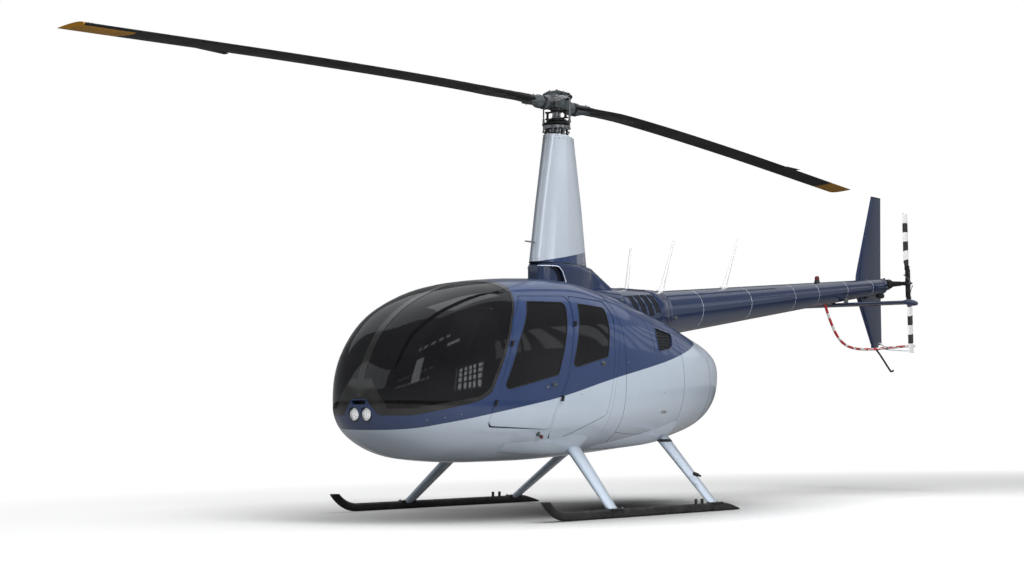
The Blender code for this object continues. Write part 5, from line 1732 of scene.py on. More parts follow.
def blade_place(reach, share, height):
    """A place on a blade that points aft from the hub, its leading edge to starboard."""
    chord, depth = straight(BLADE_CHORDS, reach), straight(BLADE_THICKNESSES, reach)
    return Vector((chord * (share - QUARTER_CHORD), reach, blade_drop(reach) + 0.5 * depth * height))


def blade_patch(start, end, first_share, last_share, lift, face):
    """A thin skin over part of the blade's chord, on its upper face (1) or its lower one (-1)."""

    def place(u, v):
        reach, share = start + (end - start) * v, first_share + (last_share - first_share) * u
        return blade_place(reach, share, face * max(foil(share), 0.05)) + Vector((0.0, 0.0, face * lift))

    return thick(sheet_of(8, 24, place), 0.0006)


def on_hub(bm, half):
    """Turned to one blade's side of the hub, in the parked position."""
    if half:
        bm = moved(bm, HALF_TURN)
    return moved(bm, PARKED)


def bolt(at, along, radius, height, washer=1.5):
    """A hexagonal bolt head with its washer and stud."""
    at, along = Vector(at), Vector(along).normalized()
    head = rod(at, at + along * height, radius, 6, rounding=0.0008)
    disc = rod(at - along * 0.002, at + along * 0.002, radius * washer, 24)
    stud = rod(at, at + along * (height + 0.006), radius * 0.5, 14, rounding=0.0006)
    return gather(head, disc, stud)


def build_blade(number, half):
    """One main rotor blade with its grip and pitch horn."""

    def fit(name, bm, finish, stands_for=(), sharp=35.0):
        make(name, on_hub(bm, half), finish, "main_rotor", stands_for, sharp)

    def place(u, v):
        reach = 0.2 + (ROTOR_RADIUS - 0.2) * v**1.15
        share, height = foil_ring(u)
        return blade_place(reach, share, height)

    blade = sheet_of(36, 90, place, closed=True, caps=True)
    fit(f"blade_{number}_skin", blade, "blade_paint", (f"rotor_blade_{number}",), 50.0)

    def strip_place(u, v):
        face = 2.0 * u - 1.0
        share = 0.06 * abs(face) ** 1.5
        reach = 0.75 + (ROTOR_RADIUS - 0.76) * v
        return blade_place(reach, share, math.copysign(max(foil(share), 0.0), face)) - TO_PORT * 0.0008

    strip = thick(sheet_of(10, 60, strip_place), -0.0006)
    fit(f"blade_{number}_leading_strip", strip, "blade_strip", sharp=60.0)

    doublers = []
    for start, end, first, last, lift in (
        (0.3, 1.05, 0.08, 0.7, 0.0012),
        (0.3, 0.86, 0.1, 0.62, 0.003),
        (0.3, 0.7, 0.12, 0.56, 0.005),
        (0.3, 0.56, 0.14, 0.5, 0.0072),
    ):
        for face in (1.0, -1.0):
            doublers.append(blade_patch(start, end, first, last, lift, face))
    fit(f"blade_{number}_doublers", doublers, "satin_black", sharp=50.0)

    trailing_x, low, high = 3.0 * QUARTER_CHORD * BLADE_CHORD, *TRIM_TAB
    tab_z = blade_drop(0.5 * (low + high))
    tab = gather(
        block(
            ((trailing_x - 0.004, trailing_x + 0.034), TRIM_TAB, (tab_z - 0.0008, tab_z + 0.0008)), 0.0003, 1
        ),
        block(
            (
                (trailing_x - 0.014, trailing_x + 0.002), (low + 0.01, high - 0.01),
                (tab_z - 0.003, tab_z + 0.003)
            ),
            0.0008, 1
        )
    )
    fit(f"blade_{number}_trim_tab", tab, "dark_steel")
    spots = [blade_place(reach, 0.16, 0.8) for reach in (4.93, 4.96)]
    weight = [rod(spot, spot + UP * 0.004, 0.006, 18, rounding=0.0008) for spot in spots]
    fit(f"blade_{number}_tip_screws", weight, "dark_steel")

    slung = Matrix.Translation((0.0, 0.0, -0.062))
    grip_profile = (
        (0.0, 0.112), (0.04, 0.112), (0.046, 0.118), (0.05, 0.146), (0.057, 0.156), (0.057, 0.196),
        (0.052, 0.204), (0.052, 0.236), (0.057, 0.244), (0.056, 0.272), (0.046, 0.3), (0.036, 0.345),
        (0.026, 0.352), (0.0, 0.352)
    )
    grip = moved(turned(grip_profile, along=AFT, steps=48), slung)
    socket = plate(
        rounded(
            ((-0.034, 0.23), (0.05, 0.23), (0.082, 0.372), (0.07, 0.392), (-0.03, 0.392), (-0.038, 0.36)),
            0.012, 5
        ),
        0.064, Matrix.Translation((0.0, 0.0, -0.09)), 0.006
    )
    fit(f"grip_{number}", gather(grip, socket), "cast_alloy")
    ribs = [
        moved(turned(hoop(0.05, 0.0545, y, y + 0.007), along=AFT, steps=40), slung)
        for y in (0.206, 0.217, 0.228)
    ]
    fit(f"grip_{number}_ribs", ribs, "dark_steel")
    studs = [
        bolt((x, y, -0.026), UP, 0.008, 0.006)
        for x, y in ((-0.016, 0.262), (0.036, 0.262), (-0.018, 0.35), (0.054, 0.35))
    ]
    studs += [bolt((x, y, -0.09), -UP, 0.007, 0.005) for x, y in ((-0.016, 0.35), (0.054, 0.35))]
    fit(f"grip_{number}_studs", studs, "bare_steel")

    run = Vector((HORN_TIP[0] - HORN_ROOT[0], HORN_TIP[1] - HORN_ROOT[1], 0.0))
    along = run.normalized()
    sheet = axes(along, UP, along.cross(UP))
    outline = rounded(
        (
            (0.0, -0.06), (0.0, 0.002), (0.055, 0.004), (run.length + 0.01, 0.01),
            (run.length + 0.012, -0.014), (run.length - 0.02, -0.016), (0.06, -0.05)
        ),
        0.006, 4
    )
    horn = plate(
        outline, 0.01, Matrix.Translation((*HORN_ROOT, 0.0)) @ sheet @ Matrix.Translation((0.0, 0.0, -0.005)),
        0.0016
    )
    root = block(
        ((HORN_ROOT[0] - 0.006, -0.02), (HORN_ROOT[1] - 0.018, HORN_ROOT[1] + 0.028), (-0.06, -0.004)), 0.006,
        3
    )
    fit(f"pitch_horn_{number}", gather(horn, root), "bare_steel")
    tip = gather(
        rod(
            (HORN_TIP[0] - 0.016, HORN_TIP[1], -0.002), (HORN_TIP[0] + 0.016, HORN_TIP[1], -0.002), 0.011, 24,
            rounding=0.002
        ),
        bolt((HORN_TIP[0] - 0.015, HORN_TIP[1], -0.002), (-1.0, 0.0, 0.0), 0.008, 0.007)
    )
    fit(f"pitch_horn_bolt_{number}", tip, "dark_steel")


def build_rotor_head():
    """Blades, hub, mast and swashplate."""
    for number, half in ((1, True), (2, False)):
        build_blade(number, half)
    yoke = gather(
        block(((-0.044, 0.044), (-0.15, 0.15), (-0.092, -0.02)), 0.014, 3),
        block(((-0.06, 0.06), (-0.062, 0.062), (-0.08, 0.036)), 0.01, 3),
    )
    flank = []
    for side in (-1.0, 1.0):
        outline = rounded(
            (
                (-0.118, -0.094), (0.118, -0.094), (0.104, -0.04), (0.048, 0.03), (-0.048, 0.03),
                (-0.104, -0.04)
            ),
            0.012, 5
        )
        flank.append(cutter_x(outline, side * 0.064 - 0.005, side * 0.064 + 0.005, 0.002))
    make("rotor_yoke", moved(gather(yoke, *flank), PARKED), "cast_alloy", "main_rotor", ("rotor_hub",))
    bridge = []
    for side in (-1.0, 1.0):
        outline = rounded(
            ((-0.108, 0.018), (0.108, 0.018), (0.1, 0.04), (0.052, 0.056), (-0.052, 0.056), (-0.1, 0.04)),
            0.008, 4
        )
        bridge.append(
            plate(
                outline, 0.018,
                Matrix.Translation((0.0, side * 0.048 + 0.009, 0.0)) @ Matrix.Rotation(math.pi / 2.0, 4, "X"),
                0.003
            )
        )
    bridge.append(block(((-0.05, 0.05), (-0.044, 0.044), (0.03, 0.048)), 0.006, 3))
    make("rotor_hub_bridge", moved(bridge, PARKED), "cast_alloy", "main_rotor")
    trunnions = []
    for side in (-1.0, 1.0):
        for y in (-0.048, 0.048):
            trunnions.append(rod((side * 0.07, y, 0.0), (side * 0.112, y, 0.0), 0.016, 30, rounding=0.003))
            trunnions.append(bolt((side * 0.111, y, 0.0), (side, 0.0, 0.0), 0.01, 0.009))
            trunnions.append(
                block(((side * 0.092 - 0.01, side * 0.092 + 0.01), (y - 0.01, y + 0.01), (0.0, 0.034)), 0.003)
            )
    make("rotor_trunnions", moved(trunnions, PARKED), "dark_steel", "main_rotor")
    cap = turned(
        ((0.0, 0.068), (0.014, 0.066), (0.022, 0.06), (0.026, 0.044), (0.026, 0.036), (0.0, 0.036)), steps=40
    )
    nut = turned(((0.024, 0.036), (0.034, 0.036), (0.034, 0.05), (0.024, 0.052), (0.024, 0.036)), steps=12)
    make("rotor_mast_nut", moved(gather(cap, nut), PARKED), "dark_steel", "main_rotor")
    top_bolts = [bolt((x, y, 0.054), UP, 0.007, 0.007) for x in (-0.036, 0.036) for y in (-0.048, 0.048)]
    top_bolts += [
        bolt((x, y, -0.022), UP, 0.008, 0.007) for x in (-0.022, 0.022)
        for y in (-0.122, -0.094, 0.094, 0.122)
    ]
    make("rotor_hub_bolts", moved(top_bolts, PARKED), "bare_steel", "main_rotor")

    mast = turned(
        (
            (0.0, 1.62), (0.035, 1.62), (0.035, 3.226), (0.04, 3.23), (0.04, 3.25), (0.035, 3.256),
            (0.035, 3.296), (0.042, 3.304), (0.042, 3.3215), (0.0, 3.3215)
        ),
        steps=48
    )
    make("mast_tube", mast, "bare_steel", "main_rotor", ("rotor_mast",))
    collar = gather(
        turned(hoop(0.036, 0.05, 3.288, 3.308), steps=40),
        block(((-0.112, 0.112), (-0.012, 0.012), (3.29, 3.303)), 0.003),
        *(block(((x - 0.007, x + 0.007), (-0.01, 0.01), (3.232, 3.3)), 0.003) for x in (-0.094, 0.094)),
        block(((-0.094, 0.094), (-0.009, 0.009), (3.232, 3.242)), 0.003),
        *(
            rod((x, -0.02, z), (x, 0.02, z), 0.008, 20, rounding=0.0015) for x in (-0.098, 0.098)
            for z in (3.24, 3.297)
        )
    )
    make("mast_collar", collar, "dark_steel", "main_rotor")

    fixed = turned(
        (
            (0.0, 3.0935), (0.062, 3.0935), (0.062, 3.112), (0.07, 3.118), (0.07, 3.14), (0.098, 3.144),
            (0.106, 3.15), (0.106, 3.172), (0.1, 3.1795), (0.04, 3.1795), (0.04, 3.15), (0.0, 3.15)
        ),
        steps=64
    )
    make("swashplate_fixed_ring", fixed, "bare_steel", stands_for=("swashplate_fixed",))
    ring = []
    for k in range(10):
        angle = math.tau * (k + 0.3) / 10
        out = Vector((math.cos(angle), math.sin(angle), 0.0))
        ring.append(rod(out * 0.092 + UP * 3.102, out * 0.092 + UP * 3.147, 0.0055, 14))
        ring.append(bolt(out * 0.092 + UP * 3.106, -UP, 0.009, 0.009, 1.2))
        if k % 2:
            ring.append(ball(out * 0.1 + UP * 3.122, 0.013))
    make("swashplate_bolts", ring, "dark_steel")
    turning = turned(
        (
            (0.044, 3.185), (0.104, 3.185), (0.108, 3.189), (0.108, 3.198), (0.1, 3.201), (0.08, 3.204),
            (0.078, 3.209), (0.085, 3.212), (0.085, 3.226), (0.078, 3.231), (0.044, 3.2395), (0.044, 3.185)
        ),
        steps=64
    )
    arms, links = [], []
    for half in (False, True):
        arm = gather(
            rod((-0.08, 0.006, 3.2 - HUB.z), (-0.132, 0.01, 3.2 - HUB.z), 0.012, 24, rounding=0.003),
            ball((*HORN_TIP, 3.2 - HUB.z), 0.014)
        )
        arms.append(on_hub(arm, half))
        link_rod = gather(
            rod((*HORN_TIP, 3.134 - HUB.z), (*HORN_TIP, -0.006), 0.0065, 18),
            rod((*HORN_TIP, 3.212 - HUB.z), (*HORN_TIP, 3.246 - HUB.z), 0.01, 6),
            rod((*HORN_TIP, -0.064), (*HORN_TIP, -0.028), 0.01, 6),
            ball((*HORN_TIP, 3.14 - HUB.z), 0.012),
            ball((*HORN_TIP, -0.003), 0.013),
        )
        links.append(on_hub(link_rod, half))
    make("swashplate_turning_ring", turning, "dark_steel", "main_rotor", ("swashplate_rotating",))
    make("swashplate_arms", arms, "cast_alloy", "main_rotor")
    make("pitch_links", links, "bare_steel", "main_rotor")
    rods = []
    for x, y in ((0.052, -0.066), (-0.06, -0.052), (0.064, 0.06)):
        rods.append(rod((x, y, 3.06), (x * 1.1, y * 1.1, 3.122), 0.0075, 16))
        rods.append(ball((x * 1.1, y * 1.1, 3.12), 0.012))
    make("control_rods", rods, "bare_steel")


# Tail rotor

GEARBOX_AT = Vector((0.0, *TAIL_HUB.yz))
TAIL_PARKED = Matrix.Translation(TAIL_HUB) @ Matrix.Rotation(math.radians(2.1), 4, "X")
TAIL_CHORDS = ((0.05, 0.036), (0.1, 0.036), (0.16, 0.07), (0.23, 0.12), (0.8, 0.12))
TAIL_THICKNESSES = ((0.05, 0.03), (0.16, 0.022), (0.23, 0.014), (0.8, 0.014))
TAIL_RADIUS = 0.745


def tail_blade_place(reach, share, height):
    """A place on the blade that stands up from the tail rotor's hub."""
    chord, depth = straight(TAIL_CHORDS, reach), straight(TAIL_THICKNESSES, reach)
    return Vector((-0.5 * depth * height, -chord * (share - QUARTER_CHORD), reach))


def build_tail_rotor():
    """Tail rotor and its gearbox."""
    for number, turn in ((1, 0.0), (2, math.pi)):
        stand = TAIL_PARKED @ Matrix.Rotation(turn, 4, "X")

        def place(u, v):
            reach = 0.1 + (TAIL_RADIUS - 0.1) * v
            share, height = foil_ring(u)
            return tail_blade_place(reach, share, height)

        blade = sheet_of(36, 50, place, closed=True, caps=True)
        make(f"tail_blade_{number}_skin", moved(blade, stand), "tail_blade_paint", "tail_rotor",
             (f"tail_rotor_blade_{number}",), 50.0)
        grip = gather(
            block(((-0.019, 0.019), (-0.024, 0.028), (0.048, 0.15)), 0.006, 3),
            block(((-0.014, 0.014), (-0.046, 0.026), (0.14, 0.19)), 0.005, 3),
        )
        make(f"tail_grip_{number}", moved(grip, stand), "dark_steel", "tail_rotor")
        bolts = [
            bolt((0.018, y, z), TO_PORT, 0.006, 0.005)
            for y, z in ((-0.008, 0.075), (-0.008, 0.115), (-0.012, 0.165))
        ]
        bolts += [
            bolt((-0.018, y, z), (-1.0, 0.0, 0.0), 0.006, 0.005)
            for y, z in ((-0.008, 0.075), (-0.008, 0.115))
        ]
        make(f"tail_grip_bolts_{number}", moved(bolts, stand), "bare_steel", "tail_rotor")
        horn = gather(
            rod((-0.006, -0.022, 0.088), (-0.006, -0.062, 0.088), 0.007, 16),
            ball((-0.006, -0.064, 0.088), 0.01),
            rod((-0.006, -0.064, 0.088), (0.036, -0.03, 0.03), 0.004, 14),
            ball((0.036, -0.03, 0.03), 0.008),
        )
        make(f"tail_pitch_link_{number}", moved(horn, stand), "bare_steel", "tail_rotor")
    hub = gather(
        block(((-0.02, 0.02), (-0.026, 0.026), (-0.05, 0.05)), 0.006, 3),
        turned(
            (
                (0.0, -0.074), (0.02, -0.074), (0.022, -0.04), (0.024, -0.02), (0.024, 0.024), (0.018, 0.03),
                (0.012, 0.036), (0.0, 0.036)
            ),
            along=TO_PORT, steps=36
        ),
        rod((0.0, -0.03, 0.0), (0.0, 0.03, 0.0), 0.012, 24, rounding=0.002)
    )
    make("tail_hub_yoke", moved(hub, TAIL_PARKED), "dark_steel", "tail_rotor", ("tail_rotor_hub",))
    star = gather(
        block(((0.026, 0.036), (-0.036, 0.036), (-0.01, 0.01)), 0.003),
        bolt((0.034, 0.0, 0.0), TO_PORT, 0.009, 0.006),
    )
    make("tail_pitch_crosshead", moved(star, TAIL_PARKED), "bare_steel", "tail_rotor")

    case = turned(
        (
            (0.0, -0.052), (0.036, -0.052), (0.044, -0.044), (0.048, -0.03), (0.048, 0.052), (0.044, 0.066),
            (0.034, 0.078), (0.03, 0.09), (0.026, 0.15), (0.024, 0.184), (0.0, 0.184)
        ),
        GEARBOX_AT, TO_PORT, 48
    )
    input_side = turned(
        (
            (0.0, 5.771), (0.052, 5.771), (0.054, 5.786), (0.04, 5.796), (0.038, 5.836), (0.046, 5.874),
            (0.044, 5.92), (0.03, 5.938), (0.0, 5.942)
        ),
        (0.0, 0.0, 2.185), AFT, 48
    )
    make("tail_gearbox_case", gather(case, input_side), "dark_steel", stands_for=("tail_gearbox",))
    fins = [
        turned(hoop(0.045, 0.053, x, x + 0.005, 0.001), GEARBOX_AT, TO_PORT, 44)
        for x in (-0.026, -0.012, 0.002, 0.016, 0.03, 0.044)
    ]
    make("tail_gearbox_ribs", fins, "bare_steel")
    nuts = []
    for k in range(8):
        angle = math.tau * (k + 0.5) / 8
        nuts.append(
            bolt(
                (0.047 * math.cos(angle), 5.787, 2.185 + 0.047 * math.sin(angle)), (0.0, 1.0, 0.0), 0.005,
                0.005
            )
        )
    filler = turned(
        ((0.0, 0.0), (0.013, 0.0), (0.013, 0.02), (0.01, 0.026), (0.0, 0.027)), (-0.01, 5.86, 2.242), UP, 24
    )
    make("tail_gearbox_nuts", gather(filler, *nuts), "bare_steel")


# Landing gear

SKID_X, SKID_RADIUS = 1.055, 0.033
SKID_ACROSS = (SKID_X - 0.1, SKID_X + 0.1)
# How far forward the slant of the aft end starts
SKID_WEDGE = 0.24
SKID_AFT_Y, SKID_BEND_Y, SKID_BEND = 1.11, -1.255, 0.35
SKID_BEND_ANGLE = math.radians(50.0)
# Name, foot y, top x, y, z, then the forward y, x and aft y of its root
STRUTS = (
    ("front", -0.65, 0.443, -0.484, 0.64, -1.4, 0.545, -0.4),
    ("aft", 0.76, 0.36, 0.96, 0.64, -0.2, 0.455, 1.02),
)
STRUT_FOOT_Z = 0.04
STRUT_CHORDS, STRUT_DEPTHS = (0.19, 0.125), (0.07, 0.04)
FAIRING_SWELL = (
    (0.0, 0.12),
    (0.2, 0.42),
    (0.45, 0.72),
    (0.7, 0.93),
    (0.86, 1.0),
    (0.95, 0.8),
    (1.0, 0.35),
)
SWELL_HALF_WIDTH, SWELL_DEPTH = 0.105, 0.048


def skid_line():
    """Middle line of the port skid: its aft end, the start of its bend, and round the bend."""
    points = [Vector((SKID_X, y, SKID_RADIUS)) for y in (SKID_AFT_Y - 0.001, SKID_BEND_Y)]
    for k in range(1, 13):
        angle = SKID_BEND_ANGLE * k / 12
        y, z = SKID_BEND_Y - SKID_BEND * math.sin(angle), SKID_RADIUS + SKID_BEND * (1.0 - math.cos(angle))
        points.append(Vector((SKID_X, y, z)))
    return points


def strut_place(row, u, v):
    """Round the strut's wing section, foot to top."""
    _, foot_y, top_x, top_y, top_z = row[:5]
    foot, top = Vector((SKID_X, foot_y, STRUT_FOOT_Z)), Vector((top_x, top_y, top_z))
    centre = foot.lerp(top, v)
    chord = STRUT_CHORDS[1] + (STRUT_CHORDS[0] - STRUT_CHORDS[1]) * v
    depth = STRUT_DEPTHS[1] + (STRUT_DEPTHS[0] - STRUT_DEPTHS[1]) * v
    share, height = foil_ring(u)
    return centre + Vector((0.5 * depth * height / 0.75, chord * (share - 0.5), 0.0))


def build_gear():
    """Skids, struts and their fittings."""
    for side_name, side in SIDES:
        line = skid_line()
        skid = tube([line[0].lerp(line[1], k / 16) for k in range(17)] + line[2:], SKID_RADIUS, 32)
        slope = ((SKID_AFT_Y - SKID_WEDGE, 2.0 * SKID_RADIUS + 0.002), (SKID_AFT_Y + 0.05, 0.2),
                 (SKID_AFT_Y + 0.05, 0.004), (SKID_AFT_Y, 0.006))
        skid = carved(skid, cutter_x(slope, *SKID_ACROSS))
        tip = line[-1]
        over = block((SKID_ACROSS, (tip.y - 0.2, tip.y + 0.2), (tip.z - 0.012, tip.z + 0.2)), 0.0)
        skid = carved(skid, over)
        make(
            f"skid_tube_{side_name}", to_side(skid, side), "skid_black", stands_for=(f"skid_{side_name}",),
            sharp=50.0
        )
        shoes = [
            block(((SKID_X - 0.013, SKID_X + 0.013), (low, high), (0.0004, 0.01)), 0.002)
            for low, high in ((-1.1, -0.3), (0.35, 1.02))
        ]
        make(f"skid_wear_shoes_{side_name}", to_side(gather(*shoes), side), "dark_steel")
        pegs = [rod((SKID_X, y, 0.04), (SKID_X, y, 0.105), 0.012, 20, rounding=0.002) for y in (0.47, 0.56)]
        make(f"skid_pegs_{side_name}", to_side(gather(*pegs), side), "satin_black")

        for row in STRUTS:
            name, foot_y, *_, root_front, root_x, root_aft = row
            strut = sheet_of(40, 24, lambda u, v: strut_place(row, u, v), closed=True, caps=True)
            make(f"strut_{name}_{side_name}_skin", to_side(strut, side), "pale_paint",
                 stands_for=(f"strut_{name}_{side_name}",), sharp=50.0)
            cuff = sheet_of(40, 3, lambda u, v: strut_place(row, u, 0.86 + 0.035 * v), closed=True)
            middle = strut_place(row, 0.25, 0.877).lerp(strut_place(row, 0.75, 0.877), 0.5)
            make(
                f"strut_{name}_{side_name}_cuff",
                to_side(thick(grow_from(cuff, middle, (1.1, 1.05, 1.0)), 0.003), side), "rubber", sharp=50.0
            )
            saddle = gather(
                turned(hoop(0.0335, 0.0375, -0.085, 0.085, 0.005), (SKID_X, foot_y, SKID_RADIUS), AFT, 32),
                block(
                    ((SKID_X - 0.036, SKID_X + 0.036), (foot_y - 0.078, foot_y + 0.078), (0.056, 0.07)),
                    0.006, 3
                )
            )
            saddle = carved(saddle, block((SKID_ACROSS, (foot_y - 0.2, foot_y + 0.2), (-0.1, 0.0006)), 0.0))
            make(f"skid_saddle_{name}_{side_name}", to_side(saddle, side), "skid_black")
            saddle_bolts = [
                bolt((SKID_X + dx, foot_y + dy, 0.069), UP, 0.007, 0.005) for dx in (-0.024, 0.024)
                for dy in (-0.062, 0.062)
            ]
            make(f"skid_saddle_bolts_{name}_{side_name}", to_side(gather(*saddle_bolts), side), "bare_steel")

            def swell_place(u, v):
                y = root_front + (root_aft - root_front) * v
                size = straight(FAIRING_SWELL, v)
                across = (2.0 * u - 1.0) * SWELL_HALF_WIDTH * (0.45 + 0.55 * size)
                x = root_x + across
                dip = SWELL_DEPTH * size * (math.cos(0.5 * math.pi * (2.0 * u - 1.0)) ** 0.8)
                return Vector((x, y, belly_z(x, y) - dip + 0.0015))

            swell = thick(sheet_of(28, 48, swell_place), 0.004)
            make(f"strut_{name}_{side_name}_fairing", to_side(swell, side), "pale_paint", sharp=60.0)
    peg = gather(
        rod((0.86, 0.737, 0.299), (0.905, 0.737, 0.286), 0.016, 20, rounding=0.003),
        rod((0.905, 0.737, 0.286), (0.93, 0.737, 0.279), 0.009, 16, rounding=0.002)
    )
    make("strut_step_peg", peg, "satin_black")
    make(
        "belly_drain",
        gather(
            rod((0.2, -0.02, 0.555), (0.2, -0.01, 0.4), 0.01, 20, rounding=0.002),
            rod((0.2, -0.02, 0.57), (0.2, -0.018, 0.53), 0.017, 24, rounding=0.003)
        ),
        "white_fibreglass"
    )


# Fittings outside

# Name, then y, z of foot and tip
ANTENNAS = (
    ("front", (1.0, 1.8), (1.075, 2.24)),
    ("middle", (1.54, 1.86), (1.756, 2.36)),
    ("aft", (2.6, 1.96), (2.85, 2.455)),
)
# Share of the height, then thickness or chord
ANTENNA_DEPTHS = ((0.0, 0.04), (0.12, 0.022), (1.0, 0.012))
ANTENNA_CHORDS = ((0.0, 0.11), (0.12, 0.06), (0.45, 0.04), (1.0, 0.024))


def build_fittings():
    """Antennas, navigation lights, pitot tube and exhaust."""
    for name, (base_y, base_z), (tip_y, tip_z) in ANTENNAS:
        base, tip = Vector((0.0, base_y, base_z)), Vector((0.0, tip_y, tip_z))

        def mast_place(u, v):
            share, height = foil_ring(u)
            depth, chord = straight(ANTENNA_DEPTHS, v), straight(ANTENNA_CHORDS, v)
            return base.lerp(tip, v) + Vector((0.5 * depth * height, chord * (share - 0.5), 0.0))

        mast = sheet_of(24, 16, mast_place, closed=True, caps=True)
        make(f"antenna_{name}_blade", mast, "white_fibreglass", stands_for=(f"antenna_{name}",), sharp=50.0)
        radius_here = cone_radius(base_y) if base_y < CONE_AFT_Y else boom_radius(base_y)
        pad_z = boom_z(base_y) + radius_here
        pad = plate(
            rounded(
                [
                    (x, base_y + y)
                    for x, y in ((-0.022, -0.055), (0.022, -0.055), (0.022, 0.055), (-0.022, 0.055))
                ],
                0.018, 6
            ),
            0.012, Matrix.Translation((0.0, 0.0, pad_z - 0.007)), 0.002
        )
        screws = screw_heads(
            [
                Matrix.Translation((x, base_y + y, pad_z + 0.005)) for x in (-0.014, 0.014)
                for y in (-0.042, 0.042)
            ],
            0.004
        )
        make(f"antenna_{name}_foot", pad, "white_fibreglass")
        make(f"antenna_{name}_screws", screws, "bare_steel")

    for side_name, side in SIDES:
        seat = on_side(-1.1, 0.632, side)
        lens = "red_lens" if side > 0.0 else "green_lens"
        stalk = turned(
            (
                (0.0, -0.004), (0.02, -0.004), (0.02, 0.003), (0.011, 0.008), (0.009, 0.026), (0.015, 0.03),
                (0.015, 0.034), (0.0, 0.034)
            ),
            steps=28
        )
        make(f"navigation_light_{side_name}_stalk", moved(stalk, seat), "cast_alloy",
             stands_for=(f"navigation_light_{side_name}",))
        bulb = turned(
            ((0.0145, 0.032), (0.0155, 0.038), (0.0135, 0.048), (0.006, 0.0535), (0.0, 0.054)), steps=28
        )
        bmesh.ops.holes_fill(bulb, edges=[edge for edge in bulb.edges if edge.is_boundary], sides=0)
        make(f"navigation_light_{side_name}_lens", moved(bulb, seat), lens)

    pitot = gather(
        turned(
            (
                (0.0, 0.005), (0.0025, 0.004), (0.0025, 0.0), (0.0045, 0.0), (0.0062, 0.02), (0.007, 0.06),
                (0.007, 0.22), (0.0, 0.22)
            ),
            (0.0, -0.42, 2.182), AFT, 24
        ),
        turned(((0.0, 0.195), (0.013, 0.195), (0.013, 0.203), (0.0, 0.21)), (0.0, -0.42, 2.182), AFT, 24)
    )
    make("pitot_probe", pitot, "bare_steel", stands_for=("pitot_tube",))

    foot, end = (Vector((0.0, *place)) for place in EXHAUST_AXIS)
    along, out, bore = end - foot, EXHAUST_RADIUS, EXHAUST_RADIUS - 0.008
    run = along.length
    pipe = turned(
        (
            (bore, 0.0), (out, 0.0), (out, run - 0.012), (out + 0.002, run - 0.008),
            (out + 0.002, run - 0.002), (out - 0.002, run), (bore, run - 0.004), (bore, 0.0)
        ),
        foot, along, 64
    )
    make("exhaust_tail_pipe", pipe, "hot_steel", stands_for=("exhaust_pipe",))
    band = turned(hoop(out, out + 0.004, run - 0.1, run - 0.082), foot, along, 64)
    make("exhaust_band", band, "dark_steel")


build_rotor_head()
build_tail_rotor()
build_gear()
build_fittings()

# Cabin and engine room

FLOOR_Z = 0.6
CABIN_FRONT_Y = -2.06
# Cushions: x range, y range, low z, high z
FRONT_CUSHION = ((0.105, 0.515), (-1.615, -1.18), 0.79, 0.905)
REAR_CUSHION = ((-0.182, 0.182), (-0.805, -0.44), 0.8, 0.905)
REAR_SEAT_STEP = 0.366
BACK_TOP_Z = 1.375
PAD_VOXEL = 0.013
PAD_INSET = 0.01
BELT_WIDTH, BELT_DEPTH = 0.045, 0.0025


def puffed(bm, seams, rest, cap=0.013):
    """A filled cover: the shape swells as cloth, held down along its seams and where it rests.

    seams(point) and rest(point) say which places are held.
    """
    made = plain_object("pad", bm)
    even = made.modifiers.new("even", "REMESH")
    even.mode = "VOXEL"
    even.voxel_size = PAD_VOXEL
    bm = evaluated(made)
    starts = [vert.co.copy() for vert in bm.verts]
    pad = plain_object("pad", bm)
    held = pad.vertex_groups.new(name="held")
    held.add([i for i, start in enumerate(starts) if seams(start) or rest(start)], 1.0, "REPLACE")
    cloth = pad.modifiers.new("cloth", "CLOTH")
    cloth.settings.use_pressure = True
    cloth.settings.uniform_pressure_force = 4.0
    cloth.settings.effector_weights.gravity = 0.0
    cloth.settings.vertex_group_mass = "held"
    cloth.point_cache.frame_start, cloth.point_cache.frame_end = 1, 20
    for number in range(1, 21):
        bpy.context.scene.frame_set(number)
    swollen = evaluated(pad)
    bpy.context.scene.frame_set(1)
    for vert, start in zip(swollen.verts, starts):
        shift = vert.co - start
        if shift.length > cap:
            vert.co = start + shift * (cap / shift.length)
    finer = plain_object("pad", swollen)
    finer.modifiers.new("finer", "SUBSURF").levels = 1
    return evaluated(finer)


def lean_matrix(foot_y, foot_z, lean, height):
    """Leans a back aft about its foot."""
    return (
        Matrix.Translation((0.0, foot_y, foot_z))
        @ Matrix.Rotation(-math.atan2(lean, height), 4, "X")
        @ Matrix.Translation((0.0, -foot_y, -foot_z))
    )


def pad_range(low, high):
    """A span drawn in by the room a cushion needs to swell."""
    return low + PAD_INSET, high - PAD_INSET


def cushion(x_range, y_range, low_z, high_z, channels):
    """A seat cushion, a little smaller than its space, with sewn channels across its top."""
    ranges = (pad_range(*x_range), pad_range(*y_range), (low_z + 0.004, high_z - PAD_INSET))
    step = (y_range[1] - y_range[0]) / (channels + 1)
    lines = [y_range[0] + step * (k + 1) for k in range(channels)]

    def seams(point):
        return point.z > low_z + 0.06 and any(abs(point.y - line) < 0.55 * PAD_VOXEL for line in lines)

    return puffed(block(ranges, 0.028, 4), seams, lambda point: point.z < low_z + 0.012)


def seat_back(x_range, foot_y, depth, low_z, top_z, channels):
    """A back cushion standing upright. It is leant afterwards."""
    ranges = (pad_range(*x_range), pad_range(foot_y, foot_y + depth), pad_range(low_z, top_z))
    step = (top_z - low_z) / (channels + 1)
    lines = [low_z + step * (k + 1) for k in range(channels)]

    def seams(point):
        return point.y < foot_y + 0.5 * depth and any(
            abs(point.z - line) < 0.55 * PAD_VOXEL for line in lines
        )

    return puffed(block(ranges, 0.026, 4), seams, lambda point: point.y > foot_y + depth - 0.016)


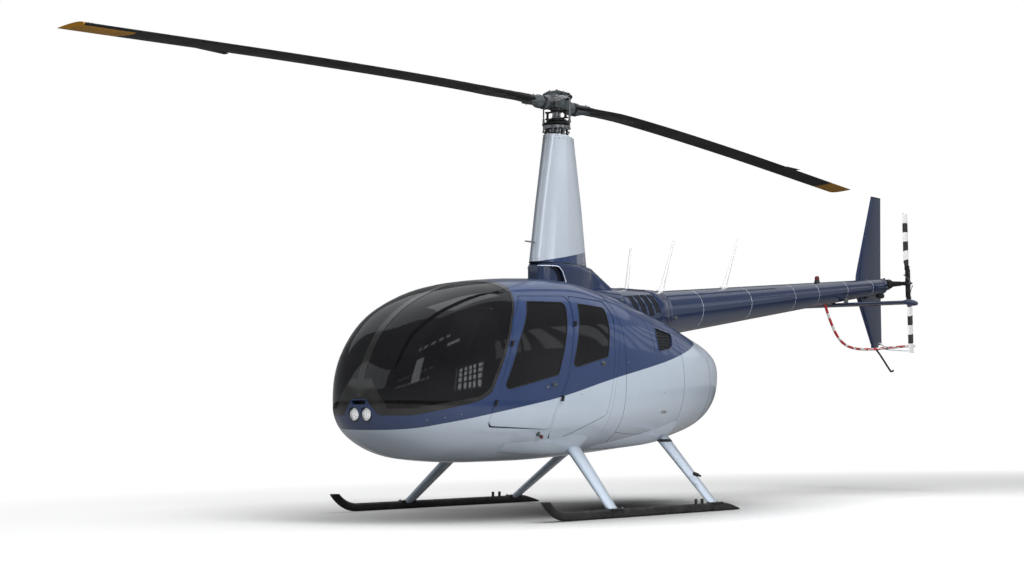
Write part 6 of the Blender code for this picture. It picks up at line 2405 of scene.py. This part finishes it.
def strap(points, across=(0.0, 1.0, 0.3)):
    """Flat webbing along points, its width along the direction across."""
    path = smooth_path(points, 6)
    across = Vector(across).normalized() * (BELT_WIDTH / 2.0)
    count = len(path) - 1
    sheet = sheet_of(4, count, lambda u, v: path[round(v * count)] + across * (2.0 * u - 1.0))
    return thick(sheet, BELT_DEPTH)


def build_seats():
    """Two front seats and the rear bench, with belts."""
    (x_low, x_high), (y_low, y_high), low_z, high_z = FRONT_CUSHION
    middle = (x_low + x_high) / 2.0
    height = BACK_TOP_Z - high_z
    back_foot_y = y_high - 0.004
    lean = lean_matrix(back_foot_y, high_z, 0.08, height)
    seat_cover = cushion((x_low, x_high), (y_low, y_high), low_z, high_z, 3)
    back_cover = moved(
        seat_back((x_low + 0.006, x_high - 0.006), back_foot_y, 0.075, high_z + 0.004, BACK_TOP_Z, 4), lean
    )
    pan = gather(
        block(((x_low, x_high), (y_low + 0.004, y_high + 0.02), (low_z - 0.03, low_z)), 0.008, 3),
        block(
            ((x_low + 0.02, x_high - 0.02), (y_low + 0.03, y_high), (FLOOR_Z + 0.004, low_z - 0.028)), 0.01, 3
        )
    )
    shell = moved(
        block(
            (
                (x_low + 0.004, x_high - 0.004), (back_foot_y + 0.074, back_foot_y + 0.104),
                (low_z, BACK_TOP_Z - 0.006)
            ),
            0.012, 3
        ),
        lean
    )
    webbing = []
    for shift in (-0.085, 0.085):
        x = middle + shift
        webbing.append(
            strap(
                (
                    (x, back_foot_y + 0.235, 1.372), (x, back_foot_y + 0.14, 1.402),
                    (x, back_foot_y + 0.055, 1.378), (x, back_foot_y + 0.005, 1.25),
                    (x - shift * 0.4, back_foot_y - 0.035, 1.06),
                    (middle + shift * 0.25, back_foot_y - 0.09, 0.935)
                ),
                TO_PORT
            )
        )
        webbing.append(
            strap(
                (
                    (middle + math.copysign(0.19, shift), back_foot_y - 0.02, 0.905),
                    (middle + math.copysign(0.15, shift), back_foot_y - 0.075, 0.928),
                    (middle + math.copysign(0.07, shift), back_foot_y - 0.11, 0.938),
                    (middle, back_foot_y - 0.116, 0.939)
                )
            )
        )
    buckle = gather(
        turned(
            ((0.0, 0.012), (0.022, 0.012), (0.03, 0.008), (0.03, 0.0), (0.0, 0.0)),
            (middle, back_foot_y - 0.116, 0.94), (0.0, 0.15, 1.0), 28
        ),
        block(
            ((middle - 0.018, middle + 0.018), (back_foot_y - 0.122, back_foot_y - 0.11), (0.95, 0.958)),
            0.002
        )
    )
    for side_name, side in SIDES:
        body = f"seat_front_{side_name}"
        seat = make(
            f"{body}_cushion", to_side(seat_cover.copy(), side), "seat_leather", stands_for=(body,),
            sharp=70.0
        )
        back = make(f"{body}_back_cushion", to_side(back_cover.copy(), side), "seat_leather", sharp=70.0)
        make(f"{body}_pan", to_side(pan.copy(), side), "cabin_lining")
        make(f"{body}_back_shell", to_side(shell.copy(), side), "cabin_lining")
        for k, piece in enumerate(webbing):
            make(f"{body}_strap_{k + 1}", to_side(piece.copy(), side), "belt_webbing", sharp=50.0)
        make(f"{body}_buckle", to_side(buckle.copy(), side), "bare_steel")
    for bm in (seat_cover, back_cover, pan, shell, buckle, *webbing):
        bm.free()

    (x_low, x_high), (y_low, y_high), low_z, high_z = REAR_CUSHION
    foot_y = y_high - 0.006
    lean = lean_matrix(foot_y, high_z, 0.04, height)
    seat_cover = cushion((x_low, x_high), (y_low, y_high), low_z, high_z, 2)
    back_cover = moved(seat_back((x_low, x_high), foot_y, 0.07, high_z + 0.004, BACK_TOP_Z, 4), lean)
    for k in (-1, 0, 1):
        shift = Matrix.Translation((k * REAR_SEAT_STEP, 0.0, 0.0))
        seat = make(f"rear_bench_cushion_{k + 2}", moved(seat_cover.copy(), shift), "seat_leather",
                    stands_for=("rear_bench",) if k == 0 else (), sharp=70.0)
        back = make(f"rear_bench_back_{k + 2}", moved(back_cover.copy(), shift), "seat_leather", sharp=70.0)
        x = k * REAR_SEAT_STEP
        lap = [
            strap(
                (
                    (x + s * 0.165, foot_y - 0.012, 0.908), (x + s * 0.13, foot_y - 0.06, 0.93),
                    (x + s * 0.05, foot_y - 0.095, 0.938), (x, foot_y - 0.1, 0.939)
                )
            )
            for s in (-1.0, 1.0)
        ]
        make(f"rear_bench_straps_{k + 2}", lap, "belt_webbing", sharp=50.0)
        make(
            f"rear_bench_buckle_{k + 2}",
            block(((x - 0.03, x + 0.03), (foot_y - 0.125, foot_y - 0.08), (0.94, 0.952)), 0.004), "bare_steel"
        )
    seat_cover.free()
    back_cover.free()

    base = block(((-0.548, 0.548), (-0.806, -0.432), (FLOOR_Z + 0.004, low_z)), 0.012, 3)
    shell = moved(
        block(((-0.546, 0.546), (foot_y + 0.07, foot_y + 0.096), (low_z, BACK_TOP_Z - 0.01)), 0.01, 3), lean
    )
    make("rear_bench_base", gather(base, shell), "cabin_lining")


def gauge(at, turn, radius, marks=12):
    """A round instrument: bezel, face and marks, facing along Z before turn."""
    place = Matrix.Translation(at) @ turn
    bezel = turned(
        (
            (radius * 0.9, 0.002), (radius * 0.92, 0.006), (radius, 0.006), (radius * 1.04, 0.0),
            (radius * 0.9, -0.001), (radius * 0.9, 0.002)
        ),
        steps=32
    )
    face = turned(((0.0, 0.002), (radius * 0.91, 0.002), (radius * 0.91, -0.001), (0.0, -0.001)), steps=32)
    ticks = []
    for k in range(marks):
        angle = math.tau * k / marks
        tick = block(((radius * 0.7, radius * 0.84), (-0.0007, 0.0007), (0.0021, 0.0028)), 0.0)
        ticks.append(moved(tick, Matrix.Rotation(angle, 4, "Z")))
    hand = block(((-radius * 0.15, radius * 0.62), (-0.001, 0.001), (0.003, 0.0038)), 0.0)
    ticks.append(moved(hand, Matrix.Rotation(2.2 + 31.0 * radius, 4, "Z")))
    return moved(bezel, place), moved(face, place), moved(ticks, place)


PANEL_OUTLINE = ((-2.0, 0.942), (-1.85, 0.942), (-1.83, 1.16), (-1.93, 1.198))
# Instruments on the panel: x, height up the panel, radius
GAUGES = (
    (-0.165, 0.165, 0.034),
    (-0.165, 0.08, 0.034),
    (-0.085, 0.165, 0.034),
    (-0.085, 0.08, 0.034),
    (-0.005, 0.17, 0.027),
    (-0.005, 0.105, 0.027),
    (-0.005, 0.042, 0.022),
    (0.062, 0.17, 0.027),
    (0.062, 0.105, 0.027),
    (0.062, 0.042, 0.022),
    (0.14, 0.16, 0.036),
    (0.14, 0.072, 0.036),
)


def build_cabin():
    """Floor, walls, instruments and controls."""
    inside = hull(WALL + 0.0006)
    floor = carved(
        inside.copy(), block((ALL_ACROSS, (CABIN_FRONT_Y, 0.1), (0.578, FLOOR_Z)), 0.0), "INTERSECT"
    )
    floor = carved(floor, cutter_x(seam_side(-0.0006, True), *ALL_ACROSS), "INTERSECT")
    make("cabin_carpet", floor, ("carpet", "carpet"))
    wall = carved(inside.copy(), cutter_x(seam_side(-0.0006, True), *ALL_ACROSS), "INTERSECT")
    wall = carved(wall, cutter_x(seam_side(-0.022, True), *ALL_ACROSS))
    wall = carved(wall, block((ALL_ACROSS, (NOSEWARDS_Y, TAILWARDS_Y), (0.0, FLOOR_Z + 0.0004)), 0.0))
    make("cabin_rear_wall", wall, ("cabin_lining", "cabin_lining"))
    deck = carved(inside, block((ALL_ACROSS, (-0.195, 1.48), (0.876, 0.9)), 0.0), "INTERSECT")
    make("engine_deck", deck, ("dark_steel", "dark_steel"))

    console = gather(
        block(((-0.108, 0.108), (-2.016, -1.762), (FLOOR_Z + 0.001, 0.96)), 0.014, 3),
        block(((-0.092, 0.092), (-1.79, -1.7), (FLOOR_Z + 0.001, 0.82)), 0.012, 3),
        cutter_x(rounded(PANEL_OUTLINE, 0.016, 4), -0.235, 0.235, 0.006),
    )
    make("instrument_housing", console, "satin_black", stands_for=("instrument_console",))

    def hood_place(u, v):
        across = 2.0 * u - 1.0
        return Vector((0.262 * across, -1.96 + 0.16 * v, 1.206 - 0.022 * across**4 - 0.016 * v * v))

    make("glare_shield", thick(sheet_of(24, 10, hood_place), 0.006), "rubber")
    lean = math.atan2(0.02, 0.218)
    turn = Matrix(((-1, 0, 0, 0), (0, 0, 1, 0), (0, 1, 0, 0), (0, 0, 0, 1)))
    face_turn = Matrix.Rotation(lean, 4, "X") @ turn
    bezels, faces, marks = [], [], []
    for x, up, radius in GAUGES:
        at = Vector((x, -1.8485 + 0.0205 * up / 0.218, 0.942 + up))
        bezel, face, ticks = gauge(at, face_turn, radius)
        bezels.append(bezel)
        faces.append(face)
        marks.append(ticks)
    make("gauge_bezels", bezels, "dark_steel")
    make("gauge_faces", faces, "gauge_face")
    make("gauge_marks", marks, "white_mark")
    boxes, knobs = [], []
    for k in range(2):
        low = 0.7 + 0.08 * k
        boxes.append(block(((-0.08, 0.08), (-1.764, -1.754), (low + 0.006, low + 0.07)), 0.003))
        for x in (-0.062, 0.062):
            knobs.append(rod((x, -1.756, low + 0.038), (x, -1.738, low + 0.038), 0.01, 20, rounding=0.002))
        for j in range(5):
            knobs.append(
                rod(
                    (-0.03 + 0.015 * j, -1.756, low + 0.018), (-0.03 + 0.015 * j, -1.748, low + 0.018), 0.004,
                    12
                )
            )
    make("radio_fronts", boxes, "gauge_face")
    make("radio_knobs", knobs, "dark_steel")

    sticks, grips, pedals = [], [], []
    for side in (-1.0, 1.0):
        x = side * 0.31
        path = smooth_path(((x, -1.72, 0.602), (x, -1.735, 0.76), (x, -1.7, 0.88), (x, -1.665, 0.96)), 8)
        sticks.append(tube(path, 0.01, 14))
        sticks.append(
            turned(
                ((0.0, 0.0), (0.036, 0.0), (0.036, 0.004), (0.024, 0.016), (0.012, 0.03), (0.0, 0.03)),
                (x, -1.72, 0.601), UP, 28
            )
        )
        grips.append(
            tube(
                smooth_path(
                    ((x, -1.672, 0.945), (x, -1.655, 0.985), (x, -1.655, 1.03), (x, -1.668, 1.062)), 6
                ),
                0.018, 18, tip=0.85
            )
        )
        sticks.append(rod((side * 0.085, -1.42, 0.7), (side * 0.085, -1.64, 0.86), 0.011, 16, rounding=0.002))
        grips.append(
            rod((side * 0.085, -1.6, 0.831), (side * 0.085, -1.69, 0.8965), 0.017, 20, rounding=0.004)
        )
        for shift in (-0.075, 0.075):
            pedals.append(rod((x + shift, -1.93, 0.602), (x + shift, -1.965, 0.72), 0.008, 14))
            pedals.append(
                moved(
                    block(((-0.036, 0.036), (-0.006, 0.006), (-0.024, 0.07)), 0.003),
                    Matrix.Translation((x + shift, -1.96, 0.73)) @ Matrix.Rotation(math.radians(14.0), 4, "X")
                )
            )
    make("cabin_sticks", sticks, "satin_black")
    make("stick_grips", grips, "rubber")
    make("yaw_pedals", pedals, "bare_steel")
    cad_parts["engine_block"].data.materials.clear()
    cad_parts["engine_block"].data.materials.append(FINISHES["dark_steel"])


build_seats()
build_cabin()

# Room and camera

CAMERA_AT = Vector((9.045, -11.87 + DATUM_Y, 0.757))
CAMERA_TURN, CAMERA_RISE, CAMERA_ROLL = 38.716, -4.088, 0.146
CAMERA_FOCAL_PIXELS = 1808.0
PICTURE_WIDTH = 1024.0
ROOM_LIGHT = 0.14
# Painted shade under the object, darker where more of it is near: its reach, its power and the floor's own
# tone
FLOOR_SHADE_REACH, FLOOR_SHADE_POWER, FLOOR_TONE = 2.2, 2.8, 0.8
FLOOR_FADE_SHIFT, FLOOR_FADE_SCALE, FLOOR_FADE = (-1.6, -1.0, 0.0), (0.9, 0.5, 1.0), (1.9, 6.4)
# Name, place, aim, width, height, power, tint
SOFTBOXES = (
    ("top_light", (3.2, 0.5, 9.0), (0.0, 0.3, 0.6), 4.5, 9.0, 1050.0, (1.0, 1.0, 1.0)),
    ("front_light", (-0.5, -10.0, 7.0), (0.0, -0.8, 1.6), 3.0, 3.0, 420.0, (0.96, 0.98, 1.0)),
    ("port_light", (9.0, -4.5, 4.0), (0.0, -0.4, 1.2), 4.0, 3.0, 560.0, (1.0, 0.99, 0.98)),
    ("aft_light", (8.0, 7.0, 5.0), (0.0, 3.5, 1.8), 3.0, 3.0, 260.0, (0.98, 0.99, 1.0)),
)


def aim_camera():
    """The camera as it stood for the photo."""
    turn, rise, roll = (math.radians(value) for value in (CAMERA_TURN, CAMERA_RISE, CAMERA_ROLL))
    back = Vector((math.sin(turn) * math.cos(rise), -math.cos(turn) * math.cos(rise), math.sin(rise)))
    level = Vector((math.cos(turn), math.sin(turn), 0.0))
    upright = back.cross(level)
    right = level * math.cos(roll) + upright * math.sin(roll)
    up = upright * math.cos(roll) - level * math.sin(roll)
    lens = bpy.data.cameras.new("photo_camera")
    lens.sensor_width = 36.0
    lens.lens = lens.sensor_width * CAMERA_FOCAL_PIXELS / PICTURE_WIDTH
    lens.clip_end = 300.0
    camera = bpy.data.objects.new("photo_camera", lens)
    bpy.context.scene.collection.objects.link(camera)
    camera.matrix_world = Matrix.Translation(CAMERA_AT) @ axes(right, up, back)
    bpy.context.scene.camera = camera


def softbox(name, at, towards, width, height, power, tint):
    """A rectangular lamp that doesn't show in reflections."""
    lamp = bpy.data.lights.new(name, "AREA")
    lamp.shape = "RECTANGLE"
    lamp.size, lamp.size_y = width, height
    lamp.energy = power
    lamp.color = tint
    holder = bpy.data.objects.new(name, lamp)
    bpy.context.scene.collection.objects.link(holder)
    at = Vector(at) + Vector((0.0, DATUM_Y, 0.0))
    aim = Vector(towards) + Vector((0.0, DATUM_Y, 0.0)) - at
    holder.matrix_world = Matrix.Translation(at) @ pointing(aim, "-Z")
    holder.visible_glossy = False


# Bright patches that paint and glass mirror: turn in degrees, low and high, rise low and
# high, strength, bars across and up
BRIGHT_PATCHES = (
    (-3.0, 20.0, 0.03, 0.2, 2.6, 5.0, 4.0),
    (24.0, 100.0, 0.19, 0.38, 0.42, 15.0, 0.0),
    (-75.0, -22.0, 0.2, 0.235, 0.8, 11.0, 0.0),
    (-75.0, -22.0, 0.35, 0.38, 0.6, 9.0, 0.0),
    (78.0, 185.0, 0.42, 1.01, 0.42, 0.0, 0.0),
    (95.0, 150.0, 0.8, 0.97, 0.9, 0.0, 0.0),
    (-55.0, -12.0, 0.76, 0.8, 1.2, 5.0, 0.0),
    (-16.0, -2.0, 0.61, 0.66, 1.5, 0.0, 0.0),
    (-150.0, -100.0, 0.25, 0.6, 0.5, 0.0, 0.0),
    (-50.0, -36.0, 0.22, 0.62, 1.5, 0.0, 0.0),
)


def within(tree, value, low, high, softness):
    """1 between two limits and 0 outside them."""
    rising = above(tree, value, low, softness)
    return times(tree, rising, minus(tree, 1.0, above(tree, value, high, softness)))


def mirrored_shade(tree, direction):
    """Brightness that shows in reflections in a direction: dark, with the bright patches."""
    split = node(tree, "ShaderNodeSeparateXYZ")
    link(tree, direction, split.inputs["Vector"])
    turn = times(tree, sums(tree, "ARCTAN2", split.outputs["Y"], split.outputs["X"]), 180.0 / math.pi)
    rise = split.outputs["Z"]
    shade = ranged(tree, rise, 0.3, 0.16, 0.0, 0.35)
    for low, high, foot, top, strength, across, up in BRIGHT_PATCHES:
        patch = times(tree, within(tree, turn, low, high, 1.2), within(tree, rise, foot, top, 0.012))
        if across:
            bars = sums(tree, "SINE", times(tree, turn, math.tau * across / (high - low)))
            patch = times(tree, patch, above(tree, bars, -0.35, 0.25))
        if up:
            bars = sums(tree, "SINE", times(tree, rise, math.tau * up / (top - foot)))
            patch = times(tree, patch, above(tree, bars, -0.8, 0.25))
        shade = plus(tree, shade, times(tree, patch, strength))
    return shade


def light_world():
    """White behind the object, a dim even light, and dark with bright patches in reflections."""
    world = bpy.data.worlds.new("studio_air")
    bpy.context.scene.world = world
    world.use_nodes = True
    tree = world.node_tree
    tree.nodes.clear()
    out, seen = node(tree, "ShaderNodeOutputWorld"), node(tree, "ShaderNodeLightPath")
    coordinates = node(tree, "ShaderNodeTexCoord")
    mirrored = mirrored_shade(tree, coordinates.outputs["Generated"])
    shades = {"white": 1.0, "even": ROOM_LIGHT, "mirrored": mirrored}
    papers = {}
    for name, shade in shades.items():
        papers[name] = node(tree, "ShaderNodeBackground")
        tint = (1.0, 1.0, 1.0) if name == "white" else (0.93, 0.96, 1.0)
        papers[name].inputs["Color"].default_value = (*tint, 1.0)
        if isinstance(shade, float):
            papers[name].inputs["Strength"].default_value = shade
        else:
            link(tree, shade, papers[name].inputs["Strength"])
    mirrored_or_lit, shown = node(tree, "ShaderNodeMixShader"), node(tree, "ShaderNodeMixShader")
    link(tree, seen.outputs["Is Glossy Ray"], mirrored_or_lit.inputs["Fac"])
    link(tree, papers["even"].outputs["Background"], mirrored_or_lit.inputs[1])
    link(tree, papers["mirrored"].outputs["Background"], mirrored_or_lit.inputs[2])
    link(tree, seen.outputs["Is Camera Ray"], shown.inputs["Fac"])
    link(tree, mirrored_or_lit.outputs["Shader"], shown.inputs[1])
    link(tree, papers["white"].outputs["Background"], shown.inputs[2])
    link(tree, shown.outputs["Shader"], out.inputs["Surface"])


def lay_floor():
    """A pale floor that takes shadows, with painted shade near the object, and fades to white farther out."""
    bm = bmesh.new()
    bmesh.ops.create_grid(bm, x_segments=2, y_segments=2, size=90.0)
    floor = plain_object("studio_floor", bm)
    look = bpy.data.materials.new("studio_floor")
    look.use_nodes = True
    tree = look.node_tree
    out = next(n for n in tree.nodes if n.type == "OUTPUT_MATERIAL")
    tree.nodes.remove(tree.nodes["Principled BSDF"])
    matte, dull, glow = (
        node(tree, kind) for kind in ("ShaderNodeBsdfDiffuse", "ShaderNodeBsdfDiffuse", "ShaderNodeEmission")
    )
    # Painted shade: the floor's colour darkens where the object is near
    nearness = node(tree, "ShaderNodeAmbientOcclusion", samples=8)
    nearness.inputs["Distance"].default_value = FLOOR_SHADE_REACH
    nearness.inputs["Color"].default_value = (1.0, 1.0, 1.0, 1.0)
    shade = times(tree, sums(tree, "POWER", nearness.outputs["AO"], FLOOR_SHADE_POWER), FLOOR_TONE)
    tone = node(tree, "ShaderNodeCombineColor")
    for label in ("Red", "Green", "Blue"):
        link(tree, shade, tone.inputs[label])
    link(tree, tone.outputs["Color"], matte.inputs["Color"])
    dull.inputs["Color"].default_value = (0.3, 0.3, 0.3, 1.0)
    glow.inputs["Strength"].default_value = 1.0
    coordinates = node(tree, "ShaderNodeTexCoord")
    shift = node(tree, "ShaderNodeMapping")
    shift.inputs["Location"].default_value = FLOOR_FADE_SHIFT
    shift.inputs["Scale"].default_value = FLOOR_FADE_SCALE
    link(tree, coordinates.outputs["Object"], shift.inputs["Vector"])
    span = node(tree, "ShaderNodeVectorMath", operation="LENGTH")
    link(tree, shift.outputs["Vector"], span.inputs[0])
    fading, seen = node(tree, "ShaderNodeMixShader"), node(tree, "ShaderNodeLightPath")
    link(tree, ranged(tree, span.outputs["Value"], 0.0, 1.0, *FLOOR_FADE), fading.inputs["Fac"])
    link(tree, matte.outputs["BSDF"], fading.inputs[1])
    link(tree, glow.outputs["Emission"], fading.inputs[2])
    shown = node(tree, "ShaderNodeMixShader")
    link(tree, seen.outputs["Is Camera Ray"], shown.inputs["Fac"])
    link(tree, dull.outputs["BSDF"], shown.inputs[1])
    link(tree, fading.outputs["Shader"], shown.inputs[2])
    link(tree, shown.outputs["Shader"], out.inputs["Surface"])
    floor.data.materials.append(look)


def build_studio():
    """Ground, lamps and the world's light."""
    aim_camera()
    light_world()
    lay_floor()
    for row in SOFTBOXES:
        softbox(*row)
    bpy.context.scene.view_settings.view_transform = "Standard"


build_studio()
